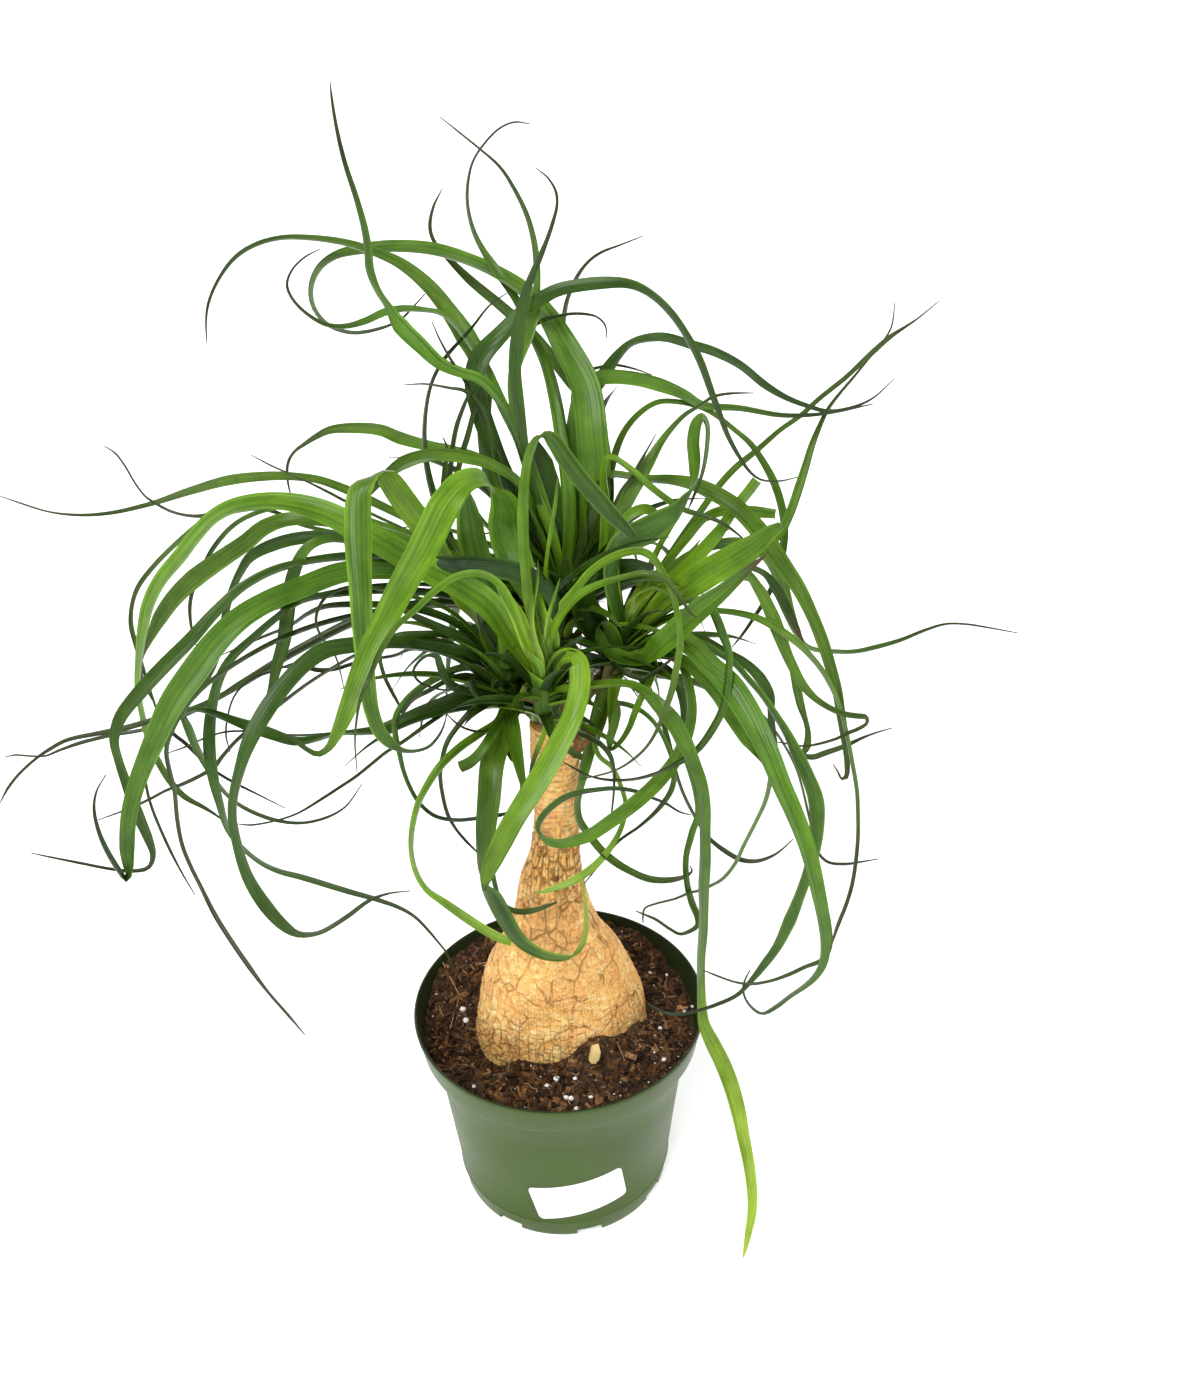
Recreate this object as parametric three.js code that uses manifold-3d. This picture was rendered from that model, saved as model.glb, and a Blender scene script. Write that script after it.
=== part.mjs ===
// Potted ponytail palm: a swollen trunk with four leafy shoots, in a round nursery pot.
// Millimetres, +Z up. The origin is under the middle of the pot, and -Y is the front.
import * as THREE from "three";
import { mergeVertices } from "three/addons/utils/BufferGeometryUtils.js";
import Module from "manifold-3d";

const wasm = await Module();
wasm.setup();
const { Manifold } = wasm;

// Space kept between two pieces that rest against each other.
const GAP = 0.3;

// The pot: a 6.5 inch azalea pot with a flared band at its rim.
const POT_HEIGHT = 125;
const RIM_RADIUS = 82.5;
const BAND_HEIGHT = 19.5;
const BAND_FOOT_RADIUS = 79;
const WALL_TOP_RADIUS = 72.5;
const FOOT_RADIUS = 61;
const WALL = 1.4;
const FLOOR = 2.2;
const LEDGE_HEIGHT = 12.5;
const POT_SIDES = 40;
const NOTCH_COUNT = 8;
const NOTCH_WIDTH = 15;
const NOTCH_HEIGHT = 4.5;
const NOTCH_RADIUS = 55.5;
const NOTCH_LENGTH = 12;
const NOTCH_TURN = -76;

// The bare white sticker on the pot's front, a little tilted.
const LABEL_LENGTH = 54;
const LABEL_WIDTH = 29;
const LABEL_THICKNESS = 0.6;
const LABEL_CORNER = 3;
const LABEL_HEIGHT = 35.5;
const LABEL_TURN = -81.5;
const LABEL_TILT = 11;
// Columns of points on each side of the sticker's middle, and rows of faces across it.
const STRAIGHT_COLUMNS = 3;
const CORNER_COLUMNS = 3;
const LABEL_ROWS = 3;

// The soil stands a little below the rim and is heaped against the trunk's front.
const SOIL_HEIGHT = 111.5;
const HEAP = { x: 24, y: -36, height: 8, spread: 19 };

// The trunk's outline, as [height, middle in x, half width].
const TRUNK_RINGS = [
  [78, 1, 42],
  [90, 1, 48],
  [102, 1, 49.3],
  [114, 1, 48.6],
  [128, 1.2, 46.4],
  [139, 0.6, 43.4],
  [150, 0, 39.8],
  [160, 0, 36.2],
  [169, -0.4, 31.6],
  [178, -1, 27],
  [187, -1.2, 23.6],
  [197, -1.4, 20.6],
  [207, -1.5, 18.7],
  [220, -0.8, 16.4],
  [233, 1, 13.6],
  [247, 2.4, 12.5],
  [260, 3, 12.1],
  [273, 3.2, 12.2],
  [286, 3.2, 12.5],
  [299, 3.4, 12.9],
  [309, 4, 13.2],
  [316, 4.2, 13.4],
];
const TRUNK_SIDES = 22;
const TRUNK_TOP = 316;
// Where a cut shoot left a stub on the trunk's right shoulder.
const STUB = { from: [8, -2, 297], to: [19, -6, 314], foot: 6.5, tip: 5.2 };

const rad = THREE.MathUtils.degToRad;

// Repeatable random numbers from 0 to 1.
function randomFrom(seed) {
  let state = seed;
  return () => {
    state = (state * 1664525 + 1013904223) % 4294967296;
    return state / 4294967296;
  };
}

// The pot's outer radius below the band, at a height.
function wallRadius(z) {
  return FOOT_RADIUS + ((WALL_TOP_RADIUS - FOOT_RADIUS) * z) / (POT_HEIGHT - BAND_HEIGHT);
}

// One closed solid from points, three numbers each, and the corners of its faces.
function solidFrom(points, faces) {
  return new Manifold(
    new wasm.Mesh({
      numProp: 3,
      vertProperties: new Float32Array(points),
      triVerts: new Uint32Array(faces),
    }),
  );
}

// One closed solid from a geometry, whose faces share their corners and have some area.
function solidOf(geometry) {
  geometry.deleteAttribute("normal");
  geometry.deleteAttribute("uv");
  const merged = mergeVertices(geometry);
  const corners = merged.index.array;
  const faces = [];
  for (let i = 0; i < corners.length; i += 3) {
    const [a, b, c] = corners.slice(i, i + 3);
    if (a !== b && b !== c && c !== a) {
      faces.push(a, b, c);
    }
  }
  return solidFrom(merged.attributes.position.array, faces);
}

// The same geometry with each point moved by a rule.
function reshaped(geometry, move) {
  const places = geometry.attributes.position;
  const point = new THREE.Vector3();
  for (let i = 0; i < places.count; i++) {
    move(point.fromBufferAttribute(places, i));
    places.setXYZ(i, point.x, point.y, point.z);
  }
  return geometry;
}

// A profile of [radius, height] turned round the upright axis.
function turned(profile) {
  const points = profile.map(([radius, height]) => new THREE.Vector2(radius, height));
  return new THREE.LatheGeometry(points, POT_SIDES).rotateX(rad(90));
}

function makePot() {
  const bandFoot = POT_HEIGHT - BAND_HEIGHT;
  const inner = (z) => wallRadius(z) - WALL;
  const profile = [
    [0, 0],
    [FOOT_RADIUS - 1.5, 0],
    [FOOT_RADIUS, 1.5],
    [wallRadius(LEDGE_HEIGHT) - 0.4, LEDGE_HEIGHT - 1],
    [wallRadius(LEDGE_HEIGHT) + 0.7, LEDGE_HEIGHT],
    [wallRadius(LEDGE_HEIGHT), LEDGE_HEIGHT + 1.2],
    [WALL_TOP_RADIUS, bandFoot],
    [BAND_FOOT_RADIUS, bandFoot + 0.8],
    [RIM_RADIUS, POT_HEIGHT - 0.8],
    [RIM_RADIUS - 0.3, POT_HEIGHT],
    [RIM_RADIUS - 1.3, POT_HEIGHT],
    [RIM_RADIUS - 1.6, POT_HEIGHT - 0.9],
    [BAND_FOOT_RADIUS - 1.5, bandFoot + 2.1],
    [inner(bandFoot), bandFoot + 0.3],
    [inner(8), 8],
    [FOOT_RADIUS - 12, FLOOR],
    [0, FLOOR],
  ];
  let pot = solidOf(turned(profile));
  for (let i = 0; i < NOTCH_COUNT; i++) {
    const notch = new THREE.BoxGeometry(NOTCH_LENGTH, NOTCH_WIDTH, 2 * NOTCH_HEIGHT);
    notch.translate(NOTCH_RADIUS + NOTCH_LENGTH / 2, 0, 0);
    notch.rotateZ(rad(NOTCH_TURN + (360 * i) / NOTCH_COUNT));
    pot = pot.subtract(solidOf(notch));
  }
  return pot;
}

// Half width of the trunk from front to back: it is flatter low down.
function trunkDepth(z, halfWidth) {
  return halfWidth * (1 - 0.2 * THREE.MathUtils.smoothstep(-z, -190, -130));
}

// The trunk, or with extra room around it the hole that it stands in.
function makeTrunkBody(room) {
  const sections = [];
  for (const [z, middle, halfWidth] of TRUNK_RINGS) {
    const back = 4 * THREE.MathUtils.smoothstep(-z, -190, -130);
    const depth = trunkDepth(z, halfWidth);
    const ring = [];
    for (let i = 0; i < TRUNK_SIDES; i++) {
      const turn = (2 * Math.PI * i) / TRUNK_SIDES;
      const lump = 1 + 0.012 * Math.sin(3 * turn + z / 23) + 0.012 * Math.sin(5 * turn - z / 11);
      ring.push([
        middle + (halfWidth * lump + room) * Math.cos(turn),
        back + (depth * lump + room) * Math.sin(turn),
        z,
      ]);
    }
    sections.push(ring);
  }
  for (const point of sections[0]) {
    point[2] -= room;
  }
  return closedTube(sections);
}

// One closed solid through a row of rings with the same number of points. Each four-cornered
// field is split along the diagonal that lies farther out, so that no two faces cross.
function closedTube(rings) {
  const sides = rings[0].length;
  const points = rings.flat(2);
  const corner = (index) => new THREE.Vector3().fromArray(points, 3 * index);
  const faces = [];
  for (let k = 0; k + 1 < rings.length; k++) {
    const middle = new THREE.Vector3();
    for (let i = 0; i < 2 * sides; i++) {
      middle.addScaledVector(corner(k * sides + i), 0.5 / sides);
    }
    for (let i = 0; i < sides; i++) {
      const a = k * sides + i;
      const b = k * sides + ((i + 1) % sides);
      const rising = corner(a).lerp(corner(b + sides), 0.5);
      const falling = corner(b).lerp(corner(a + sides), 0.5);
      if (rising.distanceTo(middle) >= falling.distanceTo(middle)) {
        faces.push(a, b, b + sides, a, b + sides, a + sides);
      } else {
        faces.push(a, b, a + sides, b, b + sides, a + sides);
      }
    }
  }
  const last = (rings.length - 1) * sides;
  for (let i = 1; i + 1 < sides; i++) {
    faces.push(0, i + 1, i, last, last + i, last + i + 1);
  }
  return solidFrom(points, faces);
}

// A straight round rod between two points.
function rod(from, to, footRadius, tipRadius, sides) {
  const start = new THREE.Vector3(...from);
  const along = new THREE.Vector3(...to).sub(start).normalize();
  const side = new THREE.Vector3(0, 1, 0).cross(along).normalize();
  const other = along.clone().cross(side);
  const ring = (middle, radius) => {
    const points = [];
    for (let i = 0; i < sides; i++) {
      const turn = (2 * Math.PI * i) / sides;
      const point = new THREE.Vector3(...middle)
        .addScaledVector(side, radius * Math.cos(turn))
        .addScaledVector(other, radius * Math.sin(turn));
      points.push(point.toArray());
    }
    return points;
  };
  return closedTube([ring(from, footRadius), ring(to, tipRadius)]);
}

function makeTrunk() {
  const stub = rod(STUB.from, STUB.to, STUB.foot, STUB.tip, 10);
  return makeTrunkBody(0).add(stub);
}

// The soil fills the pot, with a gap to its wall, a lumpy top and a hole for the trunk.
function makeSoil() {
  const bandFoot = POT_HEIGHT - BAND_HEIGHT;
  const inside = (z) => wallRadius(z) - WALL - GAP;
  const top = SOIL_HEIGHT;
  const profile = [
    [0, FLOOR + GAP],
    [FOOT_RADIUS - 12.2, FLOOR + GAP],
    [inside(8) - 0.1, 8.2],
    [inside(bandFoot), bandFoot],
    [inside(bandFoot) + 0.1, bandFoot + 0.7],
    [BAND_FOOT_RADIUS - 1.9, bandFoot + 2.6],
    [BAND_FOOT_RADIUS - 1, top],
    [69, top],
    [58, top],
    [45, top],
    [0, top],
  ];
  const heaped = reshaped(turned(profile), (point) => {
    const { x, y, z } = point;
    const radius = Math.hypot(x, y);
    if (z < top - 0.1) {
      return;
    }
    const inner = 1 - THREE.MathUtils.smoothstep(radius, 70, 78);
    const away = Math.hypot(x - HEAP.x, y - HEAP.y) / HEAP.spread;
    point.z +=
      HEAP.height * Math.exp(-away * away) * inner +
      1.1 * Math.sin(x / 7 + 1) * Math.cos(y / 9) +
      0.7 * Math.sin((x - y) / 4.3);
  });
  return solidOf(heaped).subtract(makeTrunkBody(GAP + 0.1));
}

// Where a column of the sticker's points stands, and how far it reaches up and down. Columns
// are counted from the middle, and the last ones on each side go round the corners.
function labelColumn(index) {
  const cornerPart = Math.max(0, Math.abs(index) - STRAIGHT_COLUMNS) / CORNER_COLUMNS;
  const turn = rad(90 * cornerPart);
  const straight = LABEL_LENGTH / 2 - LABEL_CORNER;
  const straightPart = Math.min(1, Math.abs(index) / STRAIGHT_COLUMNS);
  return {
    along: Math.sign(index) * (straight * straightPart + LABEL_CORNER * Math.sin(turn)),
    reach: LABEL_WIDTH / 2 - LABEL_CORNER * (1 - Math.cos(turn)),
  };
}

// The sticker follows the wall: a thin box with round corners is bent round the pot.
function makeLabel() {
  const columns = 2 * (STRAIGHT_COLUMNS + CORNER_COLUMNS);
  const sheet = new THREE.BoxGeometry(columns, 2, LABEL_THICKNESS, columns, LABEL_ROWS, 1);
  sheet.translate(0, 0, LABEL_THICKNESS / 2);
  reshaped(sheet, (point) => {
    const { along, reach } = labelColumn(Math.round(point.x));
    point.set(along, point.y * reach, point.z);
  });
  sheet.rotateZ(rad(LABEL_TILT));
  reshaped(sheet, (point) => {
    const height = LABEL_HEIGHT + point.y;
    const radius = wallRadius(height) + GAP + point.z;
    const turn = rad(LABEL_TURN) + point.x / wallRadius(LABEL_HEIGHT);
    point.set(radius * Math.cos(turn), radius * Math.sin(turn), height);
  });
  return solidOf(sheet);
}

// The shoots grow from these points, and each stands on the trunk's flat top.
const SHOOTS = {
  front: { core: [-1, -20, 342], stand: [4, -7.4] },
  left: { core: [-19, 2, 334], stand: [-4.6, 0.6] },
  right: { core: [36, 14, 346], stand: [10.6, 3.6] },
  back: { core: [10, 32, 366], stand: [2.6, 9] },
};
const STEM_RADIUS = 4;
const NECK_RADIUS = 7;
const CORE_RADIUS = 11;
const CORE_HEIGHT = 1.4;
// Leaf roots start this far from the middle of the shoot, and widen over this length.
const ROOT_SINK = 5;
const ROOT_WIDTH = 0.45;
const ROOT_LENGTH = 38;

// Each leaf's course is given as it is seen from one eye point, in a view 1200 wide and 1383
// high, with its depth behind the trunk's middle.
const EYE = new THREE.Vector3(26.7, -632.3, 726.7);
const LOOK_DOWN = rad(31.92);
const LEAN = rad(-1.137);
const FOCAL = 1500;
const VIEW_MIDDLE = [600, 691.5];
const AHEAD = new THREE.Vector3(0, Math.cos(LOOK_DOWN), -Math.sin(LOOK_DOWN));
const LEVEL = new THREE.Vector3(0, Math.sin(LOOK_DOWN), Math.cos(LOOK_DOWN));
const RIGHT = new THREE.Vector3(Math.cos(LEAN), 0, 0).addScaledVector(LEVEL, Math.sin(LEAN));
const UP = new THREE.Vector3(-Math.sin(LEAN), 0, 0).addScaledVector(LEVEL, Math.cos(LEAN));

// Leaves are sampled this finely before their sections are chosen.
const FINE = 96;
// A new section comes after this length, or this much turning.
const SECTION_LENGTH = 40;
const SECTION_TURN = 0.85;
const FEWEST_SECTIONS = 5;
const MOST_SECTIONS = 14;
// A blade is a shallow three-sided channel: its keel hangs this share of its width below.
const KEEL_SHARE = 0.12;
const LEAST_KEEL = 0.9;
const LEAST_WIDTH = 1;

// The point seen at a place in the view, at a depth.
function seenAt(px, py, depth) {
  const sight = AHEAD.clone()
    .addScaledVector(RIGHT, (px - VIEW_MIDDLE[0]) / FOCAL)
    .addScaledVector(UP, -(py - VIEW_MIDDLE[1]) / FOCAL);
  return EYE.clone().addScaledVector(sight, (depth - EYE.y) / sight.y);
}

// A value at a place from 0 to 1 in a row of evenly spaced values.
function along(row, place) {
  const spot = place * (row.length - 1);
  const index = Math.min(Math.floor(spot), row.length - 2);
  return THREE.MathUtils.lerp(row[index], row[index + 1], spot - index);
}

// A value at x between known pairs [x, value].
function between(pairs, x) {
  let [lastX, lastValue] = pairs[0];
  for (const [nextX, value] of pairs) {
    if (x <= nextX) {
      return nextX > lastX
        ? THREE.MathUtils.mapLinear(x, lastX, nextX, lastValue, value)
        : value;
    }
    [lastX, lastValue] = [nextX, value];
  }
  return lastValue;
}

const blades = { front: [], left: [], right: [], back: [] };

// One leaf. seen lists [px, py] or [px, py, seen width] from its base to its tip, and deep
// the depths at even steps of the course.
function leaf(shoot, wide, deep, seen) {
  const walked = [0];
  for (let i = 1; i < seen.length; i++) {
    const [x0, y0] = seen[i - 1];
    const [x1, y1] = seen[i];
    walked.push(walked[i - 1] + Math.hypot(x1 - x0, y1 - y0));
  }
  const whole = walked[walked.length - 1];
  const points = seen.map(([px, py], i) => seenAt(px, py, along(deep, walked[i] / whole)));
  const widths = [];
  seen.forEach(([, , width], i) => {
    if (width !== undefined) {
      const distance = points[i].clone().sub(EYE).dot(AHEAD);
      widths.push([i + 1, (width * distance) / FOCAL]);
    }
  });
  const root = new THREE.Vector3(...SHOOTS[shoot].core);
  root.z += THREE.MathUtils.clamp((points[0].z - root.z) * 0.25, -7, 9);
  root.addScaledVector(points[0].clone().sub(root).normalize(), ROOT_SINK);
  blades[shoot].push(makeBlade([root, ...points], widths, wide));
}

// A blade through route points. widths lists [point number, width seen from the eye].
function makeBlade(points, widths, wide) {
  const curve = new THREE.CatmullRomCurve3(points, false, "centripetal");
  const stretches = points.length - 1;
  curve.arcLengthDivisions = stretches * 12;
  const lengths = curve.getLengths();
  const length = lengths[lengths.length - 1];
  const placed = widths.map(([index, width]) => [lengths[index * 12] / length, width]);
  const firstSeen = placed.length > 0 ? placed[0][0] : 1;

  const fine = curve.getSpacedPoints(FINE);
  const courses = fine.map((point, i) => {
    const before = fine[Math.max(i - 1, 0)];
    const after = fine[Math.min(i + 1, FINE)];
    return after.clone().sub(before).normalize();
  });

  // Seen from the eye, across is the side that shows full width, and edgeOn the one that shows none.
  const across = [];
  const edgeOn = [];
  let lean = 0;
  for (let i = 0; i <= FINE; i++) {
    const sight = fine[i].clone().sub(EYE).normalize();
    const side = courses[i].clone().cross(sight).normalize();
    if (i > 0 && side.dot(across[i - 1]) < 0) {
      side.negate();
    }
    across.push(side);
    edgeOn.push(side.clone().cross(courses[i]));
    const level = courses[i].clone().cross(new THREE.Vector3(0, 0, 1)).normalize();
    lean += level.dot(side) * level.dot(edgeOn[i]);
  }

  // Near its root a leaf lies square to the way it leaves the shoot.
  const leaving = fine[Math.round(FINE * Math.min(firstSeen, 0.3))].clone().sub(points[0]);
  const rootSide = new THREE.Vector3(leaving.y, -leaving.x, 0).normalize();
  const seam = Math.round(FINE * firstSeen);
  if (rootSide.dot(across[Math.min(seam, FINE)]) < 0) {
    rootSide.negate();
  }
  const fullWidths = [];
  let sides = [];
  for (let i = 0; i <= FINE; i++) {
    const place = i / FINE;
    const natural = wide * Math.max(1 - place ** 2.6, 0.06);
    const seenWidth = placed.length > 0 ? between(placed, place) : natural;
    const full = Math.max(natural, place < firstSeen ? 0 : seenWidth, LEAST_WIDTH);
    fullWidths.push(full);
    const roll = Math.acos(THREE.MathUtils.clamp(seenWidth / full, 0.15, 1)) * Math.sign(lean || 1);
    const side = across[i]
      .clone()
      .multiplyScalar(Math.cos(roll))
      .addScaledVector(edgeOn[i], Math.sin(roll));
    const rooted = placed.length > 0 ? firstSeen : 2;
    side.lerp(rootSide, 1 - THREE.MathUtils.smoothstep(place, rooted * 0.5, rooted));
    side.addScaledVector(courses[i], -side.dot(courses[i])).normalize();
    sides.push(side);
  }
  for (let round = 0; round < 3; round++) {
    sides = sides.map((side, i) => {
      const before = sides[Math.max(i - 1, 0)];
      const after = sides[Math.min(i + 1, FINE)];
      const even = side.clone().multiplyScalar(2).add(before).add(after);
      return even.addScaledVector(courses[i], -even.dot(courses[i])).normalize();
    });
  }
  const early = Math.round(FINE / 5);
  const flip = courses[early].clone().cross(sides[early]).z < 0 ? -1 : 1;

  // Sections come closer together where the leaf turns.
  const effort = [0];
  for (let i = 1; i <= FINE; i++) {
    const bend = courses[i].angleTo(courses[i - 1]);
    const twist = sides[i].angleTo(sides[i - 1]);
    effort.push(effort[i - 1] + length / FINE / SECTION_LENGTH + Math.max(bend, twist) / SECTION_TURN);
  }
  const count = THREE.MathUtils.clamp(Math.ceil(effort[FINE]), FEWEST_SECTIONS, MOST_SECTIONS);
  const sections = [];
  let next = 0;
  for (let i = 0; i <= FINE; i++) {
    if (effort[i] < (next * effort[FINE]) / count - 1e-9) {
      continue;
    }
    next += 1;
    const grown = THREE.MathUtils.smoothstep((length * i) / FINE, 0, ROOT_LENGTH);
    const width = fullWidths[i] * THREE.MathUtils.lerp(ROOT_WIDTH, 1, grown);
    const half = sides[i].clone().multiplyScalar((flip * width) / 2);
    const under = courses[i].clone().cross(half).normalize();
    const keel = Math.max(LEAST_KEEL, KEEL_SHARE * width);
    sections.push([
      fine[i].clone().add(half).toArray(),
      fine[i].clone().sub(half).toArray(),
      fine[i].clone().addScaledVector(under, -keel).toArray(),
    ]);
  }
  return closedTube(sections);
}

// Tall spike at the upper left
leaf("back", 9, [31, 44, 67, 95], [
  [556, 545], [535, 490], [515, 430], [500, 400], [480, 379], [460, 372, 10], [440, 363, 12],
  [420, 345, 15], [400, 325, 16], [388, 305, 6], [378, 290, 6], [370, 270, 9], [368, 250, 8],
  [365, 230, 7], [357, 200, 6], [345, 163, 5], [337, 130, 4], [332, 100, 3], [330, 81, 1]]);
// Long arch at the far upper left
leaf("back", 11, [34, 60, 110, 140, 130], [
  [545, 565], [515, 520], [492, 480], [484, 440, 12], [484, 410, 13], [484, 385, 15], [478, 358, 18],
  [465, 335, 20], [450, 312, 16], [428, 285, 14], [400, 263, 11], [370, 250, 8], [345, 242, 6],
  [310, 237, 5], [280, 237, 4], [255, 244, 4], [235, 257, 4], [218, 280, 3], [208, 305, 3],
  [206, 325, 2], [207, 344, 1]]);
// Broad upright leaf that ends in a loop at the upper left
leaf("back", 15, [34, 50, 90, 140, 150, 130], [
  [590, 570, 22], [594, 520, 27], [595, 474, 30], [592, 434, 30], [585, 385, 28], [565, 345, 25],
  [545, 312, 18], [525, 290, 14], [500, 273, 12], [470, 259, 11], [430, 248, 12], [390, 246, 11],
  [360, 249, 10], [335, 255, 7], [318, 268, 6], [310, 288, 4], [313, 308, 4], [327, 325, 3],
  [350, 333, 3], [375, 330, 3], [400, 320, 2], [413, 307, 2], [425, 294, 1]]);
// Loop inside it
leaf("back", 8, [39, 66, 95, 102], [
  [548, 520], [520, 440], [500, 400], [485, 365], [467, 337], [450, 318], [438, 311, 4], [425, 309, 4],
  [405, 308, 6], [385, 312, 8], [365, 321, 7], [345, 326, 5], [325, 324, 4], [305, 312, 3],
  [292, 298, 3], [287, 285, 3], [292, 270, 2], [305, 257, 2], [320, 249, 1]]);
// Arch over the top to the right
leaf("back", 10, [34, 52, 75, 70, 55, 45], [
  [550, 560], [520, 500], [495, 450], [480, 410], [474, 380, 18], [480, 358, 20], [500, 335, 16],
  [525, 310, 14], [545, 296, 13], [560, 289, 12], [600, 283, 12], [630, 284, 9], [650, 293, 7],
  [670, 311, 7], [687, 335, 7], [700, 360, 8], [712, 393, 7], [720, 415, 6], [728, 436, 5],
  [740, 458, 4], [752, 474, 3], [762, 480, 2], [780, 481, 2], [798, 477, 1]]);
// Spike up the middle
leaf("back", 7, [36, 60, 90, 110], [
  [548, 530], [528, 460], [515, 410], [514, 372], [528, 335, 11], [535, 310, 10], [537, 290, 7],
  [537, 265, 7], [534, 240, 6], [527, 215, 5], [515, 190, 4], [500, 167, 3], [480, 149, 2],
  [460, 133, 2], [440, 117, 1]]);
// Hooked spike
leaf("back", 7, [38, 80, 120, 150], [
  [570, 520], [562, 440], [548, 370], [530, 330], [518, 303, 8], [508, 287, 8], [495, 268, 9],
  [482, 248, 6], [473, 228, 4], [468, 205, 3], [468, 185, 3], [473, 162, 2], [485, 143, 2],
  [500, 128, 2], [515, 122, 2], [530, 124, 1]]);
// Short hooked spike
leaf("back", 8, [32, 38, 42, 48], [
  [550, 540], [530, 470], [520, 410], [515, 370, 12], [517, 345, 14], [520, 320, 12], [525, 295, 9],
  [532, 275, 7], [540, 257, 6], [547, 240, 4], [553, 222, 4], [557, 205, 3], [556, 192, 3],
  [548, 178, 2], [536, 168, 1]]);
// Spike left of the middle
leaf("back", 8, [46, 100, 135, 160], [
  [603, 520], [603, 450], [590, 405], [570, 380], [550, 355], [528, 330, 11], [500, 305, 10],
  [470, 280, 9], [448, 258, 6], [435, 243, 4], [430, 228, 4], [433, 208, 3], [442, 189, 1]]);
// Thin leaf up behind the top
leaf("back", 7, [40, 100, 160, 190], [
  [600, 500], [596, 430], [585, 370], [563, 337, 6], [564, 315, 5], [568, 297, 4], [578, 275, 4],
  [588, 262, 3], [600, 253, 3], [620, 245, 2], [643, 236, 1]]);
// Curl under the top arch
leaf("back", 6, [38, 75, 95], [
  [570, 500], [558, 420], [540, 350], [530, 330, 6], [540, 322, 4], [555, 317, 3], [570, 314, 3],
  [585, 314, 3], [597, 317, 2], [605, 325, 2], [607, 339, 1]]);
// Thin upright at the left
leaf("back", 6, [33, 50, 66, 82], [
  [535, 588], [485, 568], [450, 545, 9], [437, 505, 8], [428, 470, 6], [425, 440, 4], [427, 405, 3],
  [433, 380, 3], [445, 358, 4], [470, 330, 3], [490, 305, 2], [507, 293, 1]]);
// Thin tip
leaf("back", 4, [30, 44, 56], [
  [545, 555], [510, 480], [475, 400, 4], [460, 373, 3], [450, 358, 3], [440, 340, 2], [432, 322, 1]]);
// Thin tip
leaf("back", 4, [32, 40, 50], [
  [540, 565], [505, 490], [480, 405, 5], [465, 391, 4], [450, 388, 3], [425, 384, 2], [403, 385, 1]]);
// Upper arch to the right
leaf("back", 9, [41, 70, 115, 132, 120], [
  [594, 560], [600, 500], [590, 440, 12], [590, 400, 13], [605, 373, 13], [620, 352, 9], [630, 343, 6],
  [645, 338, 8], [665, 337, 9], [690, 344, 9], [715, 352, 9], [740, 365, 8], [765, 385, 8],
  [785, 397, 6], [805, 405, 5], [828, 411, 4], [853, 407, 3], [873, 398, 2], [894, 379, 1]]);
// Lower arch to the right
leaf("back", 8, [39, 76, 98, 100], [
  [580, 560], [572, 480], [574, 420], [583, 388, 12], [600, 378, 14], [630, 378, 13], [660, 385, 13],
  [685, 395, 10], [703, 405, 8], [740, 408, 6], [780, 415, 5], [810, 415, 4], [840, 411, 3],
  [873, 404, 1]]);
// Thin arc
leaf("back", 5, [38, 100, 110], [
  [585, 530], [575, 440], [575, 385], [586, 372, 4], [600, 367, 3], [615, 365, 3], [635, 369, 2],
  [652, 375, 1]]);
// Longest leaf to the left
leaf("back", 6, [30, 60, 110, 150, 165], [
  [535, 582], [490, 556], [450, 540], [400, 515], [350, 491, 9], [320, 480, 8], [300, 477, 8],
  [270, 476, 9], [230, 480, 10], [190, 491, 8], [150, 504, 5], [110, 513, 4], [80, 515, 3],
  [50, 512, 2], [20, 503, 2], [0, 496, 1]]);
// Thin leaf over the left side
leaf("back", 4, [30, 60, 100, 120], [
  [530, 590], [460, 560], [400, 545], [350, 535], [300, 524, 4], [275, 512, 4], [250, 508, 4],
  [225, 510, 4], [200, 516, 4], [185, 515, 3], [170, 511, 3], [155, 503, 3], [145, 496, 2],
  [135, 483, 2], [125, 466, 2], [115, 453, 2], [104, 446, 1]]);
// Broad pale leaf from the front shoot
leaf("front", 13, [-24, -13, 4, 18, 20], [
  [535, 668, 16], [515, 640, 22], [490, 606, 26], [460, 585, 25], [430, 570, 25], [400, 553, 25],
  [360, 530, 25], [320, 510, 22], [280, 501, 16], [240, 504, 14], [215, 515, 13], [195, 535, 14],
  [180, 555, 14], [160, 580, 13], [148, 605, 12], [142, 632, 10], [138, 660, 6], [137, 690, 5],
  [141, 712, 5], [147, 735, 6], [156, 757, 7], [170, 781, 7], [185, 797, 6], [205, 808, 4],
  [220, 818, 2], [228, 826, 1]]);
// Leftmost thin leaf
leaf("back", 5, [30, 76, 98, 86], [
  [530, 585], [480, 556], [400, 530], [330, 513], [270, 507, 4], [235, 511, 4], [210, 517, 5],
  [180, 540, 5], [152, 568, 5], [138, 587, 5], [132, 605, 4], [131, 625, 5], [136, 645, 5],
  [142, 665, 4], [150, 690, 3], [158, 715, 2], [163, 738, 1]]);
// Thin leaf, left
leaf("back", 5, [30, 60, 72, 70], [
  [530, 588], [470, 555], [400, 530], [340, 511], [300, 505, 5], [265, 510, 5], [235, 524, 5],
  [212, 550, 5], [200, 575, 4], [193, 590, 4], [190, 605, 4], [191, 625, 3], [196, 645, 1]]);
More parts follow.
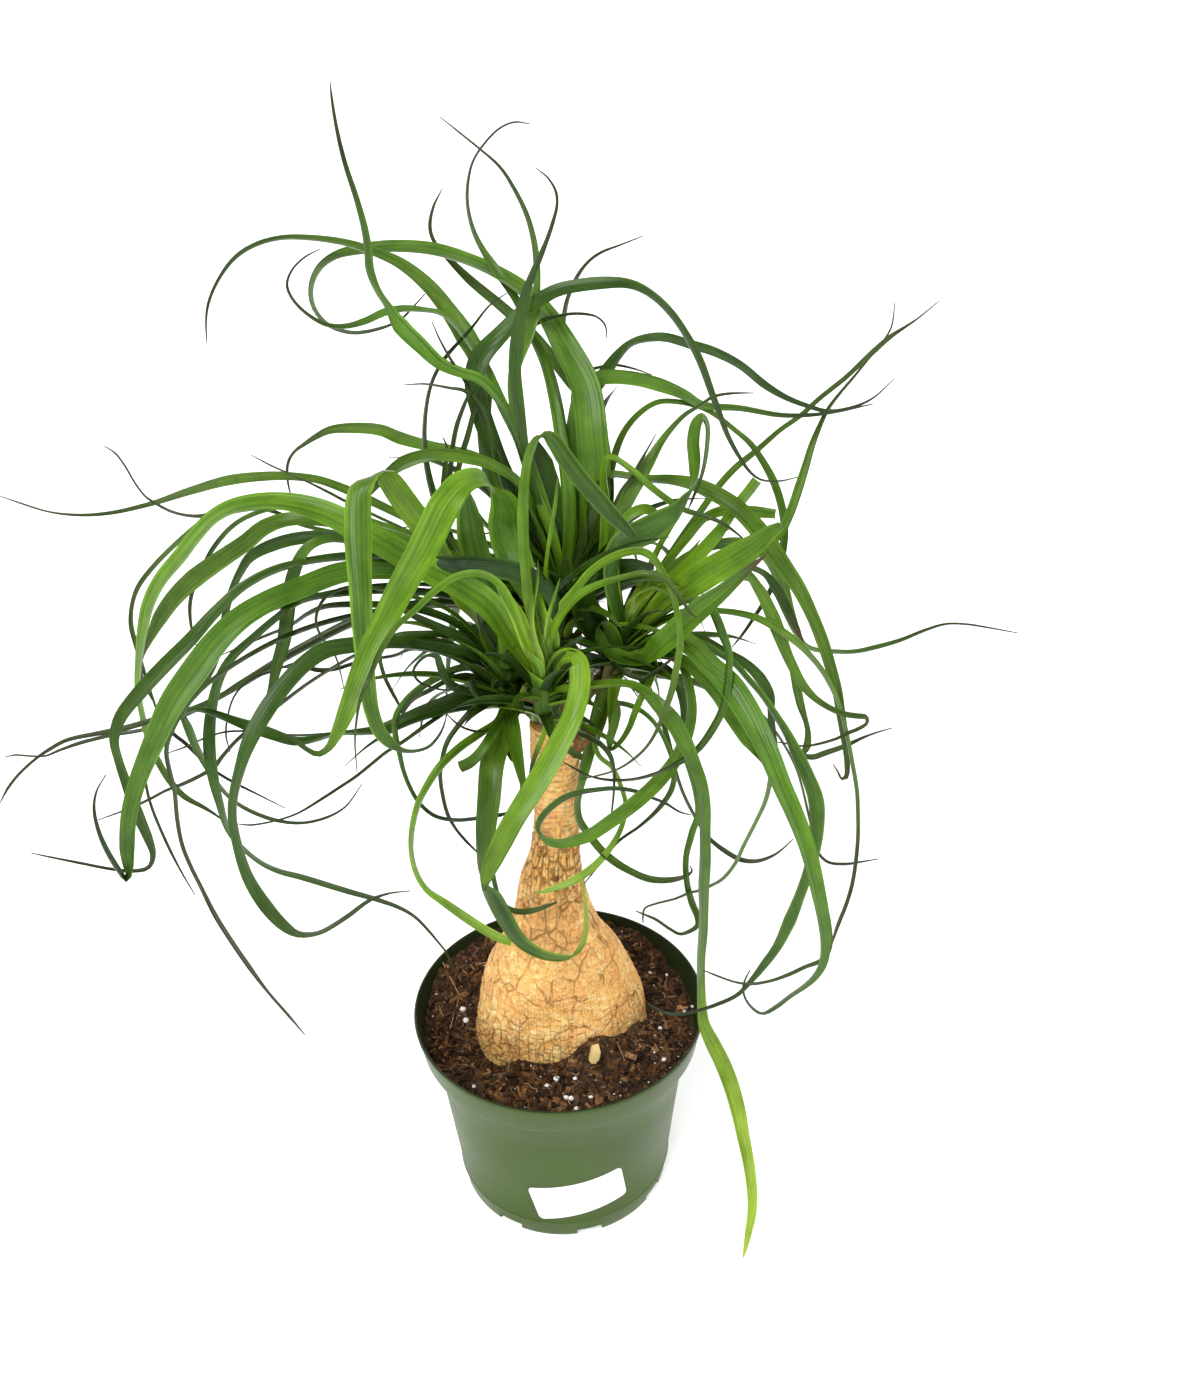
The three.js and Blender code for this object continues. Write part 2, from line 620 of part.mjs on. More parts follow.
// Broad leaf, left
leaf("back", 9, [27, 32, 43, 48], [
  [530, 592], [470, 562], [400, 538], [340, 523, 10], [290, 519, 13], [265, 527, 15], [245, 543, 16],
  [220, 560, 17], [195, 578, 18], [175, 597, 16], [160, 618, 14], [150, 638, 8], [142, 655, 5],
  [140, 670, 4], [147, 690, 2], [152, 700, 1]]);
// Dark leaf, left
leaf("back", 8, [28, 22, 25, 25], [
  [530, 596], [460, 568], [400, 550], [345, 537, 10], [300, 538, 12], [270, 546, 12], [250, 557, 10],
  [240, 572, 8], [232, 590, 7], [226, 612, 7], [221, 640, 8], [212, 668, 7], [200, 690, 5],
  [190, 704, 1]]);
// Dark leaf that turns back at its foot
leaf("back", 8, [28, 8, -20, -50, -60], [
  [530, 600], [480, 580], [430, 562], [390, 556, 8], [345, 556, 8], [300, 562, 6], [270, 571, 8],
  [240, 588, 9], [215, 612, 11], [190, 640, 13], [165, 665, 14], [140, 692, 14], [120, 718, 12],
  [114, 740, 9], [119, 762, 8], [128, 788, 10], [138, 815, 11], [148, 838, 9], [153, 855, 6],
  [148, 868, 4], [130, 871, 4], [111, 869, 3], [80, 863, 3], [50, 857, 2], [31, 853, 1]]);
// Biggest hanging leaf at the left, folded at its foot
leaf("back", 13, [26, 0, -45, -80, -90], [
  [530, 604], [490, 588], [450, 577], [400, 570, 18], [345, 572, 20], [300, 588, 20], [270, 600, 20],
  [240, 618, 22], [215, 643, 24], [195, 670, 26], [172, 703, 24], [153, 744, 20], [137, 783, 16],
  [129, 815, 15], [127, 850, 14], [128, 868, 10], [127, 879, 5], [118, 868, 5], [108, 852, 5],
  [99, 832, 4], [94, 808, 3], [97, 790, 2], [106, 775, 1]]);
// Straight hanging leaf
leaf("back", 8, [26, 6, -20, -35], [
  [528, 606], [480, 588], [420, 562], [370, 545], [330, 538, 8], [308, 547, 10], [294, 572, 12],
  [289, 600, 14], [284, 640, 13], [277, 665, 11], [271, 690, 7], [264, 710, 4], [258, 724, 1]]);
// Thin dark leaf
leaf("left", 6, [2, 4, 14, 30], [
  [498, 668], [480, 642], [455, 622, 7], [430, 612, 8], [400, 606, 7], [350, 604, 6], [325, 606, 5],
  [308, 613, 4], [290, 625, 3], [260, 638, 3], [222, 655, 1]]);
// Twisted leaf that sweeps back over the pot
leaf("back", 8, [26, 10, -10, -30, -30, -10], [
  [530, 612], [470, 598], [400, 590], [345, 592, 6], [300, 600, 6], [275, 618, 6], [250, 640, 7],
  [232, 657, 8], [220, 677, 9], [212, 706, 10], [209, 740, 12], [212, 772, 11], [219, 802, 8],
  [229, 833, 4], [245, 851, 3], [262, 864, 4], [280, 872, 5], [300, 877, 6], [330, 886, 6],
  [350, 892, 6], [375, 899, 5], [400, 908, 4], [415, 917, 3], [428, 930, 3], [438, 942, 2],
  [446, 952, 2], [452, 965, 2], [460, 980, 1]]);
// Hanging leaf with a swept-up tip
leaf("left", 11, [0, -40, -80, -105, -110], [
  [495, 680], [465, 658], [430, 646], [390, 642, 12], [351, 645, 15], [325, 650, 16], [305, 663, 16],
  [285, 684, 16], [265, 712, 17], [250, 740, 15], [240, 768, 10], [233, 797, 8], [232, 818, 8],
  [237, 845, 9], [248, 878, 11], [265, 905, 13], [283, 925, 11], [297, 934, 7], [310, 935, 4],
  [322, 932, 4], [345, 918, 5], [370, 900, 4], [380, 896, 3], [391, 893, 2], [410, 891, 1]]);
// Small curl
leaf("left", 4, [2, 0, -5], [
  [490, 650], [450, 610], [400, 593], [370, 587], [348, 587, 3], [328, 595, 3], [319, 607, 3],
  [316, 622, 3], [322, 638, 2], [330, 647, 2], [337, 660, 2], [344, 688, 1]]);
// Leaf folded over at the left
leaf("back", 8, [30, 25, 20], [
  [552, 560], [536, 515], [520, 483, 8], [495, 466, 10], [470, 458, 12], [430, 455, 12],
  [405, 462, 13], [390, 472, 10], [378, 484, 7], [366, 497, 5], [355, 508, 3], [345, 515, 1]]);
// Arch left of the middle
leaf("back", 7, [32, 70, 120, 140], [
  [550, 555], [520, 500], [485, 462], [450, 450, 10], [430, 446, 10], [400, 438, 12], [380, 430, 11],
  [350, 428, 10], [330, 430, 8], [317, 436, 6], [303, 445, 4], [295, 451, 3], [289, 460, 3],
  [287, 472, 3], [289, 488, 2], [292, 498, 1]]);
// Thin tip, left
leaf("back", 3.5, [34, 80, 104], [
  [530, 588], [450, 550], [400, 527], [370, 513], [343, 500, 3], [330, 493, 3], [310, 483, 2],
  [290, 474, 2], [270, 465, 2], [251, 455, 1]]);
// Leaf folded over a high crest, with a curled tip
leaf("left", 13, [4, -3, -25, -55, -75, -75], [
  [490, 655], [462, 600, 16], [440, 558, 20], [424, 530, 23], [412, 512, 25], [400, 497, 26],
  [386, 480, 22], [373, 475, 17], [363, 483, 18], [358, 500, 24], [358, 540, 26], [360, 580, 22],
  [362, 620, 20], [364, 650, 18], [368, 690, 16], [372, 712, 14], [380, 732, 13], [390, 743, 11],
  [399, 749, 5], [412, 751, 3], [428, 747, 3], [438, 737, 3], [444, 725, 2], [447, 713, 1]]);
// Biggest front leaf
leaf("front", 15, [-20, -8, -30, -80, -110, -120], [
  [545, 640], [541, 590], [533, 540], [523, 505, 10], [510, 486, 12], [495, 478, 14], [478, 477, 18],
  [462, 483, 24], [445, 505, 30], [430, 535, 30], [418, 558, 28], [400, 590, 26], [385, 620, 24],
  [370, 650, 22], [358, 680, 20], [347, 710, 17], [337, 733, 12], [328, 748, 7], [318, 754, 6],
  [305, 748, 5], [290, 737, 4], [275, 731, 2], [262, 727, 1]]);
// Small bright arch
leaf("front", 5, [-29, -44, -76, -120, -130], [
  [540, 665], [527, 642, 7], [515, 610, 7], [503, 588, 7], [490, 577, 7], [475, 573, 7], [455, 577, 7],
  [435, 591, 7], [415, 610, 6], [396, 627, 6], [380, 652, 6], [370, 676, 5], [362, 694, 4],
  [358, 710, 3], [355, 740, 2], [357, 772, 1]]);
// Young pointed leaf
leaf("front", 7, [-22, -28, -40], [
  [541, 670, 12], [530, 650, 13], [518, 617, 14], [506, 597, 10], [498, 584, 6], [491, 573, 1]]);
// Upright tip
leaf("back", 4, [25, 30, 44], [
  [535, 590], [495, 565], [465, 530], [450, 490, 5], [451, 465, 5], [453, 445, 5], [457, 425, 5],
  [465, 403, 4], [472, 386, 1]]);
// Upright tip
leaf("back", 4, [30, 42, 60], [
  [540, 582], [505, 545], [475, 510], [458, 480, 5], [462, 455, 6], [468, 435, 6], [473, 415, 5],
  [478, 398, 3], [483, 380, 1]]);
// Upright tip
leaf("back", 4, [27, 38, 55], [
  [535, 590], [490, 575], [455, 545], [444, 500, 7], [445, 470, 6], [447, 448, 3], [443, 437, 1]]);
// Blunt dark leaf
leaf("left", 6, [2, -12, -22], [
  [500, 670, 8], [490, 660, 9], [470, 652, 10], [440, 648, 11], [413, 645, 10]]);
// Short dark leaf
leaf("left", 5, [2, -2, -6], [
  [500, 660, 9], [470, 641, 10], [440, 628, 9], [405, 611, 6], [392, 603, 1]]);
// Dark leaf that turns down
leaf("left", 4.5, [2, 8, 6, 0], [
  [500, 655, 8], [475, 641, 8], [450, 635, 7], [420, 634, 7], [398, 636, 7], [386, 643, 5],
  [380, 655, 4], [384, 675, 4], [392, 692, 4], [398, 703, 3], [404, 718, 1]]);
// Thin wavy leaf
leaf("left", 3.5, [2, 5, 15, 20], [
  [495, 672], [470, 660], [440, 650], [410, 649, 3], [395, 655, 3], [379, 658, 3], [352, 664, 4],
  [335, 669, 4], [318, 670, 5], [300, 666, 4], [283, 668, 1]]);
// Broad leaf low at the left, then twisted and turned back
leaf("left", 7, [2, -15, -30, -26, -14, -10], [
  [497, 690, 9], [487, 691, 10], [465, 694, 12], [440, 705, 13], [420, 713, 13], [400, 722, 12],
  [380, 729, 9], [362, 732, 4], [345, 732, 3], [330, 734, 3], [316, 738, 6], [295, 741, 9],
  [275, 735, 11], [255, 728, 12], [235, 721, 9], [215, 713, 6], [200, 709, 4], [190, 710, 4],
  [183, 714, 6], [188, 727, 9], [194, 743, 8], [204, 763, 6], [217, 784, 4], [232, 800, 3],
  [250, 811, 4], [275, 820, 4], [300, 823, 3], [325, 818, 3], [345, 807, 2], [362, 784, 1]]);
// Arch low at the left
leaf("left", 5, [2, -18, -35, -40], [
  [497, 684, 7], [487, 674, 7], [470, 667, 8], [455, 669, 7], [440, 676, 7], [420, 688, 7],
  [405, 702, 7], [396, 716, 6], [395, 732, 6], [399, 752, 5], [403, 770, 4], [410, 788, 4],
  [420, 804, 4], [435, 816, 4], [455, 820, 4], [479, 818, 4], [500, 815, 4], [515, 811, 2]]);
// Thin arch beside it
leaf("left", 4, [2, -16, -24], [
  [497, 688, 5], [480, 678, 5], [464, 675, 5], [448, 680, 5], [430, 690, 5], [412, 700, 5],
  [403, 713, 3], [397, 726, 1]]);
// Blunt leaf with a looped thread
leaf("left", 5, [2, -25, -35], [
  [497, 694, 8], [484, 694, 8], [470, 692, 8], [455, 687, 9], [445, 678, 8], [440, 665, 8],
  [436, 656, 6], [427, 655, 2], [417, 663, 2], [413, 672, 2], [418, 681, 2], [430, 687, 2],
  [447, 690, 2], [460, 686, 1]]);
// Cut leaf
leaf("left", 5, [2, -20], [
  [497, 702, 8], [485, 700, 8], [475, 691, 8], [470, 679, 8]]);
// Thin hanging leaf
leaf("left", 4, [2, -25, -40], [
  [496, 696, 6], [486, 697, 6], [477, 704, 6], [467, 715, 6], [456, 728, 5], [447, 742, 5],
  [442, 758, 4], [440, 775, 4], [443, 797, 4], [448, 815, 4], [456, 829, 3], [466, 841, 3],
  [475, 850, 2], [480, 855, 1]]);
// Leaf that hangs to the trunk
leaf("left", 6, [0, -35, -50, -55, -48], [
  [503, 706, 7], [497, 720, 7], [480, 733, 8], [460, 747, 8], [440, 766, 8], [427, 785, 7],
  [417, 805, 6], [411, 832, 5], [411, 855, 4], [417, 875, 5], [427, 890, 6], [445, 903, 8],
  [465, 917, 9], [485, 930, 9], [500, 938, 9], [512, 942, 8]]);
// Thread
leaf("left", 3, [2, -20, -30], [
  [503, 708], [495, 726], [480, 731, 2], [465, 728, 2], [455, 722, 2], [446, 713, 1]]);
// Cut leaf
leaf("left", 6, [0, -28, -38], [
  [504, 708, 8], [496, 726, 9], [487, 742, 9], [478, 755, 10], [469, 763, 11], [460, 767, 11]]);
// Long sagging thread
leaf("left", 3.5, [2, -20, -40, -50], [
  [495, 693], [465, 700], [430, 722], [402, 742], [386, 752, 3], [370, 765, 3], [355, 777, 3],
  [340, 787, 3], [320, 800, 3], [300, 812, 2], [285, 818, 2], [265, 823, 2], [250, 825, 2],
  [238, 824, 1]]);
// Long thread to the lower left
leaf("back", 5, [30, 12, -38, -100, -150], [
  [530, 615], [450, 605], [370, 612], [300, 630], [240, 660], [195, 695], [172, 730, 4], [166, 750, 4],
  [169, 770, 4], [174, 790, 4], [177, 820, 4], [182, 845, 4], [190, 865, 4], [200, 885, 4],
  [215, 915, 5], [232, 942, 5], [250, 968, 5], [268, 992, 3], [289, 1016, 3], [305, 1035, 1]]);
// Thread, left
leaf("back", 4, [28, 8, -28, -60], [
  [530, 612], [440, 585], [330, 592], [250, 620], [190, 670], [152, 730], [145, 770, 3], [147, 790, 3],
  [152, 808, 3], [160, 828, 3], [170, 850, 3], [182, 873, 2], [195, 895, 1]]);
// Thread, left
leaf("left", 4, [2, 10, 5, 0], [
  [490, 665], [440, 640], [380, 645], [320, 675], [270, 712], [245, 733, 4], [235, 742, 4],
  [222, 757, 4], [215, 766, 5], [205, 773, 4], [185, 783, 4], [165, 791, 3], [150, 799, 3],
  [135, 806, 3], [120, 812, 2], [98, 820, 1]]);
// Thread, left
leaf("back", 4, [28, 15, 0, -10], [
  [530, 608], [450, 580], [360, 575], [280, 595], [220, 632], [180, 680], [167, 712], [172, 732, 4],
  [185, 743, 4], [200, 758, 3], [215, 771, 3], [235, 783, 3], [255, 793, 2], [285, 808, 1]]);
// Thread, left
leaf("left", 2.5, [2, 4, 0], [
  [490, 668], [440, 645], [380, 648], [320, 655], [270, 672, 2], [250, 680, 2], [235, 695, 2],
  [228, 715, 2], [226, 735, 2], [230, 752, 1]]);
// Thread, left
leaf("left", 3, [2, -10, -5], [
  [490, 690], [440, 712], [370, 728], [300, 735], [245, 731, 2], [225, 732, 2], [205, 738, 2],
  [185, 747, 2], [168, 753, 1]]);
// Leaf to the far left
leaf("back", 6, [25, 15, 7, 4], [
  [530, 612], [450, 602], [370, 617], [300, 650], [240, 685], [200, 706], [175, 714, 6], [150, 721, 6],
  [125, 728, 6], [100, 733, 5], [67, 740, 4], [50, 749, 4], [38, 757, 3], [20, 773, 3], [8, 788, 3],
  [0, 803, 1]]);
// Thread beside it
leaf("back", 5, [31, 36, 34, 27], [
  [530, 612], [450, 600], [370, 612], [300, 645], [240, 682], [200, 708], [150, 728], [112, 735, 4],
  [95, 739, 4], [80, 743, 4], [60, 750, 3], [45, 756, 2], [30, 756, 2], [15, 755, 2], [5, 757, 1]]);
// Upright leaf folded over to the right
leaf("front", 8, [-14, -2, 4, -25], [
  [543, 655, 9], [535, 630, 10], [529, 600, 10], [525, 560, 9], [522, 520, 10], [524, 487, 9],
  [527, 458, 9], [532, 442, 12], [541, 433, 14], [553, 441, 16], [565, 458, 17], [580, 478, 17],
  [597, 498, 17], [613, 516, 15], [626, 529, 11], [634, 537, 8]]);
// Bright arch with a long thread
leaf("front", 5, [-18, -12, -22, -50, -55, -45], [
  [547, 655, 8], [550, 630, 8], [560, 608, 8], [575, 590, 8], [590, 572, 8], [605, 561, 8],
  [620, 554, 8], [640, 551, 8], [652, 557, 8], [661, 570, 7], [669, 585, 6], [675, 603, 6],
  [679, 625, 6], [680, 645, 7], [677, 665, 7], [672, 690, 7], [665, 710, 6], [658, 728, 4],
  [648, 745, 3], [635, 758, 3], [618, 769, 2], [600, 775, 2], [580, 779, 1]]);
// Bright arch inside it
leaf("front", 5, [-23, -28, -38], [
  [547, 655, 8], [550, 637, 8], [562, 613, 8], [580, 594, 8], [600, 584, 7], [620, 578, 6],
  [645, 573, 6], [660, 576, 6], [672, 586, 6], [682, 600, 4], [690, 612, 3], [697, 618, 1]]);
// Thin upright
leaf("front", 3, [-17, -11, -8], [
  [544, 655, 4], [541, 640, 4], [543, 600, 4], [546, 565, 4], [550, 535, 4], [555, 505, 4],
  [558, 478, 2]]);
// Thin upright
leaf("front", 3, [-22, -30], [
  [545, 655, 4], [545, 640, 4], [549, 615, 4], [555, 595, 3], [560, 578, 1]]);
// Young leaf
leaf("front", 6, [-27, -24, -17], [
  [540, 660, 9], [533, 640, 9], [530, 620, 8], [533, 600, 6], [537, 580, 4], [538, 560, 1]]);
// Young leaf
leaf("front", 5, [-16, -9, -4], [
  [548, 660, 8], [552, 635, 8], [552, 610, 6], [549, 590, 4], [548, 570, 1]]);
// Leaf folded over in front of the neck
leaf("front", 11, [-24, -42, -62, -78, -88], [
  [551, 676, 12], [557, 664, 14], [567, 657, 17], [577, 661, 19], [580, 675, 20], [579, 692, 20],
  [573, 715, 20], [560, 742, 21], [546, 768, 22], [530, 794, 21], [515, 818, 20], [503, 840, 19],
  [493, 860, 16], [487, 878, 11], [484, 893, 3]]);
// Leaf that hangs and wraps across the trunk
leaf("left", 12, [0, -35, -55, -52, -42, -36], [
  [512, 700, 15], [514, 706, 19], [507, 720, 21], [499, 740, 23], [492, 765, 23], [489, 800, 20],
  [488, 835, 18], [491, 865, 16], [497, 893, 15], [506, 917, 14], [518, 937, 11], [532, 948, 9],
  [548, 955, 8], [565, 957, 7], [578, 952, 5], [586, 940, 5], [588, 920, 5], [585, 900, 4],
  [582, 882, 2], [581, 872, 1]]);
// Thread across the trunk
leaf("left", 4, [0, -25, -38, -34], [
  [508, 710], [498, 740], [490, 790], [490, 840], [494, 880], [503, 904, 5], [515, 911, 6],
  [530, 911, 6], [545, 907, 4], [557, 902, 3], [570, 900, 2], [582, 903, 1]]);
// Small curl
leaf("left", 3, [0, -30], [
  [510, 715], [506, 740], [510, 757, 3], [517, 765, 3], [521, 778, 3], [520, 795, 1]]);
// Cut leaf
leaf("front", 4, [-19, -32], [
  [550, 680, 8], [552, 667, 8], [560, 655, 7], [570, 645, 6], [583, 636, 4]]);
// Small leaf on the neck
leaf("front", 3.5, [-22, -24], [
  [546, 715, 6], [545, 730, 6], [538, 748, 6], [532, 765, 4], [529, 778, 1]]);
// Small leaf on the neck
leaf("front", 4, [-22, -26], [
  [552, 718, 6], [560, 738, 7], [570, 750, 8], [583, 758, 6]]);
// Thin leaf by the neck
leaf("front", 4, [-22, -36, -40], [
  [553, 705, 6], [562, 718, 6], [575, 730, 6], [590, 737, 6], [602, 745, 5], [610, 755, 5],
  [614, 770, 3], [614, 790, 2], [612, 810, 2], [611, 822, 1]]);
// Leaf swept across the trunk
leaf("right", 5, [14, -10, -30, -36], [
  [617, 662], [604, 695], [594, 732], [598, 755, 4], [612, 768, 4], [620, 785, 4], [625, 803, 4],
  [622, 825, 5], [614, 842, 6], [603, 857, 7], [592, 868, 8], [575, 880, 8], [558, 887, 6],
  [545, 891, 4], [535, 893, 1]]);
// Leaf that hangs by the neck, then sweeps right
leaf("right", 8, [14, 4, -20, -35, -30], [
  [616, 662, 12], [608, 678, 14], [604, 695, 16], [598, 720, 16], [591, 745, 12], [585, 768, 11],
  [581, 788, 6], [578, 805, 6], [580, 820, 7], [590, 836, 8], [602, 851, 8], [615, 862, 8],
  [630, 871, 7], [650, 879, 7], [670, 880, 6], [686, 876, 4], [692, 871, 2], [690, 866, 1]]);
// Thin arch, low right
leaf("right", 4, [14, -5, -20, -25], [
  [612, 680], [606, 699, 4], [617, 702, 4], [630, 705, 5], [645, 713, 4], [658, 727, 4], [668, 747, 4],
  [674, 768, 5], [672, 788, 6], [660, 807, 5], [640, 826, 3], [620, 840, 3], [605, 857, 2],
  [595, 870, 2], [584, 884, 1]]);
// Loop in front of the neck
leaf("right", 6.5, [14, -15, -45, -70, -50, -30], [
  [640, 643], [655, 642, 7], [668, 647, 8], [680, 657, 7], [688, 680, 8], [692, 705, 9],
  [690, 725, 10], [683, 745, 12], [672, 765, 11], [655, 785, 11], [635, 803, 11], [610, 822, 10],
  [590, 835, 9], [570, 842, 8], [553, 843, 7], [541, 837, 5], [537, 829, 6], [541, 818, 6],
  [552, 806, 6], [565, 797, 6], [580, 792, 5], [600, 789, 4], [615, 788, 4], [635, 791, 4],
  [650, 797, 3], [665, 803, 3], [680, 812, 2], [691, 815, 1]]);
// Leaf doubled back
leaf("right", 5, [14, -8, -12, -4], [
  [640, 650], [654, 662, 6], [648, 685, 7], [640, 700, 7], [634, 715, 7], [629, 728, 6], [620, 742, 5],
  [611, 749, 4], [610, 740, 8], [614, 725, 9], [617, 712, 8], [615, 700, 6], [610, 691, 3]]);
// Small dark arch
leaf("right", 6, [14, 2, -5], [
  [618, 662], [622, 672, 5], [635, 665, 5], [650, 663, 5], [665, 667, 6], [675, 678, 9],
  [683, 695, 11], [685, 715, 9], [682, 728, 5], [676, 742, 1]]);
// Small arch
leaf("right", 4, [16, -5, -8], [
  [612, 650], [600, 640, 5], [603, 652, 6], [614, 663, 6], [628, 674, 6], [643, 678, 5], [655, 672, 4],
  [668, 662, 3], [680, 652, 1]]);
// Broad leaf to the right
leaf("right", 12, [12, -12, -30, -40], [
  [612, 640, 10], [604, 628, 16], [604, 638, 18], [610, 649, 14], [622, 656, 12], [638, 657, 14],
  [655, 648, 21], [670, 636, 22], [685, 622, 22], [705, 605, 20], [722, 592, 15], [740, 576, 11],
  [752, 566, 7], [762, 558, 3], [768, 552, 1]]);
// Broad cut leaf
leaf("right", 14, [15, 5, -5], [
  [632, 635, 10], [645, 620, 14], [665, 603, 20], [683, 590, 24], [700, 578, 28], [720, 566, 27],
  [740, 554, 25], [757, 543, 20], [770, 533, 15], [781, 526, 9]]);
// Young cut leaf
leaf("right", 7, [15, 18, 22], [
  [632, 632, 8], [645, 615, 9], [658, 600, 10], [672, 585, 12], [690, 565, 13], [705, 548, 13],
  [718, 533, 12], [725, 525, 9]]);
// Young cut leaf
leaf("right", 6, [16, 40, 60], [
  [632, 628, 8], [648, 610, 8], [672, 586, 10], [693, 562, 11], [715, 537, 11], [735, 508, 10],
  [748, 492, 10], [757, 480, 10]]);
// Young leaf
leaf("right", 4, [16, 36, 42], [
  [628, 625, 7], [634, 600, 7], [646, 575, 7], [660, 545, 6], [675, 520, 5], [688, 497, 3],
  [696, 483, 1]]);
// Young leaf
leaf("right", 5, [16, 25, 30], [
  [627, 630, 8], [635, 613, 9], [647, 597, 10], [660, 584, 9], [674, 569, 7], [690, 553, 5],
  [700, 540, 1]]);
// Young leaf
leaf("right", 5, [14, 5, 2], [
  [634, 640, 8], [642, 628, 8], [655, 613, 9], [668, 600, 8], [682, 590, 5], [692, 582, 1]]);
// Pale curl
leaf("right", 2.5, [14, 0, -8], [
  [626, 625, 3], [628, 603, 3], [640, 592, 3], [652, 588, 3], [663, 592, 3], [672, 600, 2],
  [678, 612, 1]]);
// Level leaf
leaf("right", 4, [14, 0, -10], [
  [614, 632], [612, 626, 5], [625, 624, 5], [645, 627, 5], [660, 632, 5], [680, 640, 3], [690, 648, 1]]);
// Bright leaf beside the broad one
leaf("back", 7, [32, 32, 24, 12], [
  [588, 592], [601, 565, 10], [606, 530, 12], [605, 500, 9], [603, 475, 6], [606, 459, 5],
  [613, 457, 5], [622, 462, 5], [636, 473, 6], [650, 486, 7], [668, 500, 7], [685, 510, 6],
  [705, 516, 5], [722, 523, 4], [740, 536, 2], [752, 548, 1]]);
// Spoon-shaped leaf with a folded top
leaf("right", 12, [15, 12, 10, 15, 25], [
  [618, 620, 10], [611, 590, 12], [612, 562, 14], [620, 545, 20], [633, 537, 24], [650, 530, 24],
  [665, 520, 22], [680, 507, 14], [690, 490, 9], [694, 470, 11], [693, 440, 12], [697, 419, 10],
  [704, 416, 5], [709, 425, 3], [707, 452, 3], [702, 475, 3], [693, 498, 3], [688, 510, 1]]);
// Upright leaf, right
leaf("right", 8, [16, 24, 40, 52], [
  [619, 622], [613, 580], [613, 545, 10], [618, 520, 12], [627, 500, 14], [637, 482, 14],
  [650, 460, 11], [662, 440, 7], [672, 427, 5], [685, 414, 4], [700, 405, 3], [712, 397, 3],
  [725, 394, 3], [740, 393, 2], [754, 393, 1]]);
// Thin upright, right
leaf("right", 4, [20, 27, 34], [
  [620, 620], [614, 565], [614, 512, 6], [622, 492, 6], [632, 478, 5], [640, 463, 4], [647, 450, 2],
  [656, 434, 1]]);
// Long arch to the right, hooked at its tip
leaf("back", 9, [31, 44, 46, 24, 10, 0], [
  [575, 592], [580, 545], [583, 505], [591, 482, 6], [602, 476, 6], [615, 473, 6], [630, 475, 6],
  [650, 478, 7], [668, 479, 9], [690, 483, 12], [710, 491, 15], [735, 506, 16], [755, 526, 17],
  [770, 546, 18], [785, 568, 16], [798, 587, 14], [812, 615, 12], [822, 640, 12], [830, 665, 11],
  [837, 690, 10], [841, 715, 9], [845, 740, 8], [847, 760, 6], [846, 777, 5], [842, 779, 3],
  [838, 772, 2], [833, 764, 1]]);
// Leaf to the far right
leaf("right", 7, [16, 50, 75, 85, 95], [
  [632, 615], [655, 585], [690, 555], [730, 543], [760, 550, 12], [775, 565, 14], [783, 590, 13],
  [790, 615, 11], [799, 636, 7], [806, 645, 4], [815, 649, 4], [835, 651, 4], [855, 651, 4],
  [875, 647, 5], [900, 640, 4], [925, 630, 3], [945, 624, 2], [965, 624, 2], [985, 627, 2],
  [1018, 633, 1]]);
// Arch that hangs inward
leaf("back", 4.5, [36, 90, 95, 75, 60], [
  [590, 570], [604, 500], [625, 430], [655, 403], [680, 402, 5], [705, 409, 5], [720, 418, 5],
  [735, 430, 5], [750, 443, 6], [762, 460, 7], [773, 480, 8], [780, 500, 8], [784, 520, 8],
  [784, 540, 8], [782, 556, 7], [777, 575, 6], [768, 595, 5], [755, 616, 4], [742, 635, 3],
  [732, 647, 1]]);
// Straight leaf to the upper right
leaf("right", 4.5, [18, 70, 120, 160, 180], [
  [628, 615], [645, 590], [660, 570], [685, 533], [703, 508, 7], [718, 487, 7], [735, 468, 7],
  [757, 450, 6], [780, 430, 5], [800, 416, 5], [820, 398, 5], [845, 378, 5], [860, 364, 5],
  [875, 350, 6], [890, 337, 5], [905, 327, 3], [917, 319, 2], [939, 301, 1]]);
// Leaf beside it
leaf("right", 5, [15, 30, 70, 110, 120], [
  [634, 632], [665, 608], [700, 588], [740, 566], [768, 545, 8], [780, 533, 9], [790, 513, 9],
  [799, 487, 9], [806, 465, 8], [812, 445, 7], [820, 425, 5], [828, 409, 4], [840, 393, 3],
  [852, 379, 3], [866, 362, 2], [880, 345, 2], [891, 328, 2], [895, 302, 1]]);
// Cut leaf
leaf("right", 6, [16, 55, 70], [
  [630, 618], [655, 580], [685, 540], [705, 518, 9], [722, 511, 10], [740, 511, 11], [757, 512, 11],
  [776, 514, 9]]);
// Pale cut leaf
leaf("right", 5, [13, 15, 22], [
  [620, 615, 6], [616, 575, 7], [617, 540, 8], [624, 521, 9], [634, 512, 10], [646, 509, 10],
  [656, 514, 8]]);
// Leaf with a squared fold
leaf("right", 6, [15, 8, 0, -5, 0], [
  [634, 632], [665, 608], [700, 583], [733, 567, 6], [748, 574, 8], [758, 588, 10], [767, 605, 11],
  [775, 625, 12], [783, 645, 11], [792, 665, 10], [803, 685, 9], [815, 698, 7], [830, 708, 6],
  [845, 714, 6], [858, 716, 6], [866, 717, 5], [867, 723, 4], [858, 729, 4], [848, 733, 4],
  [838, 738, 3], [822, 743, 3], [805, 746, 2], [790, 744, 2], [777, 742, 1]]);
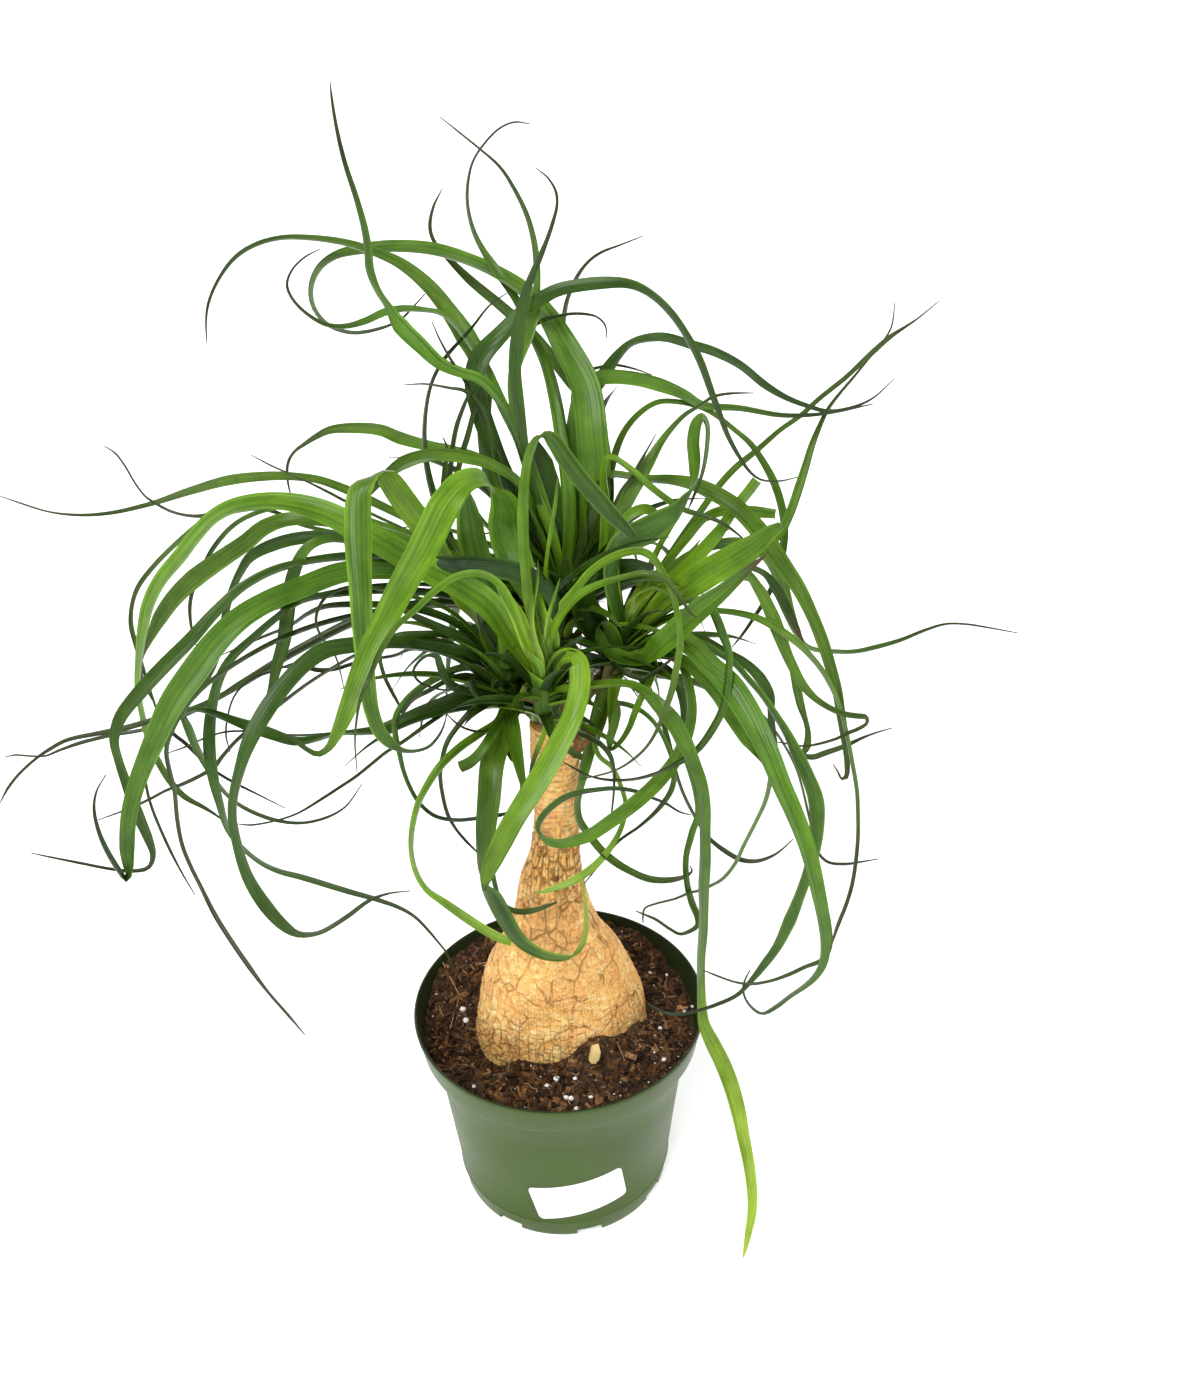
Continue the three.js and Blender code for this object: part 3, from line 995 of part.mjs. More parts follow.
// Twisted leaf
leaf("right", 5, [15, 20, 20, 18], [
  [634, 628], [675, 600], [725, 577], [757, 582], [774, 610], [786, 645, 7], [793, 668, 8],
  [797, 688, 9], [801, 706, 8], [806, 722, 5], [808, 733, 6], [807, 746, 8], [804, 755, 5],
  [813, 757, 6], [825, 753, 6], [845, 746, 5], [862, 738, 3], [875, 733, 2], [892, 728, 1]]);
// Dark leaf
leaf("right", 6, [16, 35, 40], [
  [634, 622], [675, 590], [730, 565], [762, 572, 6], [777, 590, 10], [788, 612, 10], [797, 630, 7],
  [804, 643, 1]]);
// Outermost hanging leaf, right
leaf("right", 5, [15, 0, 0, -10, -20], [
  [634, 636], [660, 620], [695, 608, 5], [718, 610, 5], [735, 612, 6], [755, 617, 7], [775, 627, 8],
  [790, 637, 8], [805, 650, 6], [820, 667, 5], [830, 683, 5], [839, 703, 4], [847, 733, 4],
  [853, 765, 4], [857, 790, 4], [858, 815, 4], [858, 835, 4], [856, 860, 4], [852, 885, 4],
  [846, 905, 4], [838, 925, 4], [832, 943, 2]]);
// Biggest hanging leaf at the right
leaf("right", 12, [12, -25, -60, -85, -95, -90], [
  [634, 648, 12], [650, 641, 14], [672, 638, 18], [690, 645, 20], [710, 665, 20], [730, 685, 24],
  [745, 707, 24], [758, 730, 22], [770, 755, 20], [782, 785, 18], [793, 810, 17], [803, 835, 16],
  [811, 860, 15], [818, 890, 14], [824, 920, 12], [826, 945, 10], [823, 965, 8], [815, 978, 6],
  [805, 987, 4], [790, 997, 3], [775, 1008, 4], [762, 1014, 3], [752, 1008, 2], [745, 998, 2],
  [743, 988, 2], [745, 980, 2], [750, 970, 1]]);
// Leaf behind it
leaf("right", 5, [12, -10, -40, -65, -68, -60], [
  [632, 652], [660, 652], [695, 672], [728, 705], [758, 748], [785, 790, 6], [800, 825, 8],
  [813, 865, 8], [821, 895, 8], [828, 925, 7], [829, 948, 6], [822, 960, 5], [805, 967, 4],
  [790, 974, 4], [770, 981, 3], [750, 984, 3], [735, 982, 2], [715, 975, 2], [703, 970, 1]]);
// Leaf under it with a long thread
leaf("right", 8, [9, -17, -36, -38, -26], [
  [630, 655], [655, 650, 8], [680, 658, 10], [700, 675, 12], [718, 695, 13], [732, 715, 16],
  [748, 738, 16], [763, 757, 10], [771, 772, 4], [770, 788, 3], [765, 805, 3], [757, 822, 2],
  [745, 845, 2], [735, 865, 2], [722, 880, 2], [711, 886, 2], [699, 891, 2], [690, 893, 2],
  [675, 899, 2], [655, 904, 2], [645, 908, 2], [643, 915, 2], [643, 923, 1]]);
// Short dark leaf
leaf("right", 5, [14, 3, -6], [
  [634, 641], [660, 634], [685, 634, 6], [705, 640, 7], [722, 650, 8], [745, 663, 9], [760, 678, 11],
  [770, 695, 9], [771, 712, 7], [772, 730, 8], [776, 746, 4], [779, 760, 1]]);
// Hanging leaf swept in over the pot
leaf("right", 7.5, [14, -8, -25, -45, -50, -35], [
  [634, 644], [655, 636, 6], [685, 638, 7], [705, 645, 7], [722, 654, 5], [735, 663, 5], [750, 680, 5],
  [763, 695, 5], [776, 714, 6], [787, 732, 8], [798, 755, 12], [808, 777, 13], [816, 800, 15],
  [817, 825, 14], [814, 850, 12], [808, 872, 10], [800, 895, 10], [790, 920, 12], [777, 947, 9],
  [763, 966, 8], [750, 982, 5], [737, 995, 4], [718, 1004, 4], [700, 1010, 3], [683, 1014, 3],
  [665, 1013, 3], [647, 1003, 1]]);
// Leaf that hangs over the rim and down beside the pot
leaf("front", 8, [-24, -34, -50, -58, -54, -44, -32, -44, -65, -88, -98], [
  [560, 688], [575, 687, 5], [590, 684, 5], [610, 682, 5], [630, 683, 6], [643, 690, 9],
  [657, 703, 14], [672, 720, 17], [685, 742, 15], [695, 765, 12], [702, 785, 11], [705, 810, 11],
  [705, 835, 10], [705, 860, 11], [704, 885, 11], [704, 910, 9], [703, 935, 9], [701, 960, 8],
  [701, 985, 8], [702, 1008, 9], [704, 1024, 11], [712, 1042, 14], [722, 1062, 15], [731, 1085, 15],
  [738, 1110, 14], [744, 1140, 12], [749, 1165, 11], [752, 1190, 10], [752, 1212, 9], [748, 1235, 7],
  [745, 1250, 4], [743, 1258, 1]]);
// Thin hanging leaf
leaf("right", 4.5, [14, -15, -32, -36], [
  [628, 660], [645, 685], [670, 725], [690, 770], [698, 812, 6], [692, 833, 7], [686, 858, 5],
  [687, 883, 5], [692, 903, 6], [698, 918, 6], [697, 926, 4], [688, 932, 3], [680, 934, 3],
  [670, 929, 3], [655, 919, 3], [643, 914, 2], [636, 911, 1]]);
// Thin sagging leaf
leaf("right", 3.5, [14, -8, -15, -20], [
  [630, 658], [650, 690], [667, 735], [678, 778, 3], [685, 797, 3], [697, 820, 3], [708, 837, 4],
  [725, 851, 5], [742, 860, 5], [757, 861, 4], [770, 857, 3], [780, 851, 2], [793, 839, 1]]);
// Leaf swept in across the neck
leaf("right", 5, [12, -12, -32, -45, -40], [
  [636, 632], [665, 610], [690, 600], [708, 603, 8], [716, 617, 9], [723, 635, 9], [729, 652, 7],
  [728, 680, 8], [723, 708, 8], [712, 730, 8], [697, 750, 7], [680, 762, 6], [660, 772, 4],
  [635, 779, 3], [610, 780, 3], [590, 776, 2], [572, 767, 2], [563, 762, 1]]);
// Thread, right
leaf("right", 3.5, [14, 5, 5, -5], [
  [634, 655], [690, 662], [750, 702], [793, 760], [810, 820], [818, 852, 3], [828, 862, 3],
  [845, 864, 3], [860, 862, 2], [878, 859, 1]]);

// Shorter leaves arch over the far side, spread evenly with a little chance. Each row is a
// shoot, how many leaves it has there, and the directions of the first and the last.
const FAR_LEAVES = [
  ["back", 6, 44, 136],
  ["right", 1, 56, 80],
  ["left", 1, 100, 124],
];
const FAR_COURSE = [
  [0.12, 0.6, 0],
  [0.34, 1, 0],
  [0.62, 0.5, 0],
  [0.86, 0, 0.45],
  [1, 0, 1],
];

function addFarLeaves() {
  const chance = randomFrom(21);
  for (const [shoot, count, first, last] of FAR_LEAVES) {
    for (let i = 0; i < count; i++) {
      const turn = rad(first + ((last - first) * (i + 0.5)) / count + 8 * (chance() - 0.5));
      const reach = 105 + 55 * chance();
      const rise = 10 + 14 * chance();
      const drop = 35 + 75 * chance();
      const swerve = 40 * (chance() - 0.5);
      const core = new THREE.Vector3(...SHOOTS[shoot].core);
      const outward = new THREE.Vector3(Math.cos(turn), Math.sin(turn), 0);
      const sideways = new THREE.Vector3(-Math.sin(turn), Math.cos(turn), 0);
      const points = FAR_COURSE.map(([out, up, down]) =>
        core
          .clone()
          .addScaledVector(outward, out * reach)
          .addScaledVector(sideways, out * out * swerve)
          .setZ(core.z + up * rise - down * drop),
      );
      blades[shoot].push(makeBlade([core, ...points], [], 8));
    }
  }
}
addFarLeaves();

// The growing point of a shoot and the short stem under it, sunk into all its leaf roots.
function makeShoot(name) {
  const { core, stand } = SHOOTS[name];
  const foot = [stand[0], stand[1], TRUNK_TOP + GAP];
  const knee = [stand[0], stand[1], TRUNK_TOP + GAP + 5];
  const stem = rod(foot, knee, STEM_RADIUS, STEM_RADIUS, 10);
  const bend = [stand[0], stand[1], TRUNK_TOP + GAP + 4];
  const neck = rod(bend, [core[0], core[1], core[2] - 8], STEM_RADIUS, NECK_RADIUS, 10);
  const ball = new THREE.IcosahedronGeometry(CORE_RADIUS, 1).scale(1, 1, CORE_HEIGHT);
  const heart = solidOf(ball.translate(...core));
  const whole = Manifold.union([stem, neck, heart, ...blades[name]]);
  // Small spaces closed in among the roots are left solid.
  return whole.decompose().reduce((a, b) => (a.volume() > b.volume() ? a : b));
}

function addMesh(group, name, solid, color, roughness) {
  const { vertProperties, triVerts } = solid.getMesh();
  const geometry = new THREE.BufferGeometry();
  geometry.setAttribute("position", new THREE.BufferAttribute(new Float32Array(vertProperties), 3));
  geometry.setIndex(new THREE.BufferAttribute(new Uint32Array(triVerts), 1));
  geometry.computeVertexNormals();
  const material = new THREE.MeshStandardMaterial({ color, roughness, metalness: 0 });
  const mesh = new THREE.Mesh(geometry, material);
  mesh.name = name;
  group.add(mesh);
}

const palm = new THREE.Group();
palm.name = "potted_ponytail_palm";
addMesh(palm, "pot", makePot(), 0x5f7f55, 0.45);
addMesh(palm, "soil", makeSoil(), 0x33231b, 0.95);
addMesh(palm, "trunk", makeTrunk(), 0xc49a62, 0.85);
addMesh(palm, "label", makeLabel(), 0xf4f4f4, 0.6);
addMesh(palm, "leaves_front", makeShoot("front"), 0x6fae35, 0.5);
addMesh(palm, "leaves_left", makeShoot("left"), 0x5f9c33, 0.5);
addMesh(palm, "leaves_right", makeShoot("right"), 0x68a836, 0.5);
addMesh(palm, "leaves_back", makeShoot("back"), 0x5a9430, 0.5);

export default palm;
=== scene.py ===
"""Dresses the potted ponytail palm: leaves, bark, potting mix, pot and sticker."""
import itertools
import math
import random

import bpy
import numpy as np
from mathutils import Matrix, Vector, noise


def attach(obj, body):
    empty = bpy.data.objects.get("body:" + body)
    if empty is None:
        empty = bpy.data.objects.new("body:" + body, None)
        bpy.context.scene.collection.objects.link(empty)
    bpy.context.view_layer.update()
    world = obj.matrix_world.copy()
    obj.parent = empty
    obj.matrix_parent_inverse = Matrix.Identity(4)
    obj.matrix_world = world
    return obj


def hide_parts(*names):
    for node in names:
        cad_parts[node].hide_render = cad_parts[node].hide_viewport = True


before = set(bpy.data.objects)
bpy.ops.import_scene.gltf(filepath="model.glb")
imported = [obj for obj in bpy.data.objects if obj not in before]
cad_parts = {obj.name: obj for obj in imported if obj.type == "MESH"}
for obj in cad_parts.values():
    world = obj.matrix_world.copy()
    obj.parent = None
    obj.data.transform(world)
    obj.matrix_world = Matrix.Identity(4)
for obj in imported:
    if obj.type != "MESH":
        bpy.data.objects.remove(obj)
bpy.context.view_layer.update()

# Sizes below are in millimetres, and meshes are scaled to metres when they are made. Shades are
# red, green and blue of 0 to 255, as on a screen.
MM = 0.001

# The pot, as in the solids.
POT_HEIGHT = 125.0
RIM_RADIUS = 82.5
BAND_HEIGHT = 19.5
BAND_FOOT_RADIUS = 79.0
WALL_TOP_RADIUS = 72.5
FOOT_RADIUS = 61.0
WALL = 1.4
FLOOR = 2.2
LEDGE_HEIGHT = 12.5
NOTCH_COUNT = 8
NOTCH_WIDTH = 15.0
NOTCH_HEIGHT = 4.5
NOTCH_RADIUS = 55.5
NOTCH_LENGTH = 12.0
NOTCH_TURN = -76.0
POT_SIDES = 240
POT_OUTSIDE = (57, 80, 12)
# Painted shade: the darker green laid down the pot's inside and on its rim's top.
POT_PAINTED_SHADE = (32, 44, 18)

# The bare sticker.
LABEL_LENGTH = 54.0
LABEL_WIDTH = 29.0
LABEL_THICKNESS = 0.25
LABEL_CORNER = 3.0
LABEL_HEIGHT = 35.5
LABEL_TURN = -81.5
LABEL_TILT = 11.0
LABEL_GAP = 0.12
LABEL_COLUMNS = 60
LABEL_ROWS = 28

# The soil's level, how far it rises towards the back, and how far it may rise or fall at the
# wall. Its heaps and dips, by the trunk and by the wall, are given as (x, y, height, spread).
SOIL_HEIGHT = 111.5
BACK_RISE = 9.0
WALL_RISE = 3.0
HEAPS = [
    (19.0, -34.0, 17.0, 15.0),
    (42.0, -16.0, 10.0, 16.0),
    (-39.0, -19.0, -12.0, 16.0),
    (-70.0, -6.0, -11.0, 24.0),
    (72.0, -2.0, -9.0, 22.0),
]
SOIL_SIDES = 300
SOIL_RINGS = 74
SOIL_HOLE_RADIUS = 30.0
SOIL_OUTER_RADIUS = BAND_FOOT_RADIUS - 1.2
SOIL_BROWN = (116, 84, 51)
SOIL_BLACK = (48, 35, 22)

# Bark bits in the soil: how many, and how long, wide and thick they are about. Each shade has a
# weight in the draw.
CHIP_KINDS = [(150, 5.6, 1.5, 0.9), (420, 3.2, 1.5, 0.8), (900, 1.5, 0.9, 0.6), (900, 0.8, 0.5, 0.4)]
CHIP_SHADES = {
    (78, 54, 34): 6,
    (106, 74, 45): 6,
    (136, 98, 62): 3,
    (52, 36, 22): 6,
    (172, 134, 90): 1,
}
# The one pale chip that stands in front of the trunk: its place in the view, its half sizes and
# how far its middle stands above the soil.
PALE_CHIP_SEEN = (595, 1060)
PALE_CHIP_HALF = (3.4, 2.2, 6.0)
PALE_CHIP_RISE = 3.8
# White grains that stand out, as (place in the view, size), and the many fine ones among them.
PERLITE_SEEN = [
    (463, 1010, 1.9),
    (466, 1021, 1.9),
    (580, 1043, 1.5),
    (557, 1080, 1.9),
    (547, 1086, 1.4),
    (575, 1079, 1.2),
    (566, 1098, 1.5),
    (571, 1099, 1.5),
    (591, 1098, 1.4),
    (576, 1109, 1.3),
    (474, 1087, 1.2),
    (660, 1029, 1.3),
    (664, 1060, 1.3),
    (685, 1012, 1.2),
    (693, 1007, 1.3),
    (667, 975, 1.0),
    (650, 973, 1.0),
]
FINE_PERLITE = 130
# Fibres in the mix, and straws that lean on it, as (places in the view, radius).
FIBRES = 90
STRAWS = [
    (((450, 1030), (456, 1010), (459, 1000)), 0.35),
    (((442, 962), (452, 982), (462, 1001)), 0.4),
    (((716, 968), (728, 978), (736, 986)), 0.3),
]
# Loose bits are drawn inside one radius and kept inside another, and clear of the trunk's foot.
BITS_RADIUS = 76.5
BITS_LIMIT = 77.5
FIBRE_LIMIT = 76.0
TRUNK_FOOT_MIDDLE = (1.0, 4.0)
TRUNK_FOOT_HALF = (49.0, 39.5)

# The trunk's outline, as (height, middle in x, half width).
TRUNK_RINGS = [
    (78, 1, 42),
    (90, 1, 48),
    (102, 1, 49.3),
    (114, 1, 48.6),
    (128, 1.2, 46.4),
    (139, 0.6, 43.4),
    (150, 0, 39.8),
    (160, 0, 36.2),
    (169, -0.4, 31.6),
    (178, -1, 27),
    (187, -1.2, 23.6),
    (197, -1.4, 20.6),
    (207, -1.5, 18.7),
    (220, -0.8, 16.4),
    (233, 1, 13.6),
    (247, 2.4, 12.5),
    (260, 3, 12.1),
    (273, 3.2, 12.2),
    (286, 3.2, 12.5),
    (299, 3.4, 12.9),
    (309, 4, 13.2),
    (316, 4.2, 13.4),
]
TRUNK_FOOT = 80.0
TRUNK_TOP = 316.0
TRUNK_ROWS = 340
TRUNK_SIDES = 280
BARK_TAN = (240, 193, 117)
# The pale bark shade is painted highlight, laid on the bark's swells and low on the trunk.
BARK_PAINTED_HIGHLIGHT = (252, 232, 168)
BARK_DARK = (112, 70, 26)
BARK_MOSSY = (206, 178, 88)
BARK_REDDISH = (238, 184, 122)
# The knot in the bark, as its place in the view and its depth, and its half sizes.
KNOT = (556, 880, -15.1)
KNOT_SIZE = (2.2, 4.0, 1.8)

# The stub of a cut shoot. It closes over the last part of its length.
STUB_FROM = (8.0, -2.0, 297.0)
STUB_TO = (19.0, -6.0, 314.0)
STUB_FOOT = 6.5
STUB_TIP = 5.2
STUB_SHOULDER = 0.8
STUB_ROWS = 40
STUB_SIDES = 48
STUB_LIGHT = (150, 104, 60)
STUB_DARK = (92, 62, 38)

# The growing points of the shoots and where they stand on the trunk.
SHOOTS = {
    "front": ((-1, -20, 342), (4, -7.4)),
    "left": ((-19, 2, 334), (-4.6, 0.6)),
    "right": ((36, 14, 346), (10.6, 3.6)),
    "back": ((10, 32, 366), (2.6, 9)),
}
HEART_RADIUS = 6.0
HEART_HEIGHT = 12.0
HEART_ROWS = 22
HEART_SHADE = (84, 112, 34)
STEM_RADIUS = 4.0
STEM_ROWS = 30
STEM_SHADE = (122, 112, 52)
STEM_SIDES = 28

# The view that the leaves' courses are given in, 1200 wide and 1383 high.
EYE = np.array([26.7, -632.3, 726.7])
LOOK_DOWN = math.radians(31.92)
LEAN = math.radians(-1.137)
FOCAL = 1500.0
VIEW_WIDTH = 1200.0
VIEW_HEIGHT = 1383.0
SENSOR = 36.0
AHEAD = np.array([0.0, math.cos(LOOK_DOWN), -math.sin(LOOK_DOWN)])
LEVEL = np.array([0.0, math.sin(LOOK_DOWN), math.cos(LOOK_DOWN)])
ACROSS = np.array([1.0, 0.0, 0.0])
RIGHT = math.cos(LEAN) * ACROSS + math.sin(LEAN) * LEVEL
UP = -math.sin(LEAN) * ACROSS + math.cos(LEAN) * LEVEL

# How finely a leaf is made: places along it, and across its upper and lower face.
FINE = 128
INNER_FINE = 36
SHEATH_FINE = 20
# Samples in each stretch of a leaf's course.
COURSE_FINENESS = 12
UPPER = np.array([1.0, 0.86, 0.5, 0.0, -0.5, -0.86, -1.0])
LOWER = np.array([-0.66, -0.33, 0.0, 0.33, 0.66])
SECTION = np.concatenate([UPPER, LOWER])
BLADE_THICKNESS = 0.5
LEAST_WIDTH = 0.45
# A blade never turns its edge to the view further than to this share of its width.
LEAST_FACING = 0.15
ROOT_SINK = 5.0

# Leaf colours at the base, the middle and the tip, on a screen.
YOUNG = ((186, 210, 66), (138, 180, 30), (112, 150, 30))
BRIGHT = ((150, 186, 50), (122, 162, 36), (100, 134, 34))
MID = ((104, 140, 36), (100, 136, 34), (82, 110, 36))
DEEP = ((64, 90, 26), (70, 103, 30), (64, 88, 36))
DULL = ((68, 86, 36), (74, 94, 40), (76, 78, 52))
LOWERED = ((146, 182, 50), (102, 140, 40), (58, 84, 32))
RIPENING = ((130, 162, 44), (88, 122, 32), (172, 196, 64))
FADING = ((112, 146, 38), (114, 152, 38), (156, 188, 70))
OPENING = ((170, 200, 60), (104, 142, 34), (88, 118, 36))
SHEATH = ((150, 128, 70), (140, 128, 60), (120, 92, 50))
THIN_END = (60, 70, 36)
BROWN_TIP = (104, 82, 56)
# The underside is darker and bluer than the upper face: painted shade.
SHADED_UNDERSIDE = np.array([0.58, 0.64, 1.2])

# Broad leaves are given a little more than their seen width, which leaves out the soft edges.
BROAD_GAIN = 0.07

# The inner leaves of each shoot: how many, the shortest and the longest.
INNER_LEAVES = {
    "front": (12, 34, 56),
    "left": (22, 60, 120),
    "right": (20, 55, 110),
    "back": (26, 70, 135),
}
INNER_STEPS = 6
GOLDEN_TURN = 137.5
SHEATHS = 12

# Shorter leaves arch over the far side. Each row is a shoot, how many leaves it has there, and
# the directions of the first and the last.
FAR_LEAVES = [
    ("back", 6, 44, 136),
    ("right", 1, 56, 80),
    ("left", 1, 100, 124),
]
FAR_COURSE = [
    (0.12, 0.6, 0),
    (0.34, 1, 0),
    (0.62, 0.5, 0),
    (0.86, 0, 0.45),
    (1, 0, 1),
]

# The studio: a level floor that curves up into a low round wall, as (radius, height).
STUDIO = [(1, -0.2), (4200, -0.2), (4480, 30), (4720, 120), (4900, 280), (4990, 520), (5000, 2600)]

# Light of the surroundings, the studio's own glow, and the wide soft lights as (the side that
# they come from, how wide they look in degrees, power).
WORLD_LIGHT = 0.5
FLOOR_GLOW = 0.32
LIGHTS = [
    ((-0.45, -0.85, 1.1), 30, 2.3),
    ((0.9, 0.3, 0.9), 50, 0.6),
]

# Seeds of the random draws.
LEAF_SEED = 8
FAR_SEED = 21
CHIP_SEED = 31
PERLITE_SEED = 12
FIBRE_SEED = 5
PALE_CHIP_SEED = 3


def smoothstep(value, low, high):
    """0 below low, 1 above high, and smooth between."""
    part = np.clip((value - low) / (high - low), 0.0, 1.0)
    return part * part * (3 - 2 * part)


def linear(*shade):
    """A colour as Blender counts it, from red, green and blue of 0 to 255 on a screen."""
    parts = np.array(shade) / 255
    return np.where(parts <= 0.04045, parts / 12.92, ((parts + 0.055) / 1.055) ** 2.4)


def opaque(shade):
    """A shade as the value of a colour socket."""
    return (*linear(*shade), 1.0)


def lengths_along(points):
    """The distance walked at each point of a row."""
    steps = np.linalg.norm(np.diff(points, axis=0), axis=1)
    return np.concatenate([[0.0], np.cumsum(steps)])


def unit(vectors):
    """The same directions with length 1."""
    size = np.linalg.norm(vectors, axis=-1, keepdims=True)
    return vectors / np.maximum(size, 1e-9)


def make_piece(name, points, faces, tint=None, spread=None, crease=None):
    """One object from points in millimetres and blocks of faces.

    tint gives a colour to each point, spread a place on the surface, and crease the angle in
    degrees beyond which an edge stays sharp."""
    mesh = bpy.data.meshes.new(name)
    mesh.vertices.add(len(points))
    mesh.vertices.foreach_set("co", (np.asarray(points, float) * MM).astype(np.float32).ravel())
    blocks = [np.asarray(block, np.int32) for block in faces]
    corners = np.concatenate([block.ravel() for block in blocks])
    sizes = np.concatenate([np.full(len(block), block.shape[1]) for block in blocks])
    mesh.loops.add(len(corners))
    mesh.loops.foreach_set("vertex_index", corners)
    mesh.polygons.add(len(sizes))
    starts = np.concatenate([[0], np.cumsum(sizes)[:-1]]).astype(np.int32)
    mesh.polygons.foreach_set("loop_start", starts)
    mesh.update(calc_edges=True)
    if tint is not None:
        colours = np.ones((len(points), 4), np.float32)
        colours[:, :3] = tint
        layer = mesh.color_attributes.new("tint", "FLOAT_COLOR", "POINT")
        layer.data.foreach_set("color", colours.ravel())
    if spread is not None:
        layer = mesh.uv_layers.new(name="spread")
        layer.uv.foreach_set("vector", np.asarray(spread, np.float32)[corners].ravel())
    mesh.shade_smooth()
    if crease is not None:
        mesh.set_sharp_from_angle(angle=math.radians(crease))
    piece = bpy.data.objects.new(name, mesh)
    bpy.context.scene.collection.objects.link(piece)
    return piece


def tube_faces(rings, sides, first=0):
    """The side faces of a closed tube of rings, numbered from first."""
    ring, side = np.meshgrid(np.arange(rings - 1), np.arange(sides), indexing="ij")
    a = first + ring * sides + side
    b = first + ring * sides + (side + 1) % sides
    return np.stack([a, b, b + sides, a + sides], -1).reshape(-1, 4)


def cap_faces(rings, sides, first=0):
    """The two end faces of such a tube."""
    foot = first + np.arange(sides)[::-1]
    top = first + (rings - 1) * sides + np.arange(sides)
    return np.stack([foot, top])


def turned(profile, sides):
    """Points and faces of a profile [radius, height] turned about the upright axis."""
    profile = np.asarray(profile, float)
    turn = np.linspace(0, 2 * math.pi, sides, endpoint=False)
    radius = profile[:, 0][:, None]
    points = np.stack(
        [
            radius * np.cos(turn),
            radius * np.sin(turn),
            np.broadcast_to(profile[:, 1][:, None], (len(profile), sides)),
        ],
        -1,
    )
    return points.reshape(-1, 3), tube_faces(len(profile), sides)


def finish_piece(piece, material, slot, *nodes):
    """Gives a piece its material and its place on the body, and hides the solids that it stands for."""
    piece.data.materials.append(material)
    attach(piece, "root")
    if nodes:
        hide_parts(*nodes)
    return piece


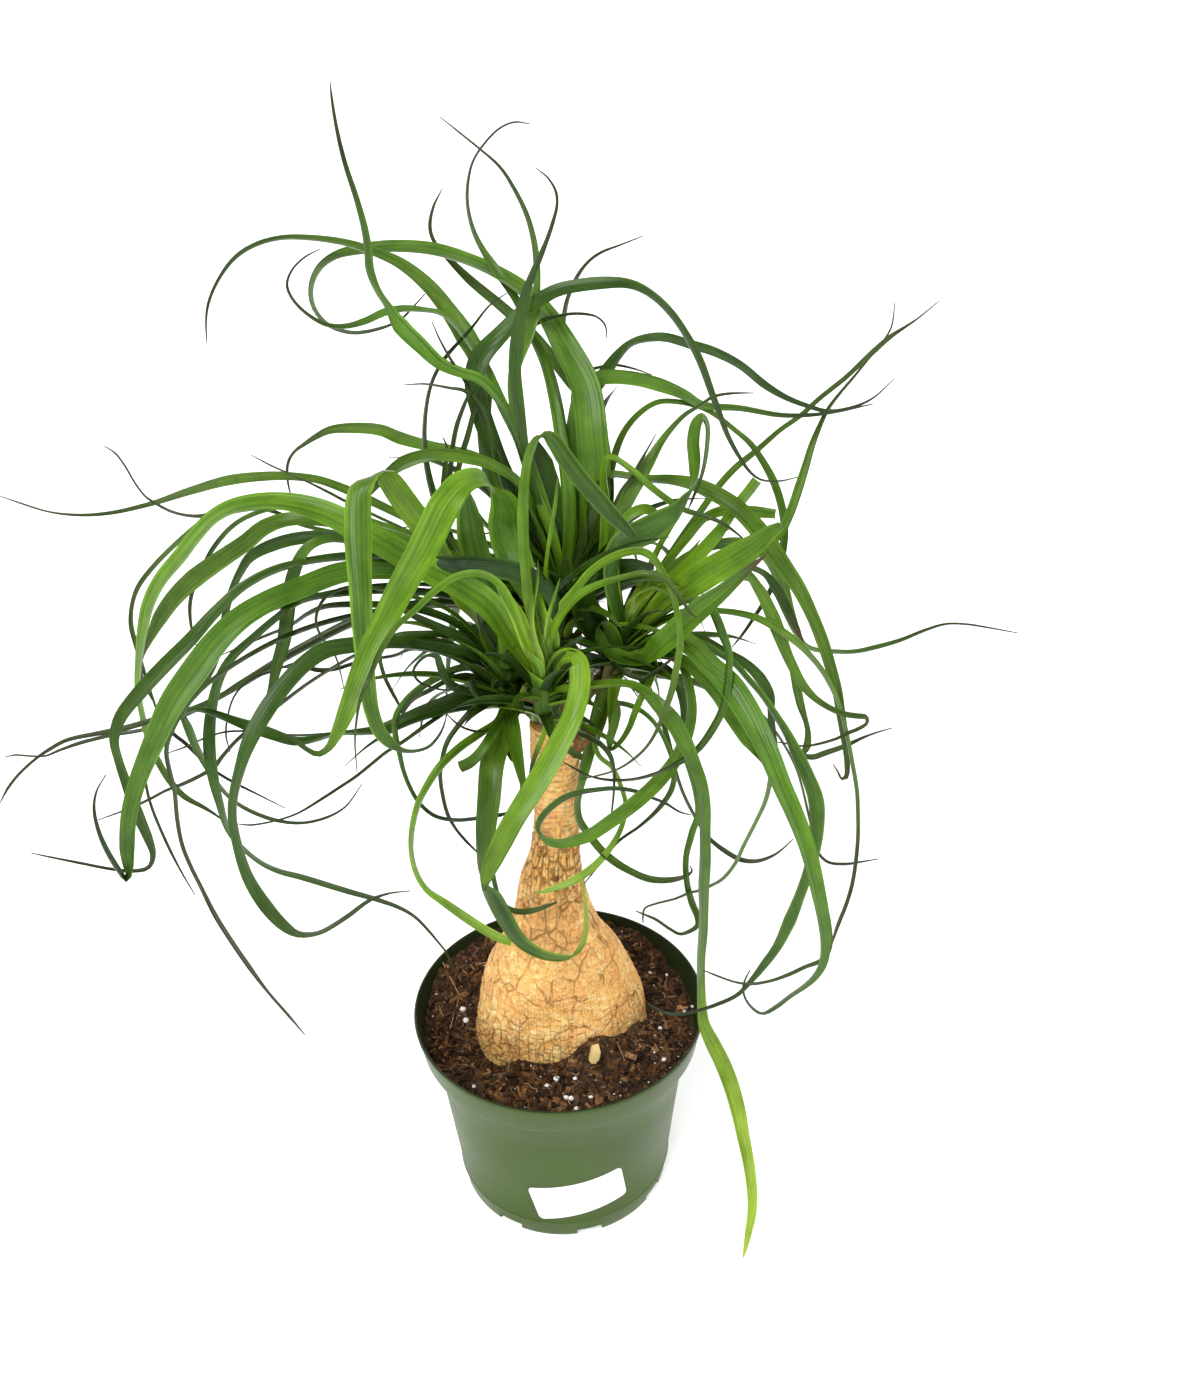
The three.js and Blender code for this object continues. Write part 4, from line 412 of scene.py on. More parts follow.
class Surface:
    """Builds one node material."""

    def __init__(self, name):
        self.material = bpy.data.materials.new(name)
        self.material.use_nodes = True
        self.tree = self.material.node_tree
        self.shader = self.tree.nodes["Principled BSDF"]

    def node(self, kind, **values):
        """A new node, with values for its sockets or its settings."""
        made = self.tree.nodes.new(kind)
        for key, value in values.items():
            if key in made.inputs:
                made.inputs[key].default_value = value
            else:
                setattr(made, key, value)
        return made

    def link(self, source, target):
        """Joins one node's output to another's socket."""
        self.tree.links.new(source, target)

    def set(self, **values):
        """Sets the shader's own sockets."""
        for key, value in values.items():
            self.shader.inputs[key.replace("_", " ")].default_value = value

    def ramp(self, source, *stops):
        """A ramp from stops of (place, shade of 0 to 255)."""
        made = self.node("ShaderNodeValToRGB")
        band = made.color_ramp
        while len(band.elements) < len(stops):
            band.elements.new(0.5)
        for element, (place, shade) in zip(band.elements, stops):
            element.position = place
            element.color = opaque(shade)
        self.link(source, made.inputs["Fac"])
        return made.outputs["Color"]

    def spans(self, source, low, high, to_low=0.0, to_high=1.0):
        """source stretched from low..high to to_low..to_high."""
        made = self.node("ShaderNodeMapRange")
        made.inputs["From Min"].default_value = low
        made.inputs["From Max"].default_value = high
        made.inputs["To Min"].default_value = to_low
        made.inputs["To Max"].default_value = to_high
        self.link(source, made.inputs["Value"])
        return made.outputs["Result"]

    def mixed(self, first, second, share=0.5, way="MIX"):
        """Two colours mixed. Each of first, second and share is a socket or a value."""
        made = self.node("ShaderNodeMix", data_type="RGBA", blend_type=way)
        for socket, value in ((0, share), (6, first), (7, second)):
            if isinstance(value, bpy.types.NodeSocket):
                self.link(value, made.inputs[socket])
            else:
                made.inputs[socket].default_value = value
        return made.outputs[2]

    def place(self, kind="Object", scale=(1.0, 1.0, 1.0)):
        """Texture places: of the object, or its UV layer, stretched."""
        source = self.node("ShaderNodeTexCoord")
        mapping = self.node("ShaderNodeMapping")
        mapping.inputs["Scale"].default_value = scale
        self.link(source.outputs[kind], mapping.inputs["Vector"])
        return mapping.outputs["Vector"]

    def noise(self, where, scale, detail=3.0, roughness=0.55):
        """A cloudy pattern of 0 to 1, with so many waves to a unit of its places."""
        made = self.node("ShaderNodeTexNoise")
        made.inputs["Scale"].default_value = scale
        made.inputs["Detail"].default_value = detail
        made.inputs["Roughness"].default_value = roughness
        self.link(where, made.inputs["Vector"])
        return made.outputs["Fac"]

    def maths(self, operation, first, second):
        """A sum on two sockets or values."""
        made = self.node("ShaderNodeMath", operation=operation)
        for socket, value in zip(made.inputs, (first, second)):
            if isinstance(value, bpy.types.NodeSocket):
                self.link(value, socket)
            else:
                socket.default_value = value
        return made.outputs[0]

    def parts(self):
        """The x, y and z of the object's places, in metres."""
        made = self.node("ShaderNodeSeparateXYZ")
        self.link(self.place("Object"), made.inputs[0])
        return made.outputs

    def wrapped(self, columns, height):
        """Places on an upright round thing, in cells: so many around, and each so high."""
        x, y, z = self.parts()
        turn = self.maths("ARCTAN2", x, self.maths("MULTIPLY", y, -1.0))
        made = self.node("ShaderNodeCombineXYZ")
        self.link(self.maths("DIVIDE", z, height), made.inputs[0])
        self.link(self.maths("MULTIPLY", turn, columns / (2 * math.pi)), made.inputs[1])
        return made.outputs[0]

    def shaken(self, where, scale, amount):
        """Places pushed about by a noise."""
        source = self.node("ShaderNodeTexNoise")
        source.inputs["Scale"].default_value = scale
        source.inputs["Detail"].default_value = 2.0
        self.link(self.place("Object"), source.inputs["Vector"])
        made = self.node("ShaderNodeVectorMath", operation="MULTIPLY_ADD")
        self.link(source.outputs["Color"], made.inputs[0])
        made.inputs[1].default_value = (amount, amount, amount)
        self.link(where, made.inputs[2])
        return made.outputs[0]

    def cell_lines(self, where, thickness):
        """Lines between cells of size 1 that are staggered like bricks."""
        made = self.node("ShaderNodeTexBrick")
        made.inputs["Scale"].default_value = 1.0
        made.inputs["Brick Width"].default_value = 1.0
        made.inputs["Row Height"].default_value = 1.0
        made.inputs["Mortar Size"].default_value = thickness
        made.inputs["Mortar Smooth"].default_value = 0.8
        self.link(where, made.inputs["Vector"])
        return made.outputs["Fac"]

    def tint(self):
        """The colour that the mesh carries at its points."""
        return self.node("ShaderNodeVertexColor", layer_name="tint").outputs["Color"]

    def bump(self, height, strength, distance):
        """Relief from a height, without moving the surface."""
        made = self.node("ShaderNodeBump")
        made.inputs["Strength"].default_value = strength
        made.inputs["Distance"].default_value = distance
        self.link(height, made.inputs["Height"])
        self.link(made.outputs["Normal"], self.shader.inputs["Normal"])


def leaf_material():
    """Strap leaves: streaks along the blade, partly veins and partly painted highlight, over each leaf's
    own colour, with a satin gloss.
    """
    surface = Surface("leaf")
    ribs = surface.noise(surface.place("UV", (1.0, 0.0014, 1.0)), 5.0, 1.0)
    fine = surface.noise(surface.place("UV", (1.0, 0.0014, 1.0)), 26.0, 2.0)
    broad = surface.noise(surface.place("UV", (0.5, 0.03, 1.0)), 2.2, 2.0)
    # The streaks and fine lines are partly veins and partly painted highlight along the ridges.
    vein_and_highlight_streak = surface.ramp(ribs, (0.32, (196, 206, 184)), (0.5, (236, 240, 230)), (0.66, (255, 255, 255)))
    line = surface.ramp(fine, (0.35, (220, 228, 214)), (0.65, (255, 255, 255)))
    cloud = surface.ramp(broad, (0.3, (204, 214, 200)), (0.7, (255, 255, 255)))
    veined = surface.mixed(surface.tint(), vein_and_highlight_streak, 1.0, "MULTIPLY")
    lined = surface.mixed(veined, line, 1.0, "MULTIPLY")
    clouded = surface.mixed(lined, cloud, 1.0, "MULTIPLY")
    surface.link(clouded, surface.shader.inputs["Base Color"])
    surface.link(surface.spans(broad, 0.3, 0.7, 0.3, 0.42), surface.shader.inputs["Roughness"])
    surface.set(Specular_IOR_Level=0.24)
    surface.bump(ribs, 0.4, 0.0012)
    return surface.material


def bark_material():
    """Corky bark: coloured point by point, cracked into squares, plates and upright fissures."""
    surface = Surface("bark")
    where = surface.place("Object")
    height = surface.parts()[2]
    patches = surface.noise(where, 55.0, 4.0)
    grain = surface.noise(where, 460.0, 5.0, 0.7)
    coming = surface.spans(surface.noise(where, 75.0, 2.0), 0.4, 0.56)
    going = surface.spans(surface.noise(where, 48.0, 2.0), 0.36, 0.5)
    low = surface.spans(height, 0.16, 0.12, 0.15, 1.0)
    middle = surface.maths("POWER", surface.spans(height, 0.12, 0.226), 2.4)
    below_neck = surface.spans(height, 0.266, 0.244)
    squares = surface.cell_lines(surface.shaken(surface.wrapped(104, 0.003), 150.0, 2.2), 0.1)
    plates = surface.cell_lines(surface.shaken(surface.wrapped(44, 0.0085), 80.0, 1.5), 0.045)
    fissures = surface.cell_lines(surface.shaken(surface.wrapped(38, 0.012), 110.0, 1.4), 0.09)
    weak = surface.maths("MULTIPLY", surface.maths("MULTIPLY", squares, coming), 0.5)
    strong = surface.maths("MULTIPLY", surface.maths("MULTIPLY", plates, going), low)
    upright = surface.maths("MULTIPLY", surface.maths("MULTIPLY", fissures, middle), 0.8)
    lines = surface.maths("MAXIMUM", surface.maths("MAXIMUM", weak, upright), strong)
    lines = surface.maths("MULTIPLY", lines, below_neck)
    warm = surface.ramp(patches, (0.32, (240, 222, 200)), (0.5, (252, 246, 238)), (0.7, (255, 255, 250)))
    specks = surface.ramp(grain, (0.32, (196, 164, 122)), (0.48, (246, 240, 230)), (0.66, (255, 255, 255)))
    shaded = surface.mixed(surface.tint(), warm, 1.0, "MULTIPLY")
    lined = surface.mixed(shaded, opaque((112, 70, 30)), lines)
    specked = surface.mixed(lined, specks, 0.8, "MULTIPLY")
    surface.link(specked, surface.shader.inputs["Base Color"])
    surface.set(Roughness=0.75, Specular_IOR_Level=0.3)
    relief = surface.maths("SUBTRACT", grain, surface.maths("MULTIPLY", lines, 0.8))
    surface.bump(relief, 0.5, 0.0009)
    return surface.material


def mix_material(name, roughness, strength):
    """Potting mix and its bark bits: coloured point by point, with a rough grain."""
    surface = Surface(name)
    where = surface.place("Object")
    grain = surface.noise(where, 700.0, 5.0, 0.7)
    specks = surface.ramp(grain, (0.32, (120, 110, 104)), (0.5, (220, 214, 208)), (0.68, (255, 255, 255)))
    specked = surface.mixed(surface.tint(), specks, 1.0, "MULTIPLY")
    surface.link(specked, surface.shader.inputs["Base Color"])
    surface.set(Roughness=roughness, Specular_IOR_Level=0.2)
    surface.bump(grain, strength, 0.0012)
    return surface.material


def plastic_material():
    """Satin green nursery plastic with a faint mottle and turning marks."""
    surface = Surface("pot_plastic")
    where = surface.place("Object")
    mottle = surface.noise(where, 26.0, 3.0)
    marks = surface.noise(surface.place("Object", (0.15, 0.15, 6.0)), 160.0, 2.0)
    cloudy = surface.ramp(mottle, (0.35, (236, 236, 230)), (0.65, (255, 255, 255)))
    worn = surface.ramp(marks, (0.3, (238, 238, 238)), (0.7, (255, 255, 255)))
    green = surface.mixed(surface.tint(), cloudy, 1.0, "MULTIPLY")
    surface.link(surface.mixed(green, worn, 0.8, "MULTIPLY"), surface.shader.inputs["Base Color"])
    surface.link(surface.spans(mottle, 0.3, 0.7, 0.34, 0.44), surface.shader.inputs["Roughness"])
    surface.set(Specular_IOR_Level=0.28)
    surface.bump(marks, 0.12, 0.0003)
    return surface.material


def plain_material(name, shade, roughness, grain=300.0, strength=0.1):
    """One shade with a fine grain."""
    surface = Surface(name)
    where = surface.place("Object")
    fine = surface.noise(where, grain, 3.0)
    dimmer = tuple(int(0.93 * part) for part in shade)
    surface.link(surface.ramp(fine, (0.3, dimmer), (0.7, shade)), surface.shader.inputs["Base Color"])
    surface.set(Roughness=roughness)
    surface.bump(fine, strength, 0.0003)
    return surface.material


blades = {name: [] for name in SHOOTS}
chance = random.Random(LEAF_SEED)


def sight_to(px, py):
    """The direction from the eye to a place in the view."""
    return AHEAD + RIGHT * (px - VIEW_WIDTH / 2) / FOCAL - UP * (py - VIEW_HEIGHT / 2) / FOCAL


def seen_at(px, py, depth):
    """The point seen at a place in the view, at a depth behind the trunk's middle."""
    sight = sight_to(px, py)
    return EYE + sight * (depth - EYE[1]) / sight[1]


def smooth_course(points, fineness=COURSE_FINENESS):
    """A smooth curve through points, with the number of samples that each stretch gets."""
    row = np.vstack([2 * points[0] - points[1], points, 2 * points[-1] - points[-2]])
    knots = np.sqrt(np.maximum(np.linalg.norm(np.diff(row, axis=0), axis=1), 1e-6))
    share = np.arange(fineness)[:, None] / fineness
    pieces = []
    for i in range(len(points) - 1):
        p0, p1, p2, p3 = row[i : i + 4]
        k0, k1, k2 = knots[i : i + 3]
        start = k1 * ((p1 - p0) / k0 - (p2 - p0) / (k0 + k1)) + (p2 - p1)
        end = k1 * ((p3 - p2) / k2 - (p3 - p1) / (k1 + k2)) + (p2 - p1)
        cubic = 2 * (p1 - p2) + start + end
        square = 3 * (p2 - p1) - 2 * start - end
        pieces.append(cubic * share**3 + square * share**2 + start * share + p1)
    pieces.append(points[-1:])
    return np.vstack(pieces)


def leaf(shoot, wide, deep, seen, tone=MID):
    """One leaf. seen lists [px, py] or [px, py, seen width] from its base to its tip, and deep
    the depths at even steps of the course. Where a leaf turns over, the widths that show its
    underside are below 0."""
    places = np.array([point[:2] for point in seen], float)
    walked = lengths_along(places)
    depths = np.interp(walked / walked[-1], np.linspace(0, 1, len(deep)), deep)
    points = np.array([seen_at(px, py, depth) for (px, py), depth in zip(places, depths)])
    widths = []
    for i, point in enumerate(seen):
        if len(point) > 2:
            distance = (points[i] - EYE) @ AHEAD
            gain = 1 + BROAD_GAIN * float(smoothstep(abs(point[2]), 6, 12))
            widths.append((i + 1, gain * point[2] * distance / FOCAL))
    root = np.array(SHOOTS[shoot][0], float)
    root[2] += np.clip((points[0][2] - root[2]) * 0.25, -7, 9)
    root += ROOT_SINK * unit(points[0] - root)
    blades[shoot].append(make_blade(np.vstack([root, points]), widths, wide, tone))


def make_blade(points, widths, wide, tone, fine=FINE):
    """The points, colours and surface places of one blade, ring by ring."""
    course = smooth_course(points)
    walked = lengths_along(course)
    length = walked[-1]
    places = np.linspace(0, 1, fine + 1)
    distance = places * length
    middle = np.stack([np.interp(distance, walked, course[:, k]) for k in range(3)], -1)
    natural = wide * np.maximum(1 - places ** (2.6 if widths else 1.8), 0.05)
    if widths:
        marks = np.array([walked[index * COURSE_FINENESS] / length for index, _ in widths])
        seen_width = np.interp(places, marks, [width for _, width in widths])
        first = marks[0]
        rooted = first
    else:
        seen_width = natural
        first = 1.0
        rooted = 2.0
    full = np.maximum(natural, np.where(places < first, 0.0, np.abs(seen_width)))
    full = np.maximum(full, LEAST_WIDTH)
    facing = np.clip(seen_width / full, -1.0, 1.0)
    facing = np.where(np.abs(facing) < LEAST_FACING, np.copysign(LEAST_FACING, facing), facing)
    sides, above = blade_sides(points[0], middle, facing, first, rooted)
    rings = blade_rings(middle, sides, above, full, distance)
    tint = blade_tint(tone, full, places, distance, bool(widths))
    return rings, tint, blade_spread(wide, distance)


def square_to(directions, ahead):
    """Directions turned square to the way ahead."""
    return unit(directions - np.sum(directions * ahead, 1)[:, None] * ahead)


def blade_sides(root, middle, facing, first, rooted):
    """The directions across a blade and out of its upper face, at each ring. facing is the share
    of its width that the view shows, below 0 for the underside. The view shows it from the place
    first on, and up to the place rooted it turns out of the way that it has at its root."""
    fine = len(middle) - 1
    places = np.linspace(0, 1, fine + 1)
    ahead = unit(np.gradient(middle, axis=0))
    sight = unit(middle - EYE)
    across = unit(np.cross(ahead, sight))
    for i in range(1, fine + 1):
        if across[i] @ across[i - 1] < 0:
            across[i] *= -1
    edge_on = np.cross(across, ahead)
    level = unit(np.cross(ahead, [0.0, 0.0, 1.0]))
    lean = 1.0 if np.sum(np.sum(level * across, 1) * np.sum(level * edge_on, 1)) >= 0 else -1.0
    roll = np.arccos(facing) * lean
    sides = np.cos(roll)[:, None] * across + np.sin(roll)[:, None] * edge_on

    # Near its root a leaf lies square to the way it leaves the shoot.
    leaving = middle[round(fine * min(first, 0.3))] - root
    root_side = unit(np.array([leaving[1], -leaving[0], 0.0]))
    if root_side @ sides[round(fine * first)] < 0:
        root_side = -root_side
    hidden = 1 - smoothstep(places, rooted * 0.5, rooted)
    sides = square_to(sides * (1 - hidden[:, None]) + root_side * hidden[:, None], ahead)
    for _ in range(3):
        even = sides.copy()
        even[1:-1] = sides[:-2] + 2 * sides[1:-1] + sides[2:]
        sides = square_to(even, ahead)
    above = np.cross(ahead, sides)
    if np.min(facing) < 0:
        upside_down = np.sum(facing * np.sum(above * sight, 1)) > 0
    else:
        upside_down = above[round(fine / 5)][2] < 0
    return (-sides, -above) if upside_down else (sides, above)


def blade_rings(middle, sides, above, full, distance):
    """The points of a blade: a shallow channel, deeper at its clasping root and a little
    rippled at its edges."""
    width = full * (1 - 0.25 * (1 - smoothstep(distance, 0, 30)))
    depth = width * (0.15 + 0.16 * (1 - smoothstep(distance, 5, 70)))
    thick = BLADE_THICKNESS * np.clip(width / 4, 0.5, 1.2)
    turns = chance.uniform(0, 6)
    rings = np.empty((len(middle), len(SECTION), 3))
    for k, u in enumerate(SECTION):
        sag = -depth * (1 - abs(u) ** 1.6)
        if k >= len(UPPER):
            sag = sag - thick
        ripple = 0.02 * width * u * np.sin(distance / 17 + turns + 2 * u)
        rings[:, k] = middle + sides * (u * width / 2)[:, None] + above * (sag + ripple)[:, None]
    return rings


def blade_tint(tone, full, places, distance, seen):
    """The colours of a blade. Each has a lightness of its own and changes from its root to its
    tip. Of the seen ones, the thin ends are duller, and some tips are brown."""
    base, body, tip = (linear(*shade) for shade in tone)
    own = chance.uniform(0.92, 1.16)
    warm = chance.uniform(-0.05, 0.05)
    towards_body = smoothstep(distance, 4, 60)[:, None]
    towards_tip = smoothstep(places, 0.5, 1.0)[:, None]
    shade = base * (1 - towards_body) + body * towards_body
    shade = shade * (1 - towards_tip) + tip * towards_tip
    shade = shade * own * np.array([1 + warm, 1.0, 1 - warm])
    if seen and tone not in (YOUNG, RIPENING, FADING):
        dull = 0.85 * ((1 - smoothstep(full, 1.4, 5.5)) * smoothstep(places, 0.3, 0.7))[:, None]
        shade = shade * (1 - dull) + linear(*THIN_END) * dull
    if seen and full[-1] < 1.4 and tone in (MID, DEEP, DULL) and chance.random() < 0.45:
        browned = 0.8 * smoothstep(distance - distance[-1], -24, -3)[:, None]
        shade = shade * (1 - browned) + linear(*BROWN_TIP) * browned
    tint = np.repeat(shade[:, None, :], len(SECTION), axis=1)
    edge = np.abs(UPPER)
    tint[:, : len(UPPER)] *= (0.9 + 0.12 * edge**2 + 0.2 * edge**12)[None, :, None]
    # Painted shade: the underside is made darker and bluer.
    tint[:, len(UPPER) :] *= SHADED_UNDERSIDE
    return tint


def blade_spread(wide, distance):
    """Places on a blade's surface, across it and along it, which its veins follow."""
    own_place = chance.uniform(0, 40)
    spread = np.empty((len(distance), len(SECTION), 2))
    spread[..., 0] = own_place + 0.5 * (SECTION + 1) * np.clip(wide / 9, 0.4, 1.6)
    spread[..., 1] = (distance + own_place * 9)[:, None]
    return spread


def make_shoot(name, material):
    """One shoot: its leaves, its growing point and its stem, as one piece."""
    points = []
    tints = []
    spreads = []
    faces = []
    caps = []
    first = 0
    sides = len(SECTION)
    for rings, shade, spread in blades[name]:
        points.append(rings.reshape(-1, 3))
        tints.append(shade.reshape(-1, 3))
        spreads.append(spread.reshape(-1, 2))
        faces.append(tube_faces(len(rings), sides, first))
        caps.append(cap_faces(len(rings), sides, first))
        first += len(rings) * sides
    core, stand = SHOOTS[name]
    for solid_points, solid_faces, shade in heart(core) + stem(core, stand):
        points.append(solid_points)
        tints.append(np.broadcast_to(linear(*shade), solid_points.shape))
        spreads.append(solid_points[:, [0, 2]])
        faces.append(solid_faces + first)
        first += len(solid_points)
    piece = make_piece(
        "shoot_" + name,
        np.vstack(points),
        faces + caps,
        np.vstack(tints),
        np.vstack(spreads),
        50,
    )
    return finish_piece(piece, material, "leaf", "leaves_" + name)


def heart(core):
    """The slim growing point inside the leaf bases."""
    polar = np.linspace(0.02, math.pi - 0.02, HEART_ROWS)[:, None]
    turn = np.linspace(0, 2 * math.pi, STEM_SIDES, endpoint=False)[None, :]
    rib = 1 + 0.05 * np.cos(5 * turn + 3 * polar)
    radius = HEART_RADIUS * rib * np.sin(polar)
    height = np.broadcast_to(-HEART_HEIGHT * np.cos(polar), radius.shape)
    points = np.stack([radius * np.cos(turn), radius * np.sin(turn), height], -1).reshape(-1, 3)
    return [(points + np.array(core), tube_faces(HEART_ROWS, STEM_SIDES), HEART_SHADE)]


def stem_course(core, stand, share):
    """The middle of a shoot's stem, at shares of the way from the trunk to the growing point."""
    share = np.reshape(share, (-1, 1))
    low = np.array([stand[0], stand[1], TRUNK_TOP + 0.3])
    knee = np.array([stand[0], stand[1], TRUNK_TOP + 6])
    high = np.array([core[0], core[1], core[2] - 6.0])
    return low * (1 - share) ** 2 + 2 * knee * share * (1 - share) + high * share**2


def stem(core, stand):
    """The short stem from the trunk's top to the growing point, ringed with old leaf scars."""
    share = np.linspace(0, 1, STEM_ROWS)[:, None]
    middle = stem_course(core, stand, share)
    radius = STEM_RADIUS + (HEART_RADIUS - 0.5 - STEM_RADIUS) * share
    radius = radius * (1 + 0.05 * np.sin(share * 40))
    turn = np.linspace(0, 2 * math.pi, STEM_SIDES, endpoint=False)[None, :]
    points = np.empty((STEM_ROWS, STEM_SIDES, 3))
    points[..., 0] = middle[:, :1] + radius * np.cos(turn)
    points[..., 1] = middle[:, 1:2] + radius * np.sin(turn)
    points[..., 2] = middle[:, 2:]
    return [(points.reshape(-1, 3), tube_faces(STEM_ROWS, STEM_SIDES), STEM_SHADE)]


def add_inner_leaves():
    """Shorter leaves fill each shoot's inside, from drooping ones low down to upright ones."""
    for shoot, (count, shortest, longest) in INNER_LEAVES.items():
        core = np.array(SHOOTS[shoot][0], float)
        for i in range(count):
            share = (i + 0.5) / count
            turn = math.radians(GOLDEN_TURN * i + chance.uniform(-12, 12))
            climb = math.radians(-12 + 84 * share**0.8 + chance.uniform(-8, 8))
            bend = math.radians(chance.uniform(45, 105))
            length = chance.uniform(shortest, longest)
            ahead = np.array([math.cos(turn), math.sin(turn), 0.0])
            if ahead[1] < 0:
                length = length * (1 + 0.4 * ahead[1])
                bend = bend * (1 + 0.5 * ahead[1])
            aside = np.array([-ahead[1], ahead[0], 0.0]) * chance.uniform(-0.25, 0.25)
            spot = core + np.array([0.0, 0.0, -10 + 14 * share])
            points = [spot]
            for step in range(INNER_STEPS):
                part = (step + 0.5) / INNER_STEPS
                rise = climb - bend * part**1.5
                way = ahead * math.cos(rise) + np.array([0.0, 0.0, math.sin(rise)]) + aside * part
                spot = spot + unit(way) * length / INNER_STEPS
                points.append(spot)
            tone = chance.choices((DEEP, MID, BRIGHT), (6, 3, 1))[0]
            wide = chance.uniform(7, 11)
            blades[shoot].append(make_blade(np.array(points), [], wide, tone, INNER_FINE))


def add_sheaths():
    """Old pointed leaf bases wrap the stems."""
    for shoot, (core, stand) in SHOOTS.items():
        for i in range(SHEATHS):
            share = 0.12 + 0.8 * (i + 0.5) / SHEATHS
            turn = math.radians(GOLDEN_TURN * i + chance.uniform(-15, 15))
            ahead = np.array([math.cos(turn), math.sin(turn), 0.0])
            spot = stem_course(core, stand, share)[0] + ahead * (STEM_RADIUS + HEART_RADIUS) * 0.4
            length = chance.uniform(16, 30)
            flare = chance.uniform(0.25, 0.8)
            points = [spot]
            for out, up in ((0.1, 0.3), (0.28, 0.62), (0.55, 0.86), (1.0, 1.0)):
                points.append(spot + length * (ahead * out * flare + np.array([0.0, 0.0, up * 0.8])))
            tone = chance.choices((SHEATH, DEEP, YOUNG), (4, 3, 2))[0]
            wide = chance.uniform(6, 10)
            blades[shoot].append(make_blade(np.array(points), [], wide, tone, SHEATH_FINE))


# The leaves that the view shows, each from its base to its tip.

# Tall spike at the upper left
leaf("back", 9, [31, 44, 67, 95], [
    [556, 545], [535, 490], [515, 430], [500, 400], [480, 379], [460, 372, 10], [440, 363, 12],
    [420, 345, 15], [400, 325, 16], [388, 305, 6], [378, 290, 6], [370, 270, 9], [368, 250, 8],
    [365, 230, 7], [357, 200, 6], [345, 163, 5], [337, 130, 4], [332, 100, 3], [330, 81, 1]], LOWERED)
# Long arch at the far upper left
leaf("back", 11, [34, 60, 110, 140, 130], [
    [545, 565], [515, 520], [492, 480], [484, 440, 12], [484, 410, 13], [484, 385, 15], [478, 358, 18],
    [465, 335, 20], [450, 312, 16], [428, 285, 14], [400, 263, 11], [370, 250, 8], [345, 242, 6],
    [310, 237, 5], [280, 237, 4], [255, 244, 4], [235, 257, 4], [218, 280, 3], [208, 305, 3],
    [206, 325, 2], [207, 344, 1]], LOWERED)
# Broad upright leaf that ends in a loop at the upper left
leaf("back", 15, [34, 50, 90, 140, 150, 130], [
    [590, 570, 22], [594, 520, 27], [595, 474, 30], [592, 434, 30], [585, 385, 28], [565, 345, 25],
    [545, 312, 18], [525, 290, 14], [500, 273, 12], [470, 259, 11], [430, 248, 12], [390, 246, 11],
    [360, 249, 10], [335, 255, 7], [318, 268, 6], [310, 288, 4], [313, 308, 4], [327, 325, 3],
    [350, 333, 3], [375, 330, 3], [400, 320, 2], [413, 307, 2], [425, 294, 1]], LOWERED)
# Loop inside it
leaf("back", 8, [39, 66, 95, 102], [
    [548, 520], [520, 440], [500, 400], [485, 365], [467, 337], [450, 318], [438, 311, 4], [425, 309, 4],
    [405, 308, 6], [385, 312, 8], [365, 321, 7], [345, 326, 5], [325, 324, 4], [305, 312, 3],
    [292, 298, 3], [287, 285, 3], [292, 270, 2], [305, 257, 2], [320, 249, 1]], LOWERED)
# Arch over the top to the right
leaf("back", 10, [34, 52, 75, 70, 55, 45], [
    [550, 560], [520, 500], [495, 450], [480, 410], [474, 380, 18], [480, 358, 20], [500, 335, 16],
    [525, 310, 14], [545, 296, 13], [560, 289, 12], [600, 283, 12], [630, 284, 9], [650, 293, 7],
    [670, 311, 7], [687, 335, 7], [700, 360, 8], [712, 393, 7], [720, 415, 6], [728, 436, 5],
    [740, 458, 4], [752, 474, 3], [762, 480, 2], [780, 481, 2], [798, 477, 1]], DEEP)
# Spike up the middle
leaf("back", 7, [36, 60, 90, 110], [
    [548, 530], [528, 460], [515, 410], [514, 372], [528, 335, 11], [535, 310, 10], [537, 290, 7],
    [537, 265, 7], [534, 240, 6], [527, 215, 5], [515, 190, 4], [500, 167, 3], [480, 149, 2],
    [460, 133, 2], [440, 117, 1]], LOWERED)
# Hooked spike
leaf("back", 7, [38, 80, 120, 150], [
    [570, 520], [562, 440], [548, 370], [530, 330], [518, 303, 8], [508, 287, 8], [495, 268, 9],
    [482, 248, 6], [473, 228, 4], [468, 205, 3], [468, 185, 3], [473, 162, 2], [485, 143, 2],
    [500, 128, 2], [515, 122, 2], [530, 124, 1]], LOWERED)
# Short hooked spike
leaf("back", 8, [32, 38, 42, 48], [
    [550, 540], [530, 470], [520, 410], [515, 370, 12], [517, 345, 14], [520, 320, 12], [525, 295, 9],
    [532, 275, 7], [540, 257, 6], [547, 240, 4], [553, 222, 4], [557, 205, 3], [556, 192, 3],
    [548, 178, 2], [536, 168, 1]], DEEP)
# Spike left of the middle
leaf("back", 8, [46, 100, 135, 160], [
    [603, 520], [603, 450], [590, 405], [570, 380], [550, 355], [528, 330, 11], [500, 305, 10],
    [470, 280, 9], [448, 258, 6], [435, 243, 4], [430, 228, 4], [433, 208, 3], [442, 189, 1]])
# Thin leaf up behind the top
leaf("back", 7, [40, 100, 160, 190], [
    [600, 500], [596, 430], [585, 370], [563, 337, 6], [564, 315, 5], [568, 297, 4], [578, 275, 4],
    [588, 262, 3], [600, 253, 3], [620, 245, 2], [643, 236, 1]], DULL)
# Curl under the top arch
leaf("back", 6, [38, 75, 95], [
    [570, 500], [558, 420], [540, 350], [530, 330, 6], [540, 322, 4], [555, 317, 3], [570, 314, 3],
    [585, 314, 3], [597, 317, 2], [605, 325, 2], [607, 339, 1]])
# Thin upright at the left
leaf("back", 6, [33, 50, 66, 82], [
    [535, 588], [485, 568], [450, 545, 9], [437, 505, 8], [428, 470, 6], [425, 440, 4], [427, 405, 3],
    [433, 380, 3], [445, 358, 4], [470, 330, 3], [490, 305, 2], [507, 293, 1]], DEEP)
